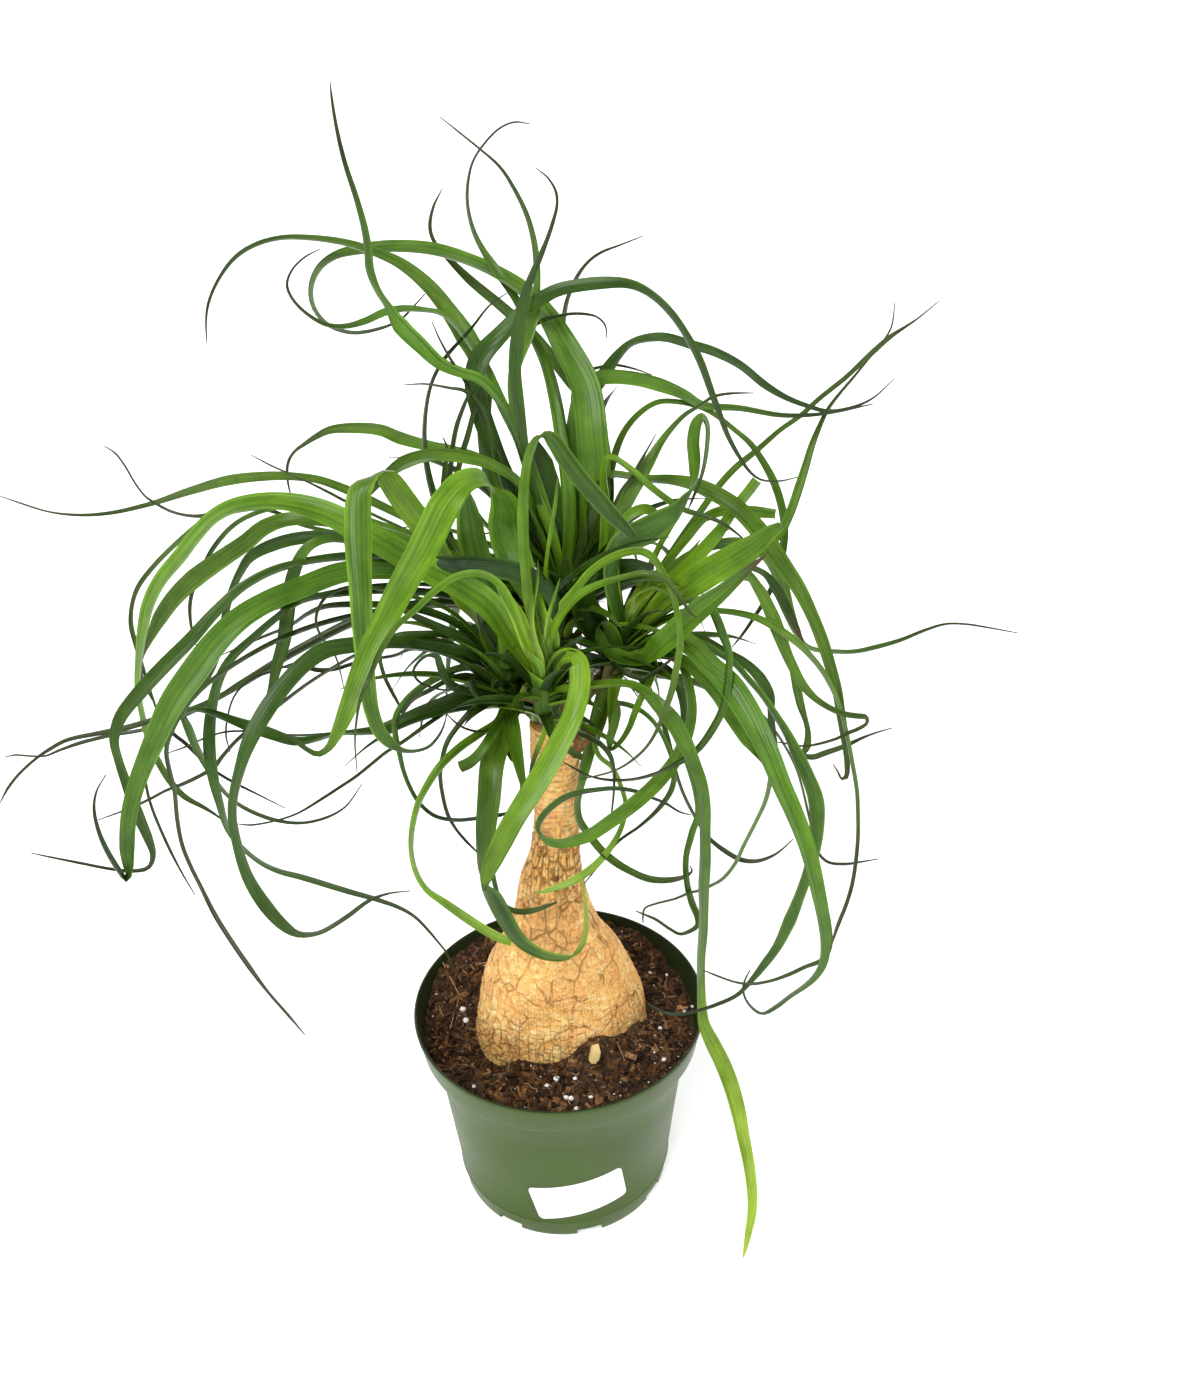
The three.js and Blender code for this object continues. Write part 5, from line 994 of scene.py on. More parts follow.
# Thin tip
leaf("back", 4, [30, 44, 56], [
    [545, 555], [510, 480], [475, 400, 4], [460, 373, 3], [450, 358, 3], [440, 340, 2],
    [432, 322, 1]], DULL)
# Thin tip
leaf("back", 4, [32, 40, 50], [
    [540, 565], [505, 490], [480, 405, 5], [465, 391, 4], [450, 388, 3], [425, 384, 2], [403, 385, 1]])
# Upper arch to the right
leaf("back", 9, [41, 70, 115, 132, 120], [
    [594, 560], [600, 500], [590, 440, 12], [590, 400, 13], [605, 373, 13], [620, 352, 9], [630, 343, 6],
    [645, 338, 8], [665, 337, 9], [690, 344, 9], [715, 352, 9], [740, 365, 8], [765, 385, 8],
    [785, 397, 6], [805, 405, 5], [828, 411, 4], [853, 407, 3], [873, 398, 2], [894, 379, 1]], DEEP)
# Lower arch to the right
leaf("back", 8, [39, 76, 98, 100], [
    [580, 560], [572, 480], [574, 420], [583, 388, 12], [600, 378, 14], [630, 378, 13], [660, 385, 13],
    [685, 395, 10], [703, 405, 8], [740, 408, 6], [780, 415, 5], [810, 415, 4], [840, 411, 3],
    [873, 404, 1]], LOWERED)
# Thin arc
leaf("back", 5, [38, 100, 110], [
    [585, 530], [575, 440], [575, 385], [586, 372, 4], [600, 367, 3], [615, 365, 3], [635, 369, 2],
    [652, 375, 1]], DULL)
# Longest leaf to the left
leaf("back", 6, [30, 60, 110, 150, 165], [
    [535, 582], [490, 556], [450, 540], [400, 515], [350, 491, 9], [320, 480, 8], [300, 477, 8],
    [270, 476, 9], [230, 480, 10], [190, 491, 8], [150, 504, 5], [110, 513, 4], [80, 515, 3],
    [50, 512, 2], [20, 503, 2], [0, 496, 1]])
# Thin leaf over the left side
leaf("back", 4, [30, 60, 100, 120], [
    [530, 590], [460, 560], [400, 545], [350, 535], [300, 524, 4], [275, 512, 4], [250, 508, 4],
    [225, 510, 4], [200, 516, 4], [185, 515, 3], [170, 511, 3], [155, 503, 3], [145, 496, 2],
    [135, 483, 2], [125, 466, 2], [115, 453, 2], [104, 446, 1]])
# Broad pale leaf from the front shoot
leaf("front", 13, [-24, -13, 4, 18, 20], [
    [535, 668, 16], [515, 640, 22], [490, 606, 26], [460, 585, 25], [430, 570, 25], [400, 553, 25],
    [360, 530, 25], [320, 510, 22], [280, 501, 16], [240, 504, 14], [215, 515, 13], [195, 535, 14],
    [180, 555, 14], [160, 580, 13], [148, 605, 12], [142, 632, 10], [138, 660, 6], [137, 690, 5],
    [141, 712, 5], [147, 735, 6], [156, 757, 7], [170, 781, 7], [185, 797, 6], [205, 808, 4],
    [220, 818, 2], [228, 826, 1]], BRIGHT)
# Leftmost thin leaf
leaf("back", 5, [30, 76, 98, 86], [
    [530, 585], [480, 556], [400, 530], [330, 513], [270, 507, 4], [235, 511, 4], [210, 517, 5],
    [180, 540, 5], [152, 568, 5], [138, 587, 5], [132, 605, 4], [131, 625, 5], [136, 645, 5],
    [142, 665, 4], [150, 690, 3], [158, 715, 2], [163, 738, 1]])
# Thin leaf, left
leaf("back", 5, [30, 60, 72, 70], [
    [530, 588], [470, 555], [400, 530], [340, 511], [300, 505, 5], [265, 510, 5], [235, 524, 5],
    [212, 550, 5], [200, 575, 4], [193, 590, 4], [190, 605, 4], [191, 625, 3], [196, 645, 1]])
# Broad leaf, left
leaf("back", 9, [27, 32, 43, 48], [
    [530, 592], [470, 562], [400, 538], [340, 523, 10], [290, 519, 13], [265, 527, 15], [245, 543, 16],
    [220, 560, 17], [195, 578, 18], [175, 597, 16], [160, 618, 14], [150, 638, 8], [142, 655, 5],
    [140, 670, 4], [147, 690, 2], [152, 700, 1]])
# Dark leaf, left
leaf("back", 8, [28, 22, 25, 25], [
    [530, 596], [460, 568], [400, 550], [345, 537, 10], [300, 538, 12], [270, 546, 12], [250, 557, 10],
    [240, 572, 8], [232, 590, 7], [226, 612, 7], [221, 640, 8], [212, 668, 7], [200, 690, 5],
    [190, 704, 1]], DEEP)
# Dark leaf that turns back at its foot
leaf("back", 8, [28, 8, -20, -50, -60], [
    [530, 600], [480, 580], [430, 562], [390, 556, 8], [345, 556, 8], [300, 562, 6], [270, 571, 8],
    [240, 588, 9], [215, 612, 11], [190, 640, 13], [165, 665, 14], [140, 692, 14], [120, 718, 12],
    [114, 740, 9], [119, 762, 8], [128, 788, 10], [138, 815, 11], [148, 838, 9], [153, 855, 6],
    [148, 868, 4], [130, 871, 4], [111, 869, 3], [80, 863, 3], [50, 857, 2], [31, 853, 1]], DEEP)
# Biggest hanging leaf at the left, folded at its foot
leaf("back", 13, [26, 0, -45, -80, -90], [
    [530, 604], [490, 588], [450, 577], [400, 570, 18], [345, 572, 20], [300, 588, 20], [270, 600, 20],
    [240, 618, 22], [215, 643, 24], [195, 670, 26], [172, 703, 24], [153, 744, 20], [137, 783, 16],
    [129, 815, 15], [127, 850, 14], [128, 868, 10], [127, 879, 5], [118, 868, 5], [108, 852, 5],
    [99, 832, 4], [94, 808, 3], [97, 790, 2], [106, 775, 1]], LOWERED)
# Straight hanging leaf
leaf("back", 8, [26, 12, 3, -3], [
    [528, 606], [480, 588], [420, 562], [370, 545], [330, 538, 8], [308, 547, 10], [294, 572, 12],
    [289, 600, 14], [284, 640, 13], [277, 665, 11], [271, 690, 7], [264, 710, 4], [258, 724, 1]])
# Thin dark leaf
leaf("left", 6, [2, 4, 14, 30], [
    [498, 668], [480, 642], [455, 622, 7], [430, 612, 8], [400, 606, 7], [350, 604, 6], [325, 606, 5],
    [308, 613, 4], [290, 625, 3], [260, 638, 3], [222, 655, 1]], DEEP)
# Twisted leaf that sweeps back over the pot
leaf("back", 8, [26, 10, -10, -30, -30, -10], [
    [530, 612], [470, 598], [400, 590], [345, 592, 6], [300, 600, 6], [275, 618, 6], [250, 640, 7],
    [232, 657, 8], [220, 677, 9], [212, 706, 10], [209, 740, 12], [212, 772, 11], [219, 802, 8],
    [229, 833, 4], [245, 851, 3], [262, 864, 4], [280, 872, 5], [300, 877, 6], [330, 886, 6],
    [350, 892, 6], [375, 899, 5], [400, 908, 4], [415, 917, 3], [428, 930, 3], [438, 942, 2],
    [446, 952, 2], [452, 965, 2], [460, 980, 1]], DEEP)
# Hanging leaf with a swept-up tip
leaf("left", 11, [0, -40, -80, -105, -110], [
    [495, 680], [465, 658], [430, 646], [390, 642, 12], [351, 645, 15], [325, 650, 16], [305, 663, 16],
    [285, 684, 16], [265, 712, 17], [250, 740, 15], [240, 768, 10], [233, 797, 8], [232, 818, 8],
    [237, 845, 9], [248, 878, 11], [265, 905, 13], [283, 925, 11], [297, 934, 7], [310, 935, 4],
    [322, 932, 4], [345, 918, 5], [370, 900, 4], [380, 896, 3], [391, 893, 2], [410, 891, 1]], DEEP)
# Small curl
leaf("left", 4, [2, 0, -5], [
    [490, 650], [450, 610], [400, 593], [370, 587], [348, 587, 3], [328, 595, 3], [319, 607, 3],
    [316, 622, 3], [322, 638, 2], [330, 647, 2], [337, 660, 2], [344, 688, 1]])
# Leaf folded over at the left
leaf("back", 8, [30, 25, 20], [
    [552, 560], [536, 515], [520, 483, 8], [495, 466, 10], [470, 458, 12], [430, 455, 12],
    [405, 462, 13], [390, 472, 10], [378, 484, 7], [366, 497, 5], [355, 508, 3], [345, 515, 1]])
# Arch left of the middle
leaf("back", 7, [32, 70, 120, 140], [
    [550, 555], [520, 500], [485, 462], [450, 450, 10], [430, 446, 10], [400, 438, 12], [380, 430, 11],
    [350, 428, 10], [330, 430, 8], [317, 436, 6], [303, 445, 4], [295, 451, 3], [289, 460, 3],
    [287, 472, 3], [289, 488, 2], [292, 498, 1]])
# Thin tip, left
leaf("back", 3.5, [34, 80, 104], [
    [530, 588], [450, 550], [400, 527], [370, 513], [343, 500, 3], [330, 493, 3], [310, 483, 2],
    [290, 474, 2], [270, 465, 2], [251, 455, 1]])
# Leaf folded over a high crest, with a curled tip
leaf("left", 13, [4, -3, -25, -55, -75, -75], [
    [490, 655], [462, 600, 16], [440, 558, 22], [424, 528, 24], [412, 512, 24], [401, 497, 24],
    [392, 484, 23], [385, 476, 17], [378, 478, 7], [370, 483, -12], [361, 490, -22], [358, 508, -25],
    [358, 540, -26], [360, 580, -22], [362, 620, -20], [364, 650, -18], [368, 690, -16], [372, 712, -14],
    [380, 732, -13], [390, 743, -11], [399, 749, -5], [412, 751, -3], [428, 747, -3], [438, 737, -3],
    [444, 725, -2], [447, 713, -1]], BRIGHT)
# Biggest front leaf
leaf("front", 15, [-20, 8, -28, -80, -110, -120], [
    [545, 640], [539, 615, -14], [529, 590, -22], [518, 565, -30], [510, 545, -34], [506, 525, -34],
    [506, 508, -30], [503, 494, -20], [497, 485, -8], [488, 479, 12], [478, 477, 18], [462, 483, 24],
    [445, 505, 30], [430, 535, 30], [418, 558, 28], [400, 590, 26], [385, 620, 24], [370, 650, 22],
    [358, 680, 20], [347, 710, 17], [337, 733, 12], [328, 748, 7], [318, 754, 6], [305, 748, 5],
    [290, 737, 4], [275, 731, 2], [262, 727, 1]], BRIGHT)
# Small bright arch
leaf("front", 5, [-29, -44, -76, -120, -130], [
    [540, 665], [527, 642, 7], [515, 610, 7], [503, 588, 7], [490, 577, 7], [475, 573, 7], [455, 577, 7],
    [435, 591, 7], [415, 610, 6], [396, 627, 6], [380, 652, 6], [370, 676, 5], [362, 694, 4],
    [358, 710, 3], [355, 740, 2], [357, 772, 1]], BRIGHT)
# Young pointed leaf
leaf("front", 7, [-22, -28, -40], [
    [541, 670, 12], [530, 650, 13], [518, 617, 14], [506, 597, 10], [498, 584, 6], [491, 573, 1]], YOUNG)
# Upright tip
leaf("back", 4, [25, 30, 44], [
    [535, 590], [495, 565], [465, 530], [450, 490, 5], [451, 465, 5], [453, 445, 5], [457, 425, 5],
    [465, 403, 4], [472, 386, 1]])
# Upright tip
leaf("back", 4, [30, 42, 60], [
    [540, 582], [505, 545], [475, 510], [458, 480, 5], [462, 455, 6], [468, 435, 6], [473, 415, 5],
    [478, 398, 3], [483, 380, 1]])
# Upright tip
leaf("back", 4, [27, 38, 55], [
    [535, 590], [490, 575], [455, 545], [444, 500, 7], [445, 470, 6], [447, 448, 3], [443, 437, 1]])
# Blunt dark leaf
leaf("left", 6, [2, -12, -22], [
    [500, 670, 8], [490, 660, 9], [470, 652, 10], [440, 648, 11], [413, 645, 10]], DEEP)
# Short dark leaf
leaf("left", 5, [2, -2, -6], [
    [500, 660, 9], [470, 641, 10], [440, 628, 9], [405, 611, 6], [392, 603, 1]], DEEP)
# Dark leaf that turns down
leaf("left", 4.5, [2, 8, 6, 0], [
    [500, 655, 8], [475, 641, 8], [450, 635, 7], [420, 634, 7], [398, 636, 7], [386, 643, 5],
    [380, 655, 4], [384, 675, 4], [392, 692, 4], [398, 703, 3], [404, 718, 1]], DEEP)
# Thin wavy leaf
leaf("left", 3.5, [2, 5, 15, 20], [
    [495, 672], [470, 660], [440, 650], [410, 649, 3], [395, 655, 3], [379, 658, 3], [352, 664, 4],
    [335, 669, 4], [318, 670, 5], [300, 666, 4], [283, 668, 1]], DEEP)
# Broad leaf low at the left, then twisted and turned back
leaf("left", 7, [2, -15, -30, -26, -14, -10], [
    [497, 690, 9], [487, 691, 10], [465, 694, 12], [440, 705, 13], [420, 713, 13], [400, 722, 12],
    [380, 729, 9], [362, 732, 4], [345, 732, 3], [330, 734, 3], [316, 738, 6], [295, 741, 9],
    [275, 735, 11], [255, 728, 12], [235, 721, 9], [215, 713, 6], [200, 709, 4], [190, 710, 4],
    [183, 714, 6], [188, 727, 9], [194, 743, 8], [204, 763, 6], [217, 784, 4], [232, 800, 3],
    [250, 811, 4], [275, 820, 4], [300, 823, 3], [325, 818, 3], [345, 807, 2], [362, 784, 1]], DEEP)
# Arch low at the left
leaf("left", 5, [2, -18, -35, -40], [
    [497, 684, 7], [487, 674, 7], [470, 667, 8], [455, 669, 7], [440, 676, 7], [420, 688, 7],
    [405, 702, 7], [396, 716, 6], [395, 732, 6], [399, 752, 5], [403, 770, 4], [410, 788, 4],
    [420, 804, 4], [435, 816, 4], [455, 820, 4], [479, 818, 4], [500, 815, 4], [515, 811, 2]])
# Thin arch beside it
leaf("left", 4, [2, -16, -24], [
    [497, 688, 5], [480, 678, 5], [464, 675, 5], [448, 680, 5], [430, 690, 5], [412, 700, 5],
    [403, 713, 3], [397, 726, 1]], DULL)
# Blunt leaf with a looped thread
leaf("left", 5, [2, -25, -35], [
    [497, 694, 8], [484, 694, 8], [470, 692, 8], [455, 687, 9], [445, 678, 8], [440, 665, 8],
    [436, 656, 6], [427, 655, 2], [417, 663, 2], [413, 672, 2], [418, 681, 2], [430, 687, 2],
    [447, 690, 2], [460, 686, 1]], DEEP)
# Cut leaf
leaf("left", 5, [2, -20], [
    [497, 702, 8], [485, 700, 8], [475, 691, 8], [470, 679, 8]], DEEP)
# Thin hanging leaf
leaf("left", 4, [2, -25, -40], [
    [496, 696, 6], [486, 697, 6], [477, 704, 6], [467, 715, 6], [456, 728, 5], [447, 742, 5],
    [442, 758, 4], [440, 775, 4], [443, 797, 4], [448, 815, 4], [456, 829, 3], [466, 841, 3],
    [475, 850, 2], [480, 855, 1]], DULL)
# Leaf that hangs to the trunk
leaf("left", 6, [0, -35, -50, -55, -48], [
    [503, 706, 7], [497, 720, 7], [480, 733, 8], [460, 747, 8], [440, 766, 8], [427, 785, 7],
    [417, 805, 6], [411, 832, 5], [411, 855, 4], [417, 875, 5], [427, 890, 6], [445, 903, 8],
    [465, 917, 9], [485, 930, 9], [500, 938, 9], [512, 942, 8]], FADING)
# Thread
leaf("left", 3, [2, -20, -30], [
    [503, 708], [495, 726], [480, 731, 2], [465, 728, 2], [455, 722, 2], [446, 713, 1]], DULL)
# Cut leaf
leaf("left", 6, [0, -28, -38], [
    [504, 708, 8], [496, 726, 9], [487, 742, 9], [478, 755, 10], [469, 763, 11], [460, 767, 11]])
# Long sagging thread
leaf("left", 3.5, [2, -20, -40, -50], [
    [495, 693], [465, 700], [430, 722], [402, 742], [386, 752, 3], [370, 765, 3], [355, 777, 3],
    [340, 787, 3], [320, 800, 3], [300, 812, 2], [285, 818, 2], [265, 823, 2], [250, 825, 2],
    [238, 824, 1]], DULL)
# Long thread to the lower left
leaf("back", 5, [30, 12, -38, -100, -150], [
    [530, 615], [450, 605], [370, 612], [300, 630], [240, 660], [195, 695], [172, 730, 4], [166, 750, 4],
    [169, 770, 4], [174, 790, 4], [177, 820, 4], [182, 845, 4], [190, 865, 4], [200, 885, 4],
    [215, 915, 5], [232, 942, 5], [250, 968, 5], [268, 992, 3], [289, 1016, 3], [305, 1035, 1]], DULL)
# Thread, left
leaf("back", 4, [28, 8, -28, -60], [
    [530, 612], [440, 585], [330, 592], [250, 620], [190, 670], [152, 730], [145, 770, 3], [147, 790, 3],
    [152, 808, 3], [160, 828, 3], [170, 850, 3], [182, 873, 2], [195, 895, 1]], DULL)
# Thread, left
leaf("left", 4, [2, 10, 5, 0], [
    [490, 665], [440, 640], [380, 645], [320, 675], [270, 712], [245, 733, 4], [235, 742, 4],
    [222, 757, 4], [215, 766, 5], [205, 773, 4], [185, 783, 4], [165, 791, 3], [150, 799, 3],
    [135, 806, 3], [120, 812, 2], [98, 820, 1]], DULL)
# Thread, left
leaf("back", 4, [28, 15, 0, -10], [
    [530, 608], [450, 580], [360, 575], [280, 595], [220, 632], [180, 680], [167, 712], [172, 732, 4],
    [185, 743, 4], [200, 758, 3], [215, 771, 3], [235, 783, 3], [255, 793, 2], [285, 808, 1]], DULL)
# Thread, left
leaf("left", 2.5, [2, 4, 0], [
    [490, 668], [440, 645], [380, 648], [320, 655], [270, 672, 2], [250, 680, 2], [235, 695, 2],
    [228, 715, 2], [226, 735, 2], [230, 752, 1]], DULL)
# Thread, left
leaf("left", 3, [2, -10, -5], [
    [490, 690], [440, 712], [370, 728], [300, 735], [245, 731, 2], [225, 732, 2], [205, 738, 2],
    [185, 747, 2], [168, 753, 1]], DULL)
# Leaf to the far left
leaf("back", 6, [25, 15, 7, 4], [
    [530, 612], [450, 602], [370, 617], [300, 650], [240, 685], [200, 706], [175, 714, 6], [150, 721, 6],
    [125, 728, 6], [100, 733, 5], [67, 740, 4], [50, 749, 4], [38, 757, 3], [20, 773, 3], [8, 788, 3],
    [0, 803, 1]], DULL)
# Thread beside it
leaf("back", 5, [31, 36, 34, 27], [
    [530, 612], [450, 600], [370, 612], [300, 645], [240, 682], [200, 708], [150, 728], [112, 735, 4],
    [95, 739, 4], [80, 743, 4], [60, 750, 3], [45, 756, 2], [30, 756, 2], [15, 755, 2], [5, 757, 1]], DULL)
# Upright leaf folded over to the right
leaf("front", 8, [-24, -20, -12, -26], [
    [543, 655, 9], [535, 630, 10], [529, 600, 10], [525, 560, 10], [523, 520, 11], [524, 487, 10],
    [528, 458, 9], [533, 444, 8], [538, 436, 5], [545, 434, -9], [553, 440, -15], [565, 458, -17],
    [580, 478, -17], [597, 498, -17], [613, 516, -15], [626, 529, -11], [634, 537, -8]], OPENING)
# Bright arch with a long thread
leaf("front", 5, [-18, -12, -22, -50, -55, -45], [
    [547, 655, 8], [550, 630, 8], [560, 608, 8], [575, 590, 8], [590, 572, 8], [605, 561, 8],
    [620, 554, 8], [640, 551, 8], [652, 557, 8], [661, 570, 7], [669, 585, 6], [675, 603, 6],
    [679, 625, 6], [680, 645, 7], [677, 665, 7], [672, 690, 7], [665, 710, 6], [658, 728, 4],
    [648, 745, 3], [635, 758, 3], [618, 769, 2], [600, 775, 2], [580, 779, 1]], BRIGHT)
# Bright arch inside it
leaf("front", 5, [-23, -28, -38], [
    [547, 655, 8], [550, 637, 8], [562, 613, 8], [580, 594, 8], [600, 584, 7], [620, 578, 6],
    [645, 573, 6], [660, 576, 6], [672, 586, 6], [682, 600, 4], [690, 612, 3], [697, 618, 1]], BRIGHT)
# Thin upright
leaf("front", 3, [-17, -11, -8], [
    [544, 655, 4], [541, 640, 4], [543, 600, 4], [546, 565, 4], [550, 535, 4], [555, 505, 4],
    [558, 478, 2]], YOUNG)
# Thin upright
leaf("front", 3, [-22, -30], [
    [545, 655, 4], [545, 640, 4], [549, 615, 4], [555, 595, 3], [560, 578, 1]], YOUNG)
# Young leaf
leaf("front", 6, [-27, -24, -17], [
    [540, 660, 9], [533, 640, 9], [530, 620, 8], [533, 600, 6], [537, 580, 4], [538, 560, 1]], YOUNG)
# Young leaf
leaf("front", 5, [-16, -9, -4], [
    [548, 660, 8], [552, 635, 8], [552, 610, 6], [549, 590, 4], [548, 570, 1]], YOUNG)
# Leaf folded over in front of the neck
leaf("front", 11, [-24, -42, -62, -78, -88], [
    [551, 676, 12], [557, 664, 14], [567, 657, 17], [577, 661, 19], [580, 675, 20], [579, 692, 20],
    [573, 715, 20], [560, 742, 21], [546, 768, 22], [530, 794, 21], [515, 818, 20], [503, 840, 20],
    [493, 860, 18], [486, 878, 12], [484, 891, 3]], BRIGHT)
# Leaf that hangs and wraps across the trunk
leaf("left", 12, [0, -35, -55, -52, -42, -36], [
    [512, 700, 15], [514, 706, 19], [507, 720, 21], [499, 740, 23], [492, 765, 23], [489, 800, 22],
    [486, 830, 19], [485, 855, 15], [485, 872, 8], [488, 886, -12], [494, 898, -16], [504, 917, -16],
    [517, 937, -13], [531, 949, -11], [548, 956, -9], [565, 957, -7], [577, 951, 6], [584, 938, 5],
    [586, 920, 4], [585, 900, 3], [583, 882, 2], [581, 872, 1]], RIPENING)
# Thread across the trunk
leaf("left", 4, [0, -25, -38, -34], [
    [508, 710], [498, 740], [490, 790], [490, 840], [494, 880], [503, 904, 5], [515, 911, 6],
    [530, 911, 6], [545, 907, 4], [557, 902, 2]], BRIGHT)
# Small curl
leaf("left", 3, [0, -30], [
    [510, 715], [506, 740], [510, 757, 3], [517, 765, 3], [521, 778, 3], [520, 795, 1]], DULL)
# Cut leaf
leaf("front", 4, [-19, -32], [
    [550, 680, 8], [552, 667, 8], [560, 655, 7], [570, 645, 6], [583, 636, 4]])
# Small leaf on the neck
leaf("front", 3.5, [-22, -24], [
    [546, 715, 6], [545, 730, 6], [538, 748, 6], [532, 765, 4], [529, 778, 1]], BRIGHT)
# Small leaf on the neck
leaf("front", 4, [-22, -26], [
    [552, 718, 6], [560, 738, 7], [570, 750, 8], [583, 758, 6]])
# Thin leaf by the neck
leaf("front", 4, [-22, -36, -40], [
    [553, 705, 6], [562, 718, 6], [575, 730, 6], [590, 737, 6], [602, 745, 5], [610, 755, 5],
    [614, 770, 3], [614, 790, 2], [612, 810, 2], [611, 822, 1]], DULL)
# Leaf swept across the trunk
leaf("right", 5, [14, -10, -30, -36], [
    [617, 662], [604, 695], [594, 732], [598, 755, 4], [612, 768, 4], [620, 785, 4], [625, 803, 4],
    [622, 825, 5], [614, 842, 6], [603, 857, 7], [592, 868, 8], [575, 880, 8], [558, 887, 6],
    [545, 891, 4], [535, 893, 1]], FADING)
# Leaf that hangs by the neck, then sweeps right
leaf("right", 8, [14, 4, -20, -35, -30], [
    [616, 662, 12], [608, 678, 14], [604, 695, 16], [598, 720, 16], [591, 745, 12], [585, 768, 11],
    [581, 788, 6], [578, 805, 6], [580, 820, 7], [590, 836, 8], [602, 851, 8], [615, 862, 8],
    [630, 871, 7], [650, 879, 7], [670, 880, 6], [686, 876, 4], [692, 871, 2], [690, 866, 1]])
# Thin arch, low right
leaf("right", 4, [14, -5, -20, -25], [
    [612, 680], [606, 699, 4], [617, 702, 4], [630, 705, 5], [645, 713, 4], [658, 727, 4], [668, 747, 4],
    [674, 768, 5], [672, 788, 6], [660, 807, 5], [640, 826, 3], [620, 840, 3], [605, 857, 2],
    [595, 870, 2], [584, 884, 1]])
# Loop in front of the neck
leaf("right", 8, [14, -15, -45, -70, -50, -30], [
    [640, 643], [655, 642, 7], [668, 647, 8], [680, 657, 7], [688, 680, 8], [692, 705, 9],
    [690, 725, 10], [683, 745, 12], [672, 765, 13], [655, 785, 14], [635, 803, 14], [610, 822, 13],
    [590, 835, 12], [570, 842, 10], [553, 843, 8], [541, 837, 6], [537, 829, -5], [541, 818, -6],
    [552, 806, -6], [565, 797, -6], [580, 792, -5], [600, 789, -4], [615, 788, -4], [635, 791, -4],
    [650, 797, -3], [665, 803, -3], [680, 812, -2], [691, 815, -1]])
# Leaf doubled back
leaf("right", 5, [14, -8, -12, -4], [
    [640, 650], [654, 662, 6], [648, 685, 7], [640, 700, 7], [634, 715, 7], [629, 728, 6], [620, 742, 5],
    [611, 749, 4], [610, 740, 8], [614, 725, 9], [617, 712, 8], [615, 700, 6], [610, 691, 3]], BRIGHT)
# Small dark arch
leaf("right", 6, [14, 2, -5], [
    [618, 662], [622, 672, 5], [635, 665, 5], [650, 663, 5], [665, 667, 6], [675, 678, 9],
    [683, 695, 11], [685, 715, 9], [682, 728, 5], [676, 742, 1]], DEEP)
# Small arch
leaf("right", 4, [16, -5, -8], [
    [612, 650], [600, 640, 5], [603, 652, 6], [614, 663, 6], [628, 674, 6], [643, 678, 5], [655, 672, 4],
    [668, 662, 3], [680, 652, 1]], DULL)
# Broad leaf to the right
leaf("right", 12, [12, -12, -30, -40], [
    [612, 640, 10], [604, 628, 16], [604, 638, 18], [610, 649, 14], [622, 656, 12], [638, 657, 14],
    [655, 648, 21], [670, 636, 22], [685, 622, 22], [705, 605, 20], [722, 592, 15], [740, 576, 11],
    [752, 566, 7], [762, 558, 3], [768, 552, 1]])
# Broad cut leaf
leaf("right", 14, [15, 5, -5], [
    [632, 635, 10], [645, 620, 14], [665, 603, 20], [683, 590, 24], [700, 578, 28], [720, 566, 27],
    [740, 554, 25], [757, 543, 20], [770, 533, 15], [781, 526, 9]], BRIGHT)
# Young cut leaf
leaf("right", 7, [15, 18, 22], [
    [632, 632, 8], [645, 615, 9], [658, 600, 10], [672, 585, 12], [690, 565, 13], [705, 548, 13],
    [718, 533, 12], [725, 525, 9]], YOUNG)
# Young cut leaf
leaf("right", 6, [16, 40, 60], [
    [632, 628, 8], [648, 610, 8], [672, 586, 10], [693, 562, 11], [715, 537, 11], [735, 508, 10],
    [748, 492, 10], [757, 480, 10]], YOUNG)
# Young leaf
leaf("right", 4, [16, 36, 42], [
    [628, 625, 7], [634, 600, 7], [646, 575, 7], [660, 545, 6], [675, 520, 5], [688, 497, 3],
    [696, 483, 1]], YOUNG)
# Young leaf
leaf("right", 5, [16, 25, 30], [
    [627, 630, 8], [635, 613, 9], [647, 597, 10], [660, 584, 9], [674, 569, 7], [690, 553, 5],
    [700, 540, 1]], YOUNG)
# Young leaf
leaf("right", 5, [14, 5, 2], [
    [634, 640, 8], [642, 628, 8], [655, 613, 9], [668, 600, 8], [682, 590, 5], [692, 582, 1]], YOUNG)
# Pale curl
leaf("right", 2.5, [14, 0, -8], [
    [626, 625, 3], [628, 603, 3], [640, 592, 3], [652, 588, 3], [663, 592, 3], [672, 600, 2],
    [678, 612, 1]], YOUNG)
# Level leaf
leaf("right", 4, [14, 0, -10], [
    [614, 632], [612, 626, 5], [625, 624, 5], [645, 627, 5], [660, 632, 5], [680, 640, 3],
    [690, 648, 1]], BRIGHT)
# Bright leaf beside the broad one
leaf("back", 7, [32, 32, 24, 12], [
    [588, 592], [601, 565, 10], [606, 530, 12], [605, 500, 9], [603, 475, 6], [606, 459, 5],
    [613, 457, 5], [622, 462, 5], [636, 473, 6], [650, 486, 7], [668, 500, 7], [685, 510, 6],
    [705, 516, 5], [722, 523, 4], [740, 536, 2], [752, 548, 1]], BRIGHT)
# Spoon-shaped leaf with a folded top
leaf("right", 12, [15, 12, 10, 15, 25], [
    [618, 620, -10], [611, 590, -12], [612, 562, -14], [620, 545, -20], [633, 537, -25], [650, 529, -26],
    [665, 519, -22], [678, 506, -12], [686, 493, -5], [692, 480, 8], [694, 462, 12], [693, 440, 12],
    [697, 422, 11], [703, 416, 6], [708, 424, 3], [707, 452, 3], [702, 475, 3], [693, 498, 3],
    [688, 510, 1]], MID)
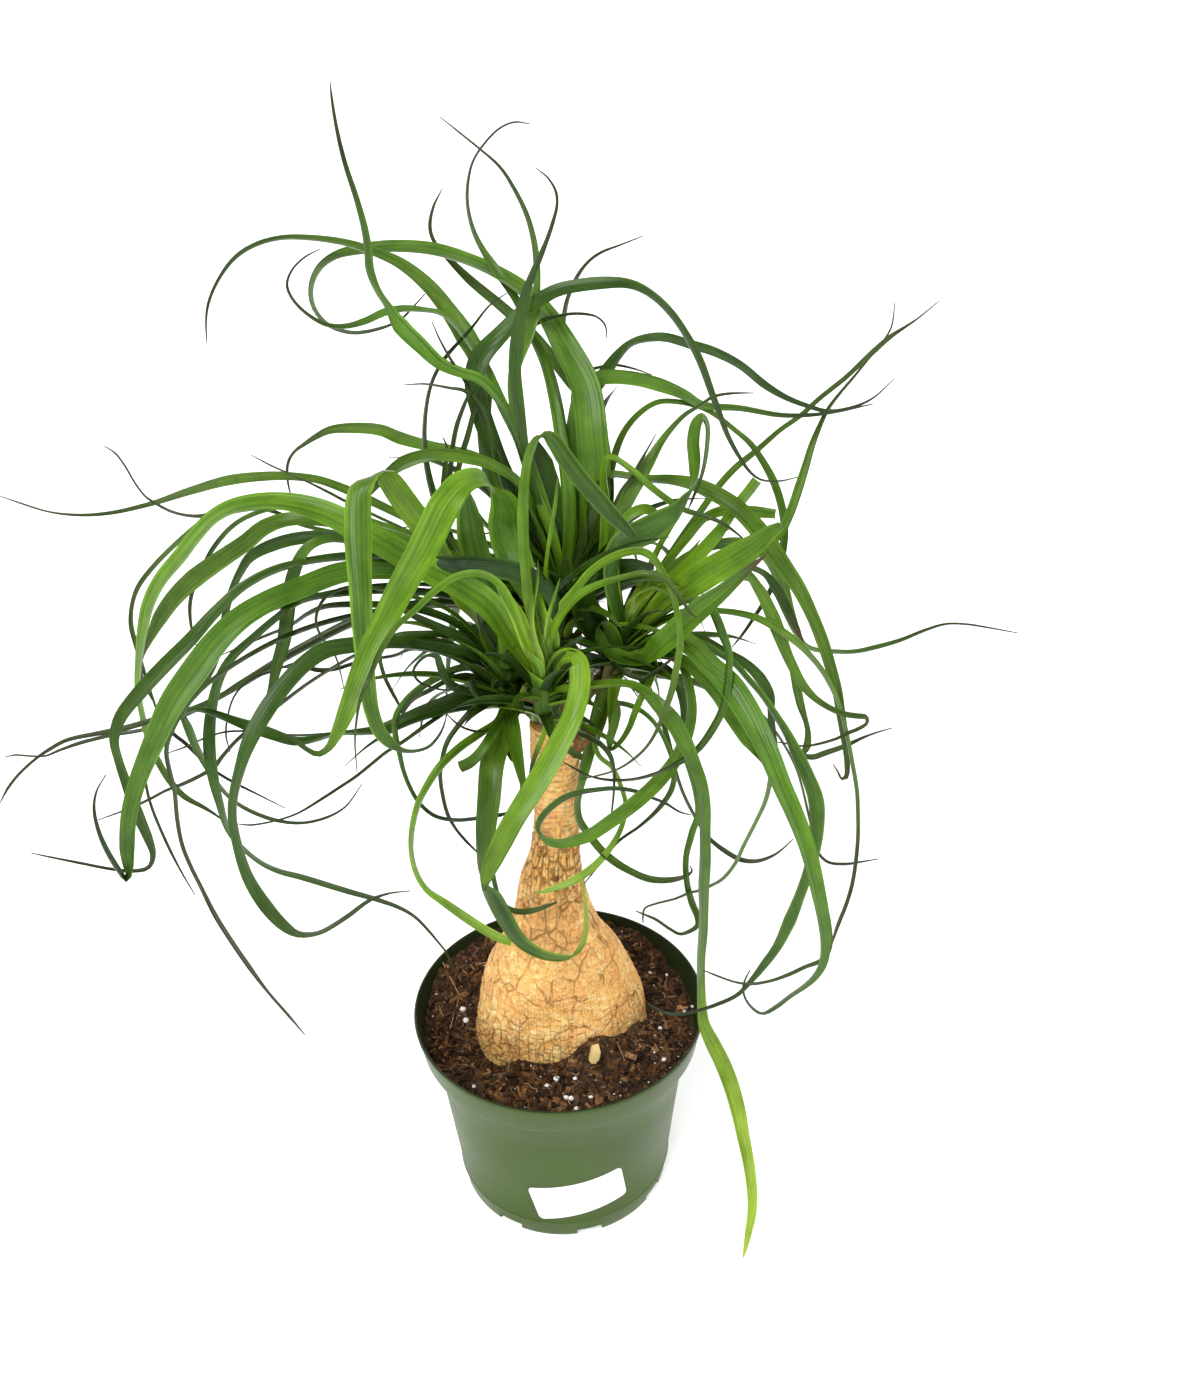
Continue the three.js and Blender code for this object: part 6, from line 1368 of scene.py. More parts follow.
# Upright leaf, right
leaf("right", 8, [16, 24, 40, 52], [
    [619, 622], [613, 580], [613, 545, 10], [618, 520, 12], [627, 500, 14], [637, 482, 14],
    [650, 460, 11], [662, 440, 7], [672, 427, 5], [685, 414, 4], [700, 405, 3], [712, 397, 3],
    [725, 394, 3], [740, 393, 2], [754, 393, 1]])
# Thin upright, right
leaf("right", 4, [20, 27, 34], [
    [620, 620], [614, 565], [614, 512, 6], [622, 492, 6], [632, 478, 5], [640, 463, 4], [647, 450, 2],
    [656, 434, 1]])
# Long arch to the right, hooked at its tip
leaf("back", 9, [31, 44, 46, 24, 10, 0], [
    [575, 592], [580, 545], [583, 505], [591, 482, 6], [602, 476, 6], [615, 473, 6], [630, 475, 6],
    [650, 478, 7], [668, 479, 9], [690, 483, 12], [710, 491, 15], [735, 506, 16], [755, 526, 17],
    [770, 546, 18], [785, 568, 16], [798, 587, 14], [812, 615, 12], [822, 640, 12], [830, 665, 11],
    [837, 690, 10], [841, 715, 9], [845, 740, 8], [847, 760, 6], [846, 777, 5], [842, 779, 3],
    [838, 772, 2], [833, 764, 1]])
# Leaf to the far right
leaf("right", 7, [16, 50, 75, 85, 95], [
    [632, 615], [655, 585], [690, 555], [730, 543], [760, 550, 12], [775, 565, 14], [783, 590, 13],
    [790, 615, 11], [799, 636, 7], [806, 645, 4], [815, 649, 4], [835, 651, 4], [855, 651, 4],
    [875, 647, 5], [900, 640, 4], [925, 630, 3], [945, 624, 2], [965, 624, 2], [985, 627, 2],
    [1018, 633, 1]], LOWERED)
# Arch that hangs inward
leaf("back", 4.5, [36, 90, 95, 75, 60], [
    [590, 570], [604, 500], [625, 430], [655, 403], [680, 402, 5], [705, 409, 5], [720, 418, 5],
    [735, 430, 5], [750, 443, 6], [762, 460, 7], [773, 480, 8], [780, 500, 8], [784, 520, 8],
    [784, 540, 8], [782, 556, 7], [777, 575, 6], [768, 595, 5], [755, 616, 4], [742, 635, 3],
    [732, 647, 1]])
# Straight leaf to the upper right
leaf("right", 4.5, [18, 70, 120, 160, 180], [
    [628, 615], [645, 590], [660, 570], [685, 533], [703, 508, 7], [718, 487, 7], [735, 468, 7],
    [757, 450, 6], [780, 430, 5], [800, 416, 5], [820, 398, 5], [845, 378, 5], [860, 364, 5],
    [875, 350, 6], [890, 337, 5], [905, 327, 3], [917, 319, 2], [939, 301, 1]])
# Leaf beside it
leaf("right", 5, [15, 30, 70, 110, 120], [
    [634, 632], [665, 608], [700, 588], [740, 566], [768, 545, 8], [780, 533, 9], [790, 513, 9],
    [799, 487, 9], [806, 465, 8], [812, 445, 7], [820, 425, 5], [828, 409, 4], [840, 393, 3],
    [852, 379, 3], [866, 362, 2], [880, 345, 2], [891, 328, 2], [895, 302, 1]])
# Cut leaf
leaf("right", 6, [16, 55, 70], [
    [630, 618], [655, 580], [685, 540], [705, 518, 9], [722, 511, 10], [740, 511, 11], [757, 512, 11],
    [776, 514, 9]], YOUNG)
# Pale cut leaf
leaf("right", 5, [13, 15, 22], [
    [620, 615, 6], [616, 575, 7], [617, 540, 8], [624, 521, 9], [634, 512, 10], [646, 509, 10],
    [656, 514, 8]], YOUNG)
# Leaf with a squared fold
leaf("right", 6, [15, 8, 0, -5, 0], [
    [634, 632], [665, 608], [700, 583], [733, 567, 6], [748, 574, 8], [758, 588, 10], [767, 605, 11],
    [775, 625, 12], [783, 645, 11], [792, 665, 10], [803, 685, 9], [815, 698, 7], [830, 708, 6],
    [845, 714, 6], [858, 716, 6], [866, 717, 5], [867, 723, 4], [858, 729, 4], [848, 733, 4],
    [838, 738, 3], [822, 743, 3], [805, 746, 2], [790, 744, 2], [777, 742, 1]])
# Twisted leaf
leaf("right", 5, [15, 20, 20, 18], [
    [634, 628], [675, 600], [725, 577], [757, 582], [774, 610], [786, 645, 7], [793, 668, 8],
    [797, 688, 9], [801, 706, 8], [806, 722, 5], [808, 733, 6], [807, 746, 8], [804, 755, 5],
    [813, 757, 6], [825, 753, 6], [845, 746, 5], [862, 738, 3], [875, 733, 2], [892, 728, 1]])
# Dark leaf
leaf("right", 6, [16, 35, 40], [
    [634, 622], [675, 590], [730, 565], [762, 572, 6], [777, 590, 10], [788, 612, 10], [797, 630, 7],
    [804, 643, 1]], DEEP)
# Outermost hanging leaf, right
leaf("right", 5, [15, 0, 0, -10, -20], [
    [634, 636], [660, 620], [695, 608, 5], [718, 610, 5], [735, 612, 6], [755, 617, 7], [775, 627, 8],
    [790, 637, 8], [805, 650, 6], [820, 667, 5], [830, 683, 5], [839, 703, 4], [847, 733, 4],
    [853, 765, 4], [857, 790, 4], [858, 815, 4], [858, 835, 4], [856, 860, 4], [852, 885, 4],
    [846, 905, 4], [838, 925, 4], [832, 943, 2]])
# Biggest hanging leaf at the right
leaf("right", 12, [12, -25, -60, -85, -95, -90], [
    [634, 648, 12], [650, 641, 14], [672, 638, 18], [690, 645, 20], [710, 665, 20], [730, 685, 24],
    [745, 707, 24], [758, 730, 22], [770, 755, 20], [782, 785, 18], [793, 810, 17], [803, 835, 16],
    [811, 860, 15], [818, 890, 14], [824, 920, 12], [826, 945, 10], [823, 965, 8], [815, 978, 6],
    [805, 987, 4], [790, 997, 3], [775, 1008, 4], [762, 1014, 3], [752, 1008, 2], [745, 998, 2],
    [743, 988, 2], [745, 980, 2], [750, 970, 1]], LOWERED)
# Leaf behind it
leaf("right", 5, [12, -10, -40, -65, -68, -60], [
    [632, 652], [660, 652], [695, 672], [728, 705], [758, 748], [785, 790, 6], [800, 825, 8],
    [813, 865, 8], [821, 895, 8], [828, 925, 7], [829, 948, 6], [822, 960, 5], [805, 967, 4],
    [790, 974, 4], [770, 981, 3], [750, 984, 3], [735, 982, 2], [715, 975, 2], [703, 970, 1]])
# Leaf under it with a long thread
leaf("right", 8, [9, -17, -36, -38, -26], [
    [630, 655], [655, 650, 8], [680, 658, 10], [700, 675, 12], [718, 695, 13], [732, 715, 16],
    [748, 738, 16], [763, 757, 10], [771, 772, 4], [770, 788, 3], [765, 805, 3], [757, 822, 2],
    [745, 845, 2], [735, 865, 2], [722, 880, 2], [711, 886, 2], [699, 891, 2], [690, 893, 2],
    [675, 899, 2], [655, 904, 2], [645, 908, 2], [643, 915, 2], [643, 923, 1]])
# Short dark leaf
leaf("right", 5, [14, 3, -6], [
    [634, 641], [660, 634], [685, 634, 6], [705, 640, 7], [722, 650, 8], [745, 663, 9], [760, 678, 11],
    [770, 695, 9], [771, 712, 7], [772, 730, 8], [776, 746, 4], [779, 760, 1]], DEEP)
# Hanging leaf swept in over the pot
leaf("right", 7.5, [14, -8, -25, -45, -50, -35], [
    [634, 644], [655, 636, 6], [685, 638, 7], [705, 645, 7], [722, 654, 5], [735, 663, 5], [750, 680, 5],
    [763, 695, 5], [776, 714, 6], [787, 732, 8], [798, 755, 12], [808, 777, 13], [816, 800, 15],
    [817, 825, 14], [814, 850, 12], [808, 872, 10], [800, 895, 10], [790, 920, 12], [777, 947, 9],
    [763, 966, 8], [750, 982, 5], [737, 995, 4], [718, 1004, 4], [700, 1010, 3], [683, 1014, 3],
    [665, 1013, 3], [647, 1003, 1]])
# Leaf that hangs over the rim and down beside the pot
leaf("front", 8, [-24, -34, -50, -58, -54, -44, -32, -44, -65, -88, -98], [
    [560, 688], [575, 687, 5], [590, 684, 5], [610, 682, 5], [630, 683, 6], [643, 690, 9],
    [657, 703, 14], [672, 720, 17], [685, 742, 15], [695, 765, 12], [702, 785, 11], [705, 810, 11],
    [705, 835, 10], [705, 860, 11], [704, 885, 11], [704, 910, 9], [703, 935, 9], [701, 960, 8],
    [701, 985, 8], [702, 1008, 9], [704, 1024, 11], [712, 1042, 14], [722, 1062, 15], [731, 1085, 15],
    [738, 1110, 14], [744, 1140, 12], [749, 1165, 11], [752, 1190, 10], [752, 1212, 9], [748, 1235, 7],
    [745, 1250, 4], [743, 1258, 1]], RIPENING)
# Thin hanging leaf
leaf("right", 4.5, [14, -15, -32, -36], [
    [628, 660], [645, 685], [670, 725], [690, 770], [698, 812, 6], [692, 833, 7], [686, 858, 6],
    [687, 883, 6], [692, 903, 7], [698, 918, 7], [697, 926, 5], [688, 932, 4], [680, 934, 3],
    [670, 929, 3], [655, 919, 3], [643, 914, 2], [636, 911, 1]])
# Thin sagging leaf
leaf("right", 3.5, [14, -8, -15, -20], [
    [630, 658], [650, 690], [667, 735], [678, 778, 3], [685, 797, 3], [697, 820, 3], [708, 837, 4],
    [725, 851, 5], [742, 860, 5], [757, 861, 4], [770, 857, 3], [780, 851, 2], [793, 839, 1]], DULL)
# Leaf swept in across the neck
leaf("right", 5, [12, -12, -32, -45, -40], [
    [636, 632], [665, 610], [690, 600], [708, 603, 8], [716, 617, 9], [723, 635, 9], [729, 652, 7],
    [728, 680, 8], [723, 708, 8], [712, 730, 8], [697, 750, 7], [680, 762, 6], [660, 772, 4],
    [635, 779, 3], [610, 780, 3], [590, 776, 2], [572, 767, 2], [563, 762, 1]])
# Thread, right
leaf("right", 3.5, [14, 5, 5, -5], [
    [634, 655], [690, 662], [750, 702], [793, 760], [810, 820], [818, 852, 3], [828, 862, 3],
    [845, 864, 3], [860, 862, 2], [878, 859, 1]], DULL)
# Broad leaf behind the biggest front leaf
leaf("left", 12, [0, 8, 14], [
    [505, 612], [491, 585, 22], [479, 562, 26], [472, 540, 27], [469, 520, 24], [467, 503, 16],
    [466, 492, 8]], BRIGHT)
# Dark leaf level to the left
leaf("front", 10, [-12, -11, -15, -15, -8], [
    [552, 645], [556, 617, 8], [552, 597, 13], [540, 582, 16], [520, 573, 19], [495, 568, 20],
    [468, 566, 20], [444, 563, 14], [422, 558, 5]], DEEP)
# Broad dark leaf behind the upright one
leaf("back", 14, [33, 38, 46, 54], [
    [592, 612], [585, 590, 24], [577, 566, 30], [566, 545, 32], [555, 522, 33], [547, 500, 32],
    [542, 480, 31], [539, 462, 26], [537, 449, 14], [536, 441, 5]], DEEP)
# Dark leaf level to the right
leaf("back", 11, [32, 26, 20, 18], [
    [562, 600], [574, 587, 18], [592, 578, 22], [612, 571, 22], [634, 567, 16], [654, 567, 5]], DEEP)
# Thin dark leaf beside it
leaf("back", 6, [30, 34, 42], [
    [575, 600], [562, 580, 10], [549, 560, 11], [540, 545, 10], [534, 530, 6], [530, 518, 2]], DEEP)
# Short broad leaf by the neck
leaf("right", 11, [15, 10, 4], [
    [612, 650], [598, 640, 16], [588, 622, 22], [584, 602, 24], [588, 585, 18], [596, 572, 6]], DEEP)


def random_from(seed):
    """Repeatable random numbers from 0 to 1, the same as for the solids."""
    state = seed
    while True:
        state = (state * 1664525 + 1013904223) % 4294967296
        yield state / 4294967296


def add_far_leaves():
    """Leaves that arch over the side that the view doesn't show."""
    luck = random_from(FAR_SEED)
    for shoot, count, first, last in FAR_LEAVES:
        for i in range(count):
            turn = math.radians(first + (last - first) * (i + 0.5) / count + 8 * (next(luck) - 0.5))
            reach = 105 + 55 * next(luck)
            rise = 10 + 14 * next(luck)
            drop = 35 + 75 * next(luck)
            swerve = 40 * (next(luck) - 0.5)
            core = np.array(SHOOTS[shoot][0], float)
            points = [core]
            for out, up, down in FAR_COURSE:
                points.append(
                    core
                    + out * reach * np.array([math.cos(turn), math.sin(turn), 0.0])
                    + out * out * swerve * np.array([-math.sin(turn), math.cos(turn), 0.0])
                    + np.array([0.0, 0.0, up * rise - down * drop])
                )
            blades[shoot].append(make_blade(np.array(points), [], 8, MID))


add_far_leaves()
add_inner_leaves()
add_sheaths()


def wall_radius(z):
    """The pot's outer radius below the band, at a height."""
    return FOOT_RADIUS + (WALL_TOP_RADIUS - FOOT_RADIUS) * z / (POT_HEIGHT - BAND_HEIGHT)


def make_pot(material):
    """The pot's shell, turned finely, with soft edges and its notches pressed in at the foot."""
    band_foot = POT_HEIGHT - BAND_HEIGHT
    ledge = wall_radius(LEDGE_HEIGHT)
    profile = [
        (0.01, 0),
        (NOTCH_RADIUS - 4, 0),
        (FOOT_RADIUS - 1.6, 0),
        (FOOT_RADIUS - 0.5, 0.4),
        (FOOT_RADIUS, 1.5),
        (ledge - 0.5, LEDGE_HEIGHT - 1.3),
        (ledge + 0.45, LEDGE_HEIGHT - 0.5),
        (ledge + 0.6, LEDGE_HEIGHT),
        (ledge + 0.4, LEDGE_HEIGHT + 0.5),
        (wall_radius(LEDGE_HEIGHT + 1.4), LEDGE_HEIGHT + 1.4),
        (wall_radius(45), 45),
        (wall_radius(80), 80),
        (WALL_TOP_RADIUS - 0.3, band_foot - 1.5),
        (WALL_TOP_RADIUS + 0.4, band_foot - 0.3),
        (BAND_FOOT_RADIUS - 0.8, band_foot + 0.5),
        (BAND_FOOT_RADIUS - 0.1, band_foot + 1.0),
        (BAND_FOOT_RADIUS + 0.3, band_foot + 2.0),
        (RIM_RADIUS - 0.9, POT_HEIGHT - 3.6),
        (RIM_RADIUS - 0.3, POT_HEIGHT - 3.0),
        (RIM_RADIUS, POT_HEIGHT - 1.0),
        (RIM_RADIUS - 0.25, POT_HEIGHT - 0.2),
        (RIM_RADIUS - 0.8, POT_HEIGHT),
        (RIM_RADIUS - 1.3, POT_HEIGHT - 0.2),
        (RIM_RADIUS - 1.6, POT_HEIGHT - 0.9),
        (BAND_FOOT_RADIUS - 1.4, band_foot + 2.6),
        (BAND_FOOT_RADIUS - 2.0, band_foot + 1.9),
        (wall_radius(band_foot) - WALL + 0.4, band_foot + 0.5),
        (wall_radius(band_foot) - WALL, band_foot),
        (wall_radius(9) - WALL, 9),
        (FOOT_RADIUS - 3.5, 7.2),
        (FOOT_RADIUS - 12, FLOOR),
        (0.01, FLOOR),
    ]
    points, faces = turned(profile, POT_SIDES)
    pot = make_piece("pot_shell", points, [faces], crease=35)
    cutters = []
    for i in range(NOTCH_COUNT):
        bpy.ops.mesh.primitive_cube_add(size=1)
        cutter = bpy.context.object
        turn = math.radians(NOTCH_TURN + 360 * i / NOTCH_COUNT)
        reach = (NOTCH_RADIUS + NOTCH_LENGTH / 2) * MM
        cutter.location = (reach * math.cos(turn), reach * math.sin(turn), 0)
        cutter.rotation_euler = (0, 0, turn)
        cutter.scale = (NOTCH_LENGTH * MM, NOTCH_WIDTH * MM, 2 * NOTCH_HEIGHT * MM)
        cutters.append(cutter)
        cut = pot.modifiers.new("notch", "BOOLEAN")
        cut.operation = "DIFFERENCE"
        cut.object = cutter
    bpy.context.view_layer.update()
    shaped = bpy.data.meshes.new_from_object(pot.evaluated_get(bpy.context.evaluated_depsgraph_get()))
    pot.modifiers.clear()
    pot.data = shaped
    for cutter in cutters:
        bpy.data.objects.remove(cutter)
    colour_pot(shaped)
    return finish_piece(pot, material, "pot_plastic", "pot")


def colour_pot(mesh):
    """Green outside, with painted shade in a darker green on the rim's top and down the inside."""
    outside = linear(*POT_OUTSIDE)
    inside = linear(*POT_PAINTED_SHADE)
    layer = mesh.color_attributes.new("tint", "FLOAT_COLOR", "POINT")
    for vertex, colour in zip(mesh.vertices, layer.data):
        x, y, z = vertex.co / MM
        radius = math.hypot(x, y)
        if z < POT_HEIGHT - BAND_HEIGHT:
            edge = wall_radius(z)
        else:
            share = (z - POT_HEIGHT + BAND_HEIGHT) / BAND_HEIGHT
            edge = BAND_FOOT_RADIUS + (RIM_RADIUS - BAND_FOOT_RADIUS) * share
        # Painted shade: darker down the inside wall and floor, and on the rim's top.
        dark = float(smoothstep(-radius, 0.7 - edge, 1.3 - edge)) if z > FLOOR - 0.1 else 0.0
        dark = max(dark, float(smoothstep(z, POT_HEIGHT - 0.6, POT_HEIGHT - 0.1)))
        colour.color = (*(outside + (inside - outside) * dark), 1.0)


def bent_round_pot(along, up, out):
    """A point of the sticker's flat sheet, bent round the pot's wall."""
    tilt = math.radians(LABEL_TILT)
    level = along * math.cos(tilt) - up * math.sin(tilt)
    z = LABEL_HEIGHT + along * math.sin(tilt) + up * math.cos(tilt)
    radius = wall_radius(z) + LABEL_GAP + out
    turn = math.radians(LABEL_TURN) + level / wall_radius(LABEL_HEIGHT)
    return (radius * math.cos(turn), radius * math.sin(turn), z)


def make_label(material):
    """The blank sticker: a thin rounded sheet on the wall."""
    columns = LABEL_COLUMNS
    rows = LABEL_ROWS
    half_length = LABEL_LENGTH / 2
    half_width = LABEL_WIDTH / 2
    points = []
    for out in (0.0, LABEL_THICKNESS):
        for i in range(columns + 1):
            along = -half_length + LABEL_LENGTH * i / columns
            into = max(abs(along) - (half_length - LABEL_CORNER), 0.0)
            reach = half_width - LABEL_CORNER + math.sqrt(max(LABEL_CORNER**2 - into**2, 0.01))
            for k in range(rows + 1):
                points.append(bent_round_pot(along, reach * (2 * k / rows - 1), out))
    layer = (columns + 1) * (rows + 1)
    faces = []
    for i in range(columns):
        for k in range(rows):
            a = i * (rows + 1) + k
            b = a + rows + 1
            faces.append((a, a + 1, b + 1, b))
            faces.append((layer + a, layer + b, layer + b + 1, layer + a + 1))
    border = [i * (rows + 1) for i in range(columns + 1)]
    border += [columns * (rows + 1) + k for k in range(1, rows + 1)]
    border += [i * (rows + 1) + rows for i in range(columns - 1, -1, -1)]
    border += [k for k in range(rows - 1, 0, -1)]
    for a, b in zip(border, border[1:] + border[:1]):
        faces.append((a, b, layer + b, layer + a))
    label = make_piece("label_sheet", points, [faces], crease=40)
    return finish_piece(label, material, "label_paper", "label")


def trunk_radii(z):
    """The trunk's middle in x, its middle in y, its half width and its half depth at heights."""
    rings = np.array(TRUNK_RINGS, float)
    fine = smooth_course(rings, 10)
    middle = np.interp(z, fine[:, 0], fine[:, 1])
    half = np.interp(z, fine[:, 0], fine[:, 2])
    low = smoothstep(-z, -190, -130)
    return middle, 4 * low, half, half * (1 - 0.2 * low)


def cell_edge(x, y, z):
    """How far a point is from the border between two cells of a cell pattern."""
    distances, middles = noise.voronoi(Vector((x, y, z)))
    apart = max((middles[1] - middles[0]).length, 0.05)
    return (distances[1] ** 2 - distances[0] ** 2) / (2 * apart)


def bark_lines(x, y, z):
    """How deep the bark is cracked at a place, by plates low down and by long fissures, and the
    patch that it is part of."""
    wander = 0.6 * noise.noise(Vector((x / 8, y / 8, z / 8)))
    patch = noise.noise(Vector((x / 15 + 7, y / 15, z / 15)))
    low = 1 - float(smoothstep(z, 114, 138))
    plate = cell_edge(x / 6 + 0.3 * wander, y / 6, z / 6.5)
    plates = float(smoothstep(-plate, -0.1, -0.015)) * max(low, 0.2)
    fissure = cell_edge(x / 5 + 0.4 * wander, y / 5 + 0.4 * wander, z / 15)
    fissures = float(smoothstep(-fissure, -0.13, -0.02))
    fissures *= 0.35 * float(smoothstep(z, 146, 176)) + 0.65 * float(smoothstep(z, 204, 226))
    long = cell_edge(x / 11 + 0.5 * wander, y / 11 + 0.4 * wander, z / 14 + 0.3 * wander)
    splits = float(smoothstep(-long, -0.05, -0.012)) * max(low, float(smoothstep(-patch, -0.3, 0.0)))
    return max(0.85 * plates, fissures, splits), patch


def ring_lines(x, y, z):
    """The ring scars of old leaves round the neck."""
    level = z / 3.3 + 0.7 * noise.noise(Vector((x / 11, y / 11, z / 7)))
    level += 0.25 * noise.noise(Vector((x / 3, y / 3, z / 3)))
    scar = (0.5 + 0.5 * math.cos(2 * math.pi * level)) ** 3
    broken = 0.7 + 0.9 * noise.noise(Vector((x / 6 + 5, y / 6, z / 2.2)))
    return scar * min(max(broken, 0.0), 1.0)


def make_trunk(material):
    """The trunk with its bark: plates between cracks low down, long fissures above them, and
    ring scars round the neck."""
    heights = np.linspace(TRUNK_FOOT, TRUNK_TOP, TRUNK_ROWS)
    turns = np.linspace(0, 2 * math.pi, TRUNK_SIDES, endpoint=False)
    middle, back, half, depth = trunk_radii(heights)
    points = np.empty((TRUNK_ROWS, TRUNK_SIDES, 3))
    tint = np.empty((TRUNK_ROWS, TRUNK_SIDES, 3))
    tan = linear(*BARK_TAN)
    pale = linear(*BARK_PAINTED_HIGHLIGHT)
    dark = linear(*BARK_DARK)
    mossy = linear(*BARK_MOSSY)
    reddish = linear(*BARK_REDDISH)
    knot = seen_at(*KNOT)
    for row, z in enumerate(heights):
        rings = float(smoothstep(z, 240, 266))
        for side, turn in enumerate(turns):
            lump = 1 + 0.012 * math.sin(3 * turn + z / 23) + 0.012 * math.sin(5 * turn - z / 11)
            x = middle[row] + half[row] * lump * math.cos(turn)
            y = back[row] + depth[row] * lump * math.sin(turn)
            crack, patch = bark_lines(x, y, z)
            ring_line = ring_lines(x, y, z) * rings if rings else 0.0
            swell = noise.noise(Vector((x / 3.4, y / 3.4, z / 3.8)))
            rough = noise.noise(Vector((x / 1.5, y / 1.5, z / 1.7)))
            crack *= 1 - 0.85 * rings
            inward = 0.75 * crack + 0.35 * ring_line - 0.5 * swell - 0.25 * rough
            scale = 1 - inward / half[row]
            points[row, side] = (
                middle[row] + half[row] * lump * scale * math.cos(turn),
                back[row] + depth[row] * lump * scale * math.sin(turn),
                z,
            )
            # Painted highlight: the bark turns pale where it swells out and on the lower trunk.
            light = 0.12 + 1.3 * swell + 0.6 * rough + 0.3 * (1 - float(smoothstep(z, 112, 150)))
            shade = tan + (pale - tan) * min(max(light, 0), 1)
            shade = shade + (reddish - shade) * min(max(0.4 - 1.5 * patch, 0), 1) * 0.6
            low = float(smoothstep(-z, -124, -108)) * min(max(0.5 + 1.2 * swell, 0), 1)
            shade = shade + (mossy - shade) * 0.6 * low
            scar = 1 - float(smoothstep(np.linalg.norm((knot - (x, y, z)) / KNOT_SIZE), 0.6, 1.1))
            line = min(0.72 * crack + 0.55 * ring_line + 0.9 * scar, 1)
            tint[row, side] = shade + (dark - shade) * line
    points = points.reshape(-1, 3)
    tint = tint.reshape(-1, 3)
    faces = [tube_faces(TRUNK_ROWS, TRUNK_SIDES), cap_faces(TRUNK_ROWS, TRUNK_SIDES)]
    trunk = make_piece("trunk_bark", points, faces, tint, crease=60)
    return finish_piece(trunk, material, "bark", "trunk")


def make_stub(material):
    """What is left of a shoot that was cut: a ragged brown end."""
    start = np.array(STUB_FROM)
    ahead = unit(np.array(STUB_TO) - start)
    length = float(np.linalg.norm(np.array(STUB_TO) - start))
    side = unit(np.cross([0.0, 1.0, 0.0], ahead))
    other = np.cross(ahead, side)
    light = linear(*STUB_LIGHT)
    dark = linear(*STUB_DARK)
    points = []
    tint = []
    for row in range(STUB_ROWS):
        share = row / (STUB_ROWS - 1)
        along = min(share / STUB_SHOULDER, 1.0)
        closing = max(share - STUB_SHOULDER, 0.0) / (1 - STUB_SHOULDER)
        for k in range(STUB_SIDES):
            turn = 2 * math.pi * k / STUB_SIDES
            flat = side * math.cos(turn) + other * math.sin(turn)
            radius = STUB_FOOT + (STUB_TIP - STUB_FOOT) * along
            radius *= math.sqrt(max(1 - closing**2, 0.0004))
            spot = start + ahead * length * along + flat * radius
            rough = noise.noise(Vector(spot / 2.2))
            lump = noise.noise(Vector(spot / 5.0))
            points.append(spot + flat * (0.5 * rough + 0.7 * lump) + ahead * 0.8 * rough * closing)
            tint.append(np.clip(light + (dark - light) * (0.5 + rough), 0, 1))
    faces = [tube_faces(STUB_ROWS, STUB_SIDES), cap_faces(STUB_ROWS, STUB_SIDES)]
    stub = make_piece("cut_stub", points, faces, tint, crease=60)
    return finish_piece(stub, material, "bark", "trunk")


def soil_height(x, y):
    """The height of the soil's top."""
    level = 0.0
    for heap_x, heap_y, height, spread in HEAPS:
        away = math.hypot(x - heap_x, y - heap_y) / spread
        level += height * math.exp(-away * away)
    near_wall = float(smoothstep(math.hypot(x, y), 62, 71))
    level += (min(max(level, -WALL_RISE), WALL_RISE) - level) * near_wall
    level += BACK_RISE * float(smoothstep(y - 0.3 * x, 5, 60))
    waves = 1.1 * math.sin(x / 7 + 1) * math.cos(y / 9) + 0.7 * math.sin((x - y) / 4.3)
    return SOIL_HEIGHT + level + waves


def make_soil(material):
    """The soil's body, with a crumbly top."""
    outer = SOIL_OUTER_RADIUS
    radii = np.linspace(SOIL_HOLE_RADIUS, outer, SOIL_RINGS)
    turns = np.linspace(0, 2 * math.pi, SOIL_SIDES, endpoint=False)
    points = []
    tint = []
    brown = linear(*SOIL_BROWN)
    black = linear(*SOIL_BLACK)
    wall = [(FLOOR + 0.4, SOIL_HOLE_RADIUS), (FLOOR + 0.4, 48), (9, 58.5), (105, 70)]
    for z, radius in wall:
        for turn in turns:
            points.append((radius * math.cos(turn), radius * math.sin(turn), z))
            tint.append(black)
    for radius in radii[::-1]:
        for turn in turns:
            x = radius * math.cos(turn)
            y = radius * math.sin(turn)
            crumb = noise.noise(Vector((x / 3.2, y / 3.2, 3)))
            grain = noise.noise(Vector((x / 1.3, y / 1.3, 8)))
            z = soil_height(x, y)
            reach = 1 + 0.2 * max(z - SOIL_HEIGHT, 0) / outer * float(smoothstep(radius, 66, outer))
            points.append((x * reach, y * reach, z - 0.6 + 1.1 * crumb + 0.5 * grain))
            tint.append(black + (brown - black) * min(max(0.35 + crumb + 0.5 * grain, 0), 1))
    rows = len(wall) + SOIL_RINGS
    faces = [tube_faces(rows, SOIL_SIDES), cap_faces(rows, SOIL_SIDES)]
    soil = make_piece("soil_body", points, faces, tint, crease=70)
    return finish_piece(soil, material, "soil_mix", "soil")


def free_spot(luck, margin):
    """A random place on the soil, clear of the trunk and the wall by a margin."""
    middle_x, middle_y = TRUNK_FOOT_MIDDLE
    half_x, half_y = TRUNK_FOOT_HALF
    while True:
        radius = BITS_RADIUS * math.sqrt(luck.random())
        turn = luck.uniform(0, 2 * math.pi)
        x = radius * math.cos(turn)
        y = radius * math.sin(turn)
        around = math.hypot((x - middle_x) / (half_x + margin), (y - middle_y) / (half_y + margin))
        if around > 1 and radius + margin < BITS_LIMIT:
            return x, y


def crumb_shape(luck, size, flatness):
    """A rough block: the corners of a box, knocked about and tipped."""
    corners = []
    for signs in itertools.product((-1, 1), repeat=3):
        corners.append([sign * half * luck.uniform(0.6, 1.1) for sign, half in zip(signs, size)])
    turn = Matrix.Rotation(luck.uniform(0, 2 * math.pi), 3, "Z")
    tip = Matrix.Rotation(luck.gauss(0, flatness), 3, "X")
    lean = Matrix.Rotation(luck.gauss(0, flatness), 3, "Y")
    return np.array([turn @ (tip @ lean) @ Vector(corner) for corner in corners])


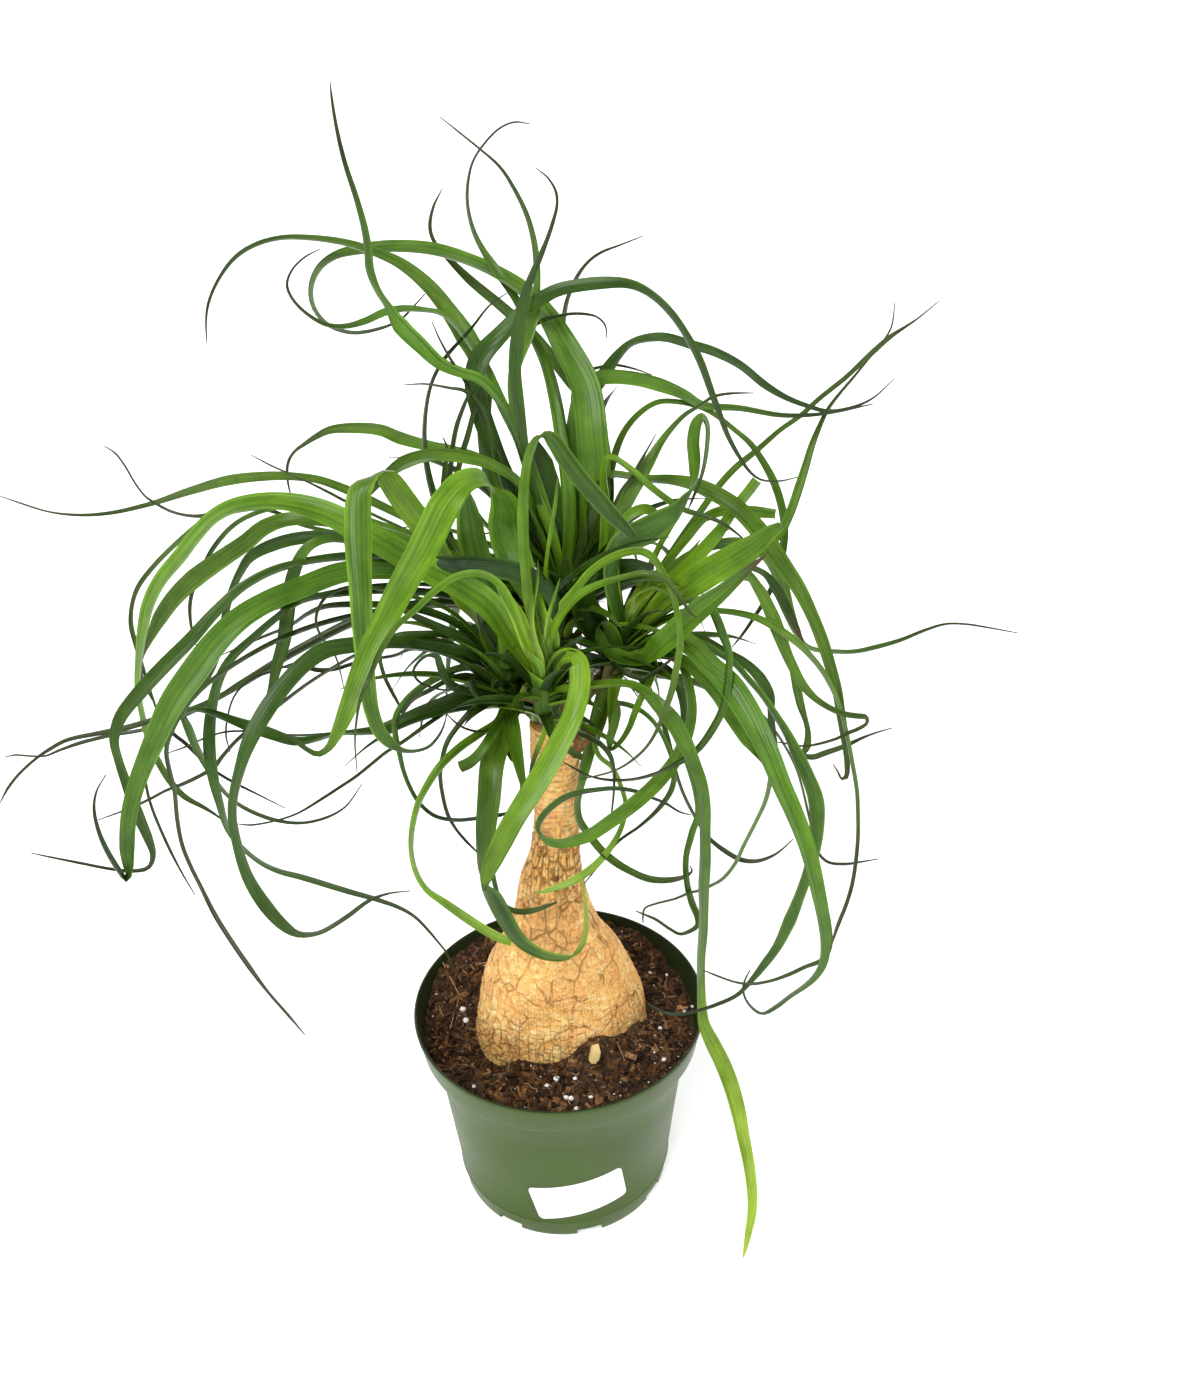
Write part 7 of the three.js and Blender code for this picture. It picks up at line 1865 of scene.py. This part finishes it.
BLOCK_FACES = np.array(
    [(0, 1, 3, 2), (4, 6, 7, 5), (0, 4, 5, 1), (2, 3, 7, 6), (0, 2, 6, 4), (1, 5, 7, 3)]
)


def make_chips(material):
    """Bark chips and crumbs of peat lying in the soil's top."""
    luck = random.Random(CHIP_SEED)
    points = []
    faces = []
    tint = []
    shades = [linear(*shade) for shade in CHIP_SHADES]
    weights = list(CHIP_SHADES.values())
    for count, longest, widest, thickest in CHIP_KINDS:
        for _ in range(count):
            size = (
                longest * luck.uniform(0.5, 1.25),
                widest * luck.uniform(0.5, 1.2),
                thickest * luck.uniform(0.5, 1.2),
            )
            x, y = free_spot(luck, size[0])
            block = crumb_shape(luck, size, 0.45)
            block += (x, y, soil_height(x, y) + luck.uniform(-0.6, 0.7) * thickest)
            shade = luck.choices(shades, weights)[0] * luck.uniform(0.7, 1.25)
            faces.append(BLOCK_FACES + 8 * len(points))
            points.append(block)
            tint.append(np.broadcast_to(shade, block.shape))
    chips = make_piece("bark_chips", np.vstack(points), [np.vstack(faces)], np.vstack(tint), crease=30)
    return finish_piece(chips, material, "soil_mix", "soil")


def on_soil(px, py):
    """The place on the soil that is seen at a place in the view."""
    sight = sight_to(px, py)
    height = SOIL_HEIGHT
    for _ in range(30):
        spot = EYE + sight * (height - EYE[2]) / sight[2]
        height += 0.4 * (soil_height(spot[0], spot[1]) - height)
    return spot


def make_perlite(material):
    """Perlite: crumpled white grains."""
    luck = random.Random(PERLITE_SEED)
    spots = [(on_soil(px, py), size) for px, py, size in PERLITE_SEEN]
    for _ in range(FINE_PERLITE):
        x, y = free_spot(luck, 2)
        spots.append((np.array([x, y, soil_height(x, y) - 0.1]), luck.uniform(0.2, 0.6)))
    points = []
    faces = []
    rows = 7
    sides = 9
    for spot, size in spots:
        polar = np.linspace(0.15, math.pi - 0.15, rows)[:, None]
        turn = np.linspace(0, 2 * math.pi, sides, endpoint=False)[None, :]
        knock = np.array([[luck.uniform(0.72, 1.2) for _ in range(sides)] for _ in range(rows)])
        ball = np.stack(
            [
                np.sin(polar) * np.cos(turn) * knock,
                np.sin(polar) * np.sin(turn) * knock * luck.uniform(0.7, 1.0),
                -np.cos(polar) * knock * 0.8,
            ],
            -1,
        )
        first = rows * sides * len(points)
        points.append(ball.reshape(-1, 3) * size + spot + np.array([0, 0, 0.35 * size]))
        faces.append((tube_faces(rows, sides, first), cap_faces(rows, sides, first)))
    blocks = [np.vstack([face[0] for face in faces]), np.vstack([face[1] for face in faces])]
    grains = make_piece("perlite", np.vstack(points), blocks, crease=60)
    return finish_piece(grains, material, "soil_mix", "soil")


def thread(points, radius, sides):
    """The points of a thin round thread along a row of points, and how many rings it has."""
    course = smooth_course(np.asarray(points, float), 4)
    ahead = unit(np.gradient(course, axis=0))
    side = unit(np.cross(ahead, [0.3, 0.2, 0.93]))
    other = np.cross(ahead, side)
    turn = np.linspace(0, 2 * math.pi, sides, endpoint=False)
    turn = turn[None, :, None]
    ring = side[:, None, :] * np.cos(turn) + other[:, None, :] * np.sin(turn)
    taper = np.linspace(1, 0.6, len(course))[:, None, None] * radius
    return (course[:, None, :] + ring * taper).reshape(-1, 3), len(course)


def make_fibres(material):
    """Pale fibres and straws in the mix."""
    luck = random.Random(FIBRE_SEED)
    sides = 5
    rows = []
    for _ in range(FIBRES):
        x, y = free_spot(luck, 5)
        turn = luck.uniform(0, 2 * math.pi)
        length = luck.uniform(3, 9)
        bend = luck.uniform(-1.5, 1.5)
        row = []
        for step in range(4):
            reach = (step - 1.5) * length / 3
            row_x = x + reach * math.cos(turn) - bend * (step % 2) * math.sin(turn)
            row_y = y + reach * math.sin(turn) + bend * (step % 2) * math.cos(turn)
            if math.hypot(row_x, row_y) > FIBRE_LIMIT:
                row_x, row_y = x, y
            row.append((row_x + 0.01 * step, row_y, soil_height(row_x, row_y) + luck.uniform(0.2, 0.9)))
        rows.append((row, luck.uniform(0.12, 0.3)))
    for course, radius in STRAWS:
        row = [on_soil(px, py) + np.array([0, 0, 1.0]) for px, py in course]
        if math.hypot(row[-1][0], row[-1][1]) < FIBRE_LIMIT:
            rows.append((row, radius))
    points = []
    faces = []
    first = 0
    for row, radius in rows:
        tube, count = thread(row, radius, sides)
        points.append(tube)
        faces.append(tube_faces(count, sides, first))
        first += len(tube)
    fibres = make_piece("fibres", np.vstack(points), [np.vstack(faces)])
    return finish_piece(fibres, material, "soil_mix", "soil")


def make_pale_chip(material):
    """The pale wood chip that stands in front of the trunk."""
    luck = random.Random(PALE_CHIP_SEED)
    spot = on_soil(*PALE_CHIP_SEEN)
    block = crumb_shape(luck, PALE_CHIP_HALF, 0.1) + spot + np.array([0, 0, PALE_CHIP_RISE])
    chip = make_piece("pale_chip", block, [BLOCK_FACES], crease=20)
    soften = chip.modifiers.new("soften", "BEVEL")
    soften.width = 0.5 * MM
    soften.segments = 2
    return finish_piece(chip, material, "soil_mix", "soil")


def make_stage():
    """The pale floor, the soft lights and the camera."""
    points, faces = turned(STUDIO, 96)
    floor = make_piece("floor", points, [faces], crease=60)
    ground = Surface("floor")
    speckle = ground.noise(ground.place("Object"), 30.0, 2.0)
    ground.link(
        ground.ramp(speckle, (0.3, (246, 246, 246)), (0.7, (250, 250, 250))),
        ground.shader.inputs["Base Color"],
    )
    ground.set(Roughness=0.9, Specular_IOR_Level=0.0)
    ground.shader.inputs["Emission Color"].default_value = (1, 1, 1, 1)
    ground.shader.inputs["Emission Strength"].default_value = FLOOR_GLOW
    floor.data.materials.append(ground.material)

    world = bpy.data.worlds.new("studio")
    world.use_nodes = True
    sky = world.node_tree.nodes["Background"]
    sky.inputs["Color"].default_value = (1, 1, 1, 1)
    sky.inputs["Strength"].default_value = WORLD_LIGHT
    bpy.context.scene.world = world
    for place, size, power in LIGHTS:
        data = bpy.data.lights.new("soft_light", "SUN")
        data.angle = math.radians(size)
        data.energy = power
        light = bpy.data.objects.new("soft_light", data)
        light.rotation_euler = (-Vector(place)).to_track_quat("-Z", "Y").to_euler()
        bpy.context.scene.collection.objects.link(light)

    data = bpy.data.cameras.new("camera")
    data.sensor_width = SENSOR
    data.lens = FOCAL / VIEW_HEIGHT * SENSOR
    camera = bpy.data.objects.new("camera", data)
    turn = Matrix((RIGHT, UP, -AHEAD)).transposed()
    camera.matrix_world = Matrix.Translation(Vector(EYE * MM)) @ turn.to_4x4()
    bpy.context.scene.collection.objects.link(camera)
    bpy.context.scene.camera = camera
    bpy.context.scene.view_settings.view_transform = "Standard"


leaf_surface = leaf_material()
bark = bark_material()
for shoot_name in SHOOTS:
    make_shoot(shoot_name, leaf_surface)
make_trunk(bark)
make_stub(bark)
make_pot(plastic_material())
make_label(plain_material("label_paper", (250, 250, 250), 0.5))
make_soil(mix_material("soil", 0.75, 0.6))
make_chips(mix_material("bark_bits", 0.55, 0.4))
make_perlite(plain_material("perlite", (246, 246, 242), 0.7, 900.0, 0.4))
make_fibres(plain_material("fibres", (182, 140, 96), 0.7))
make_pale_chip(plain_material("pale_chip", (224, 196, 128), 0.7, 500.0, 0.5))
make_stage()
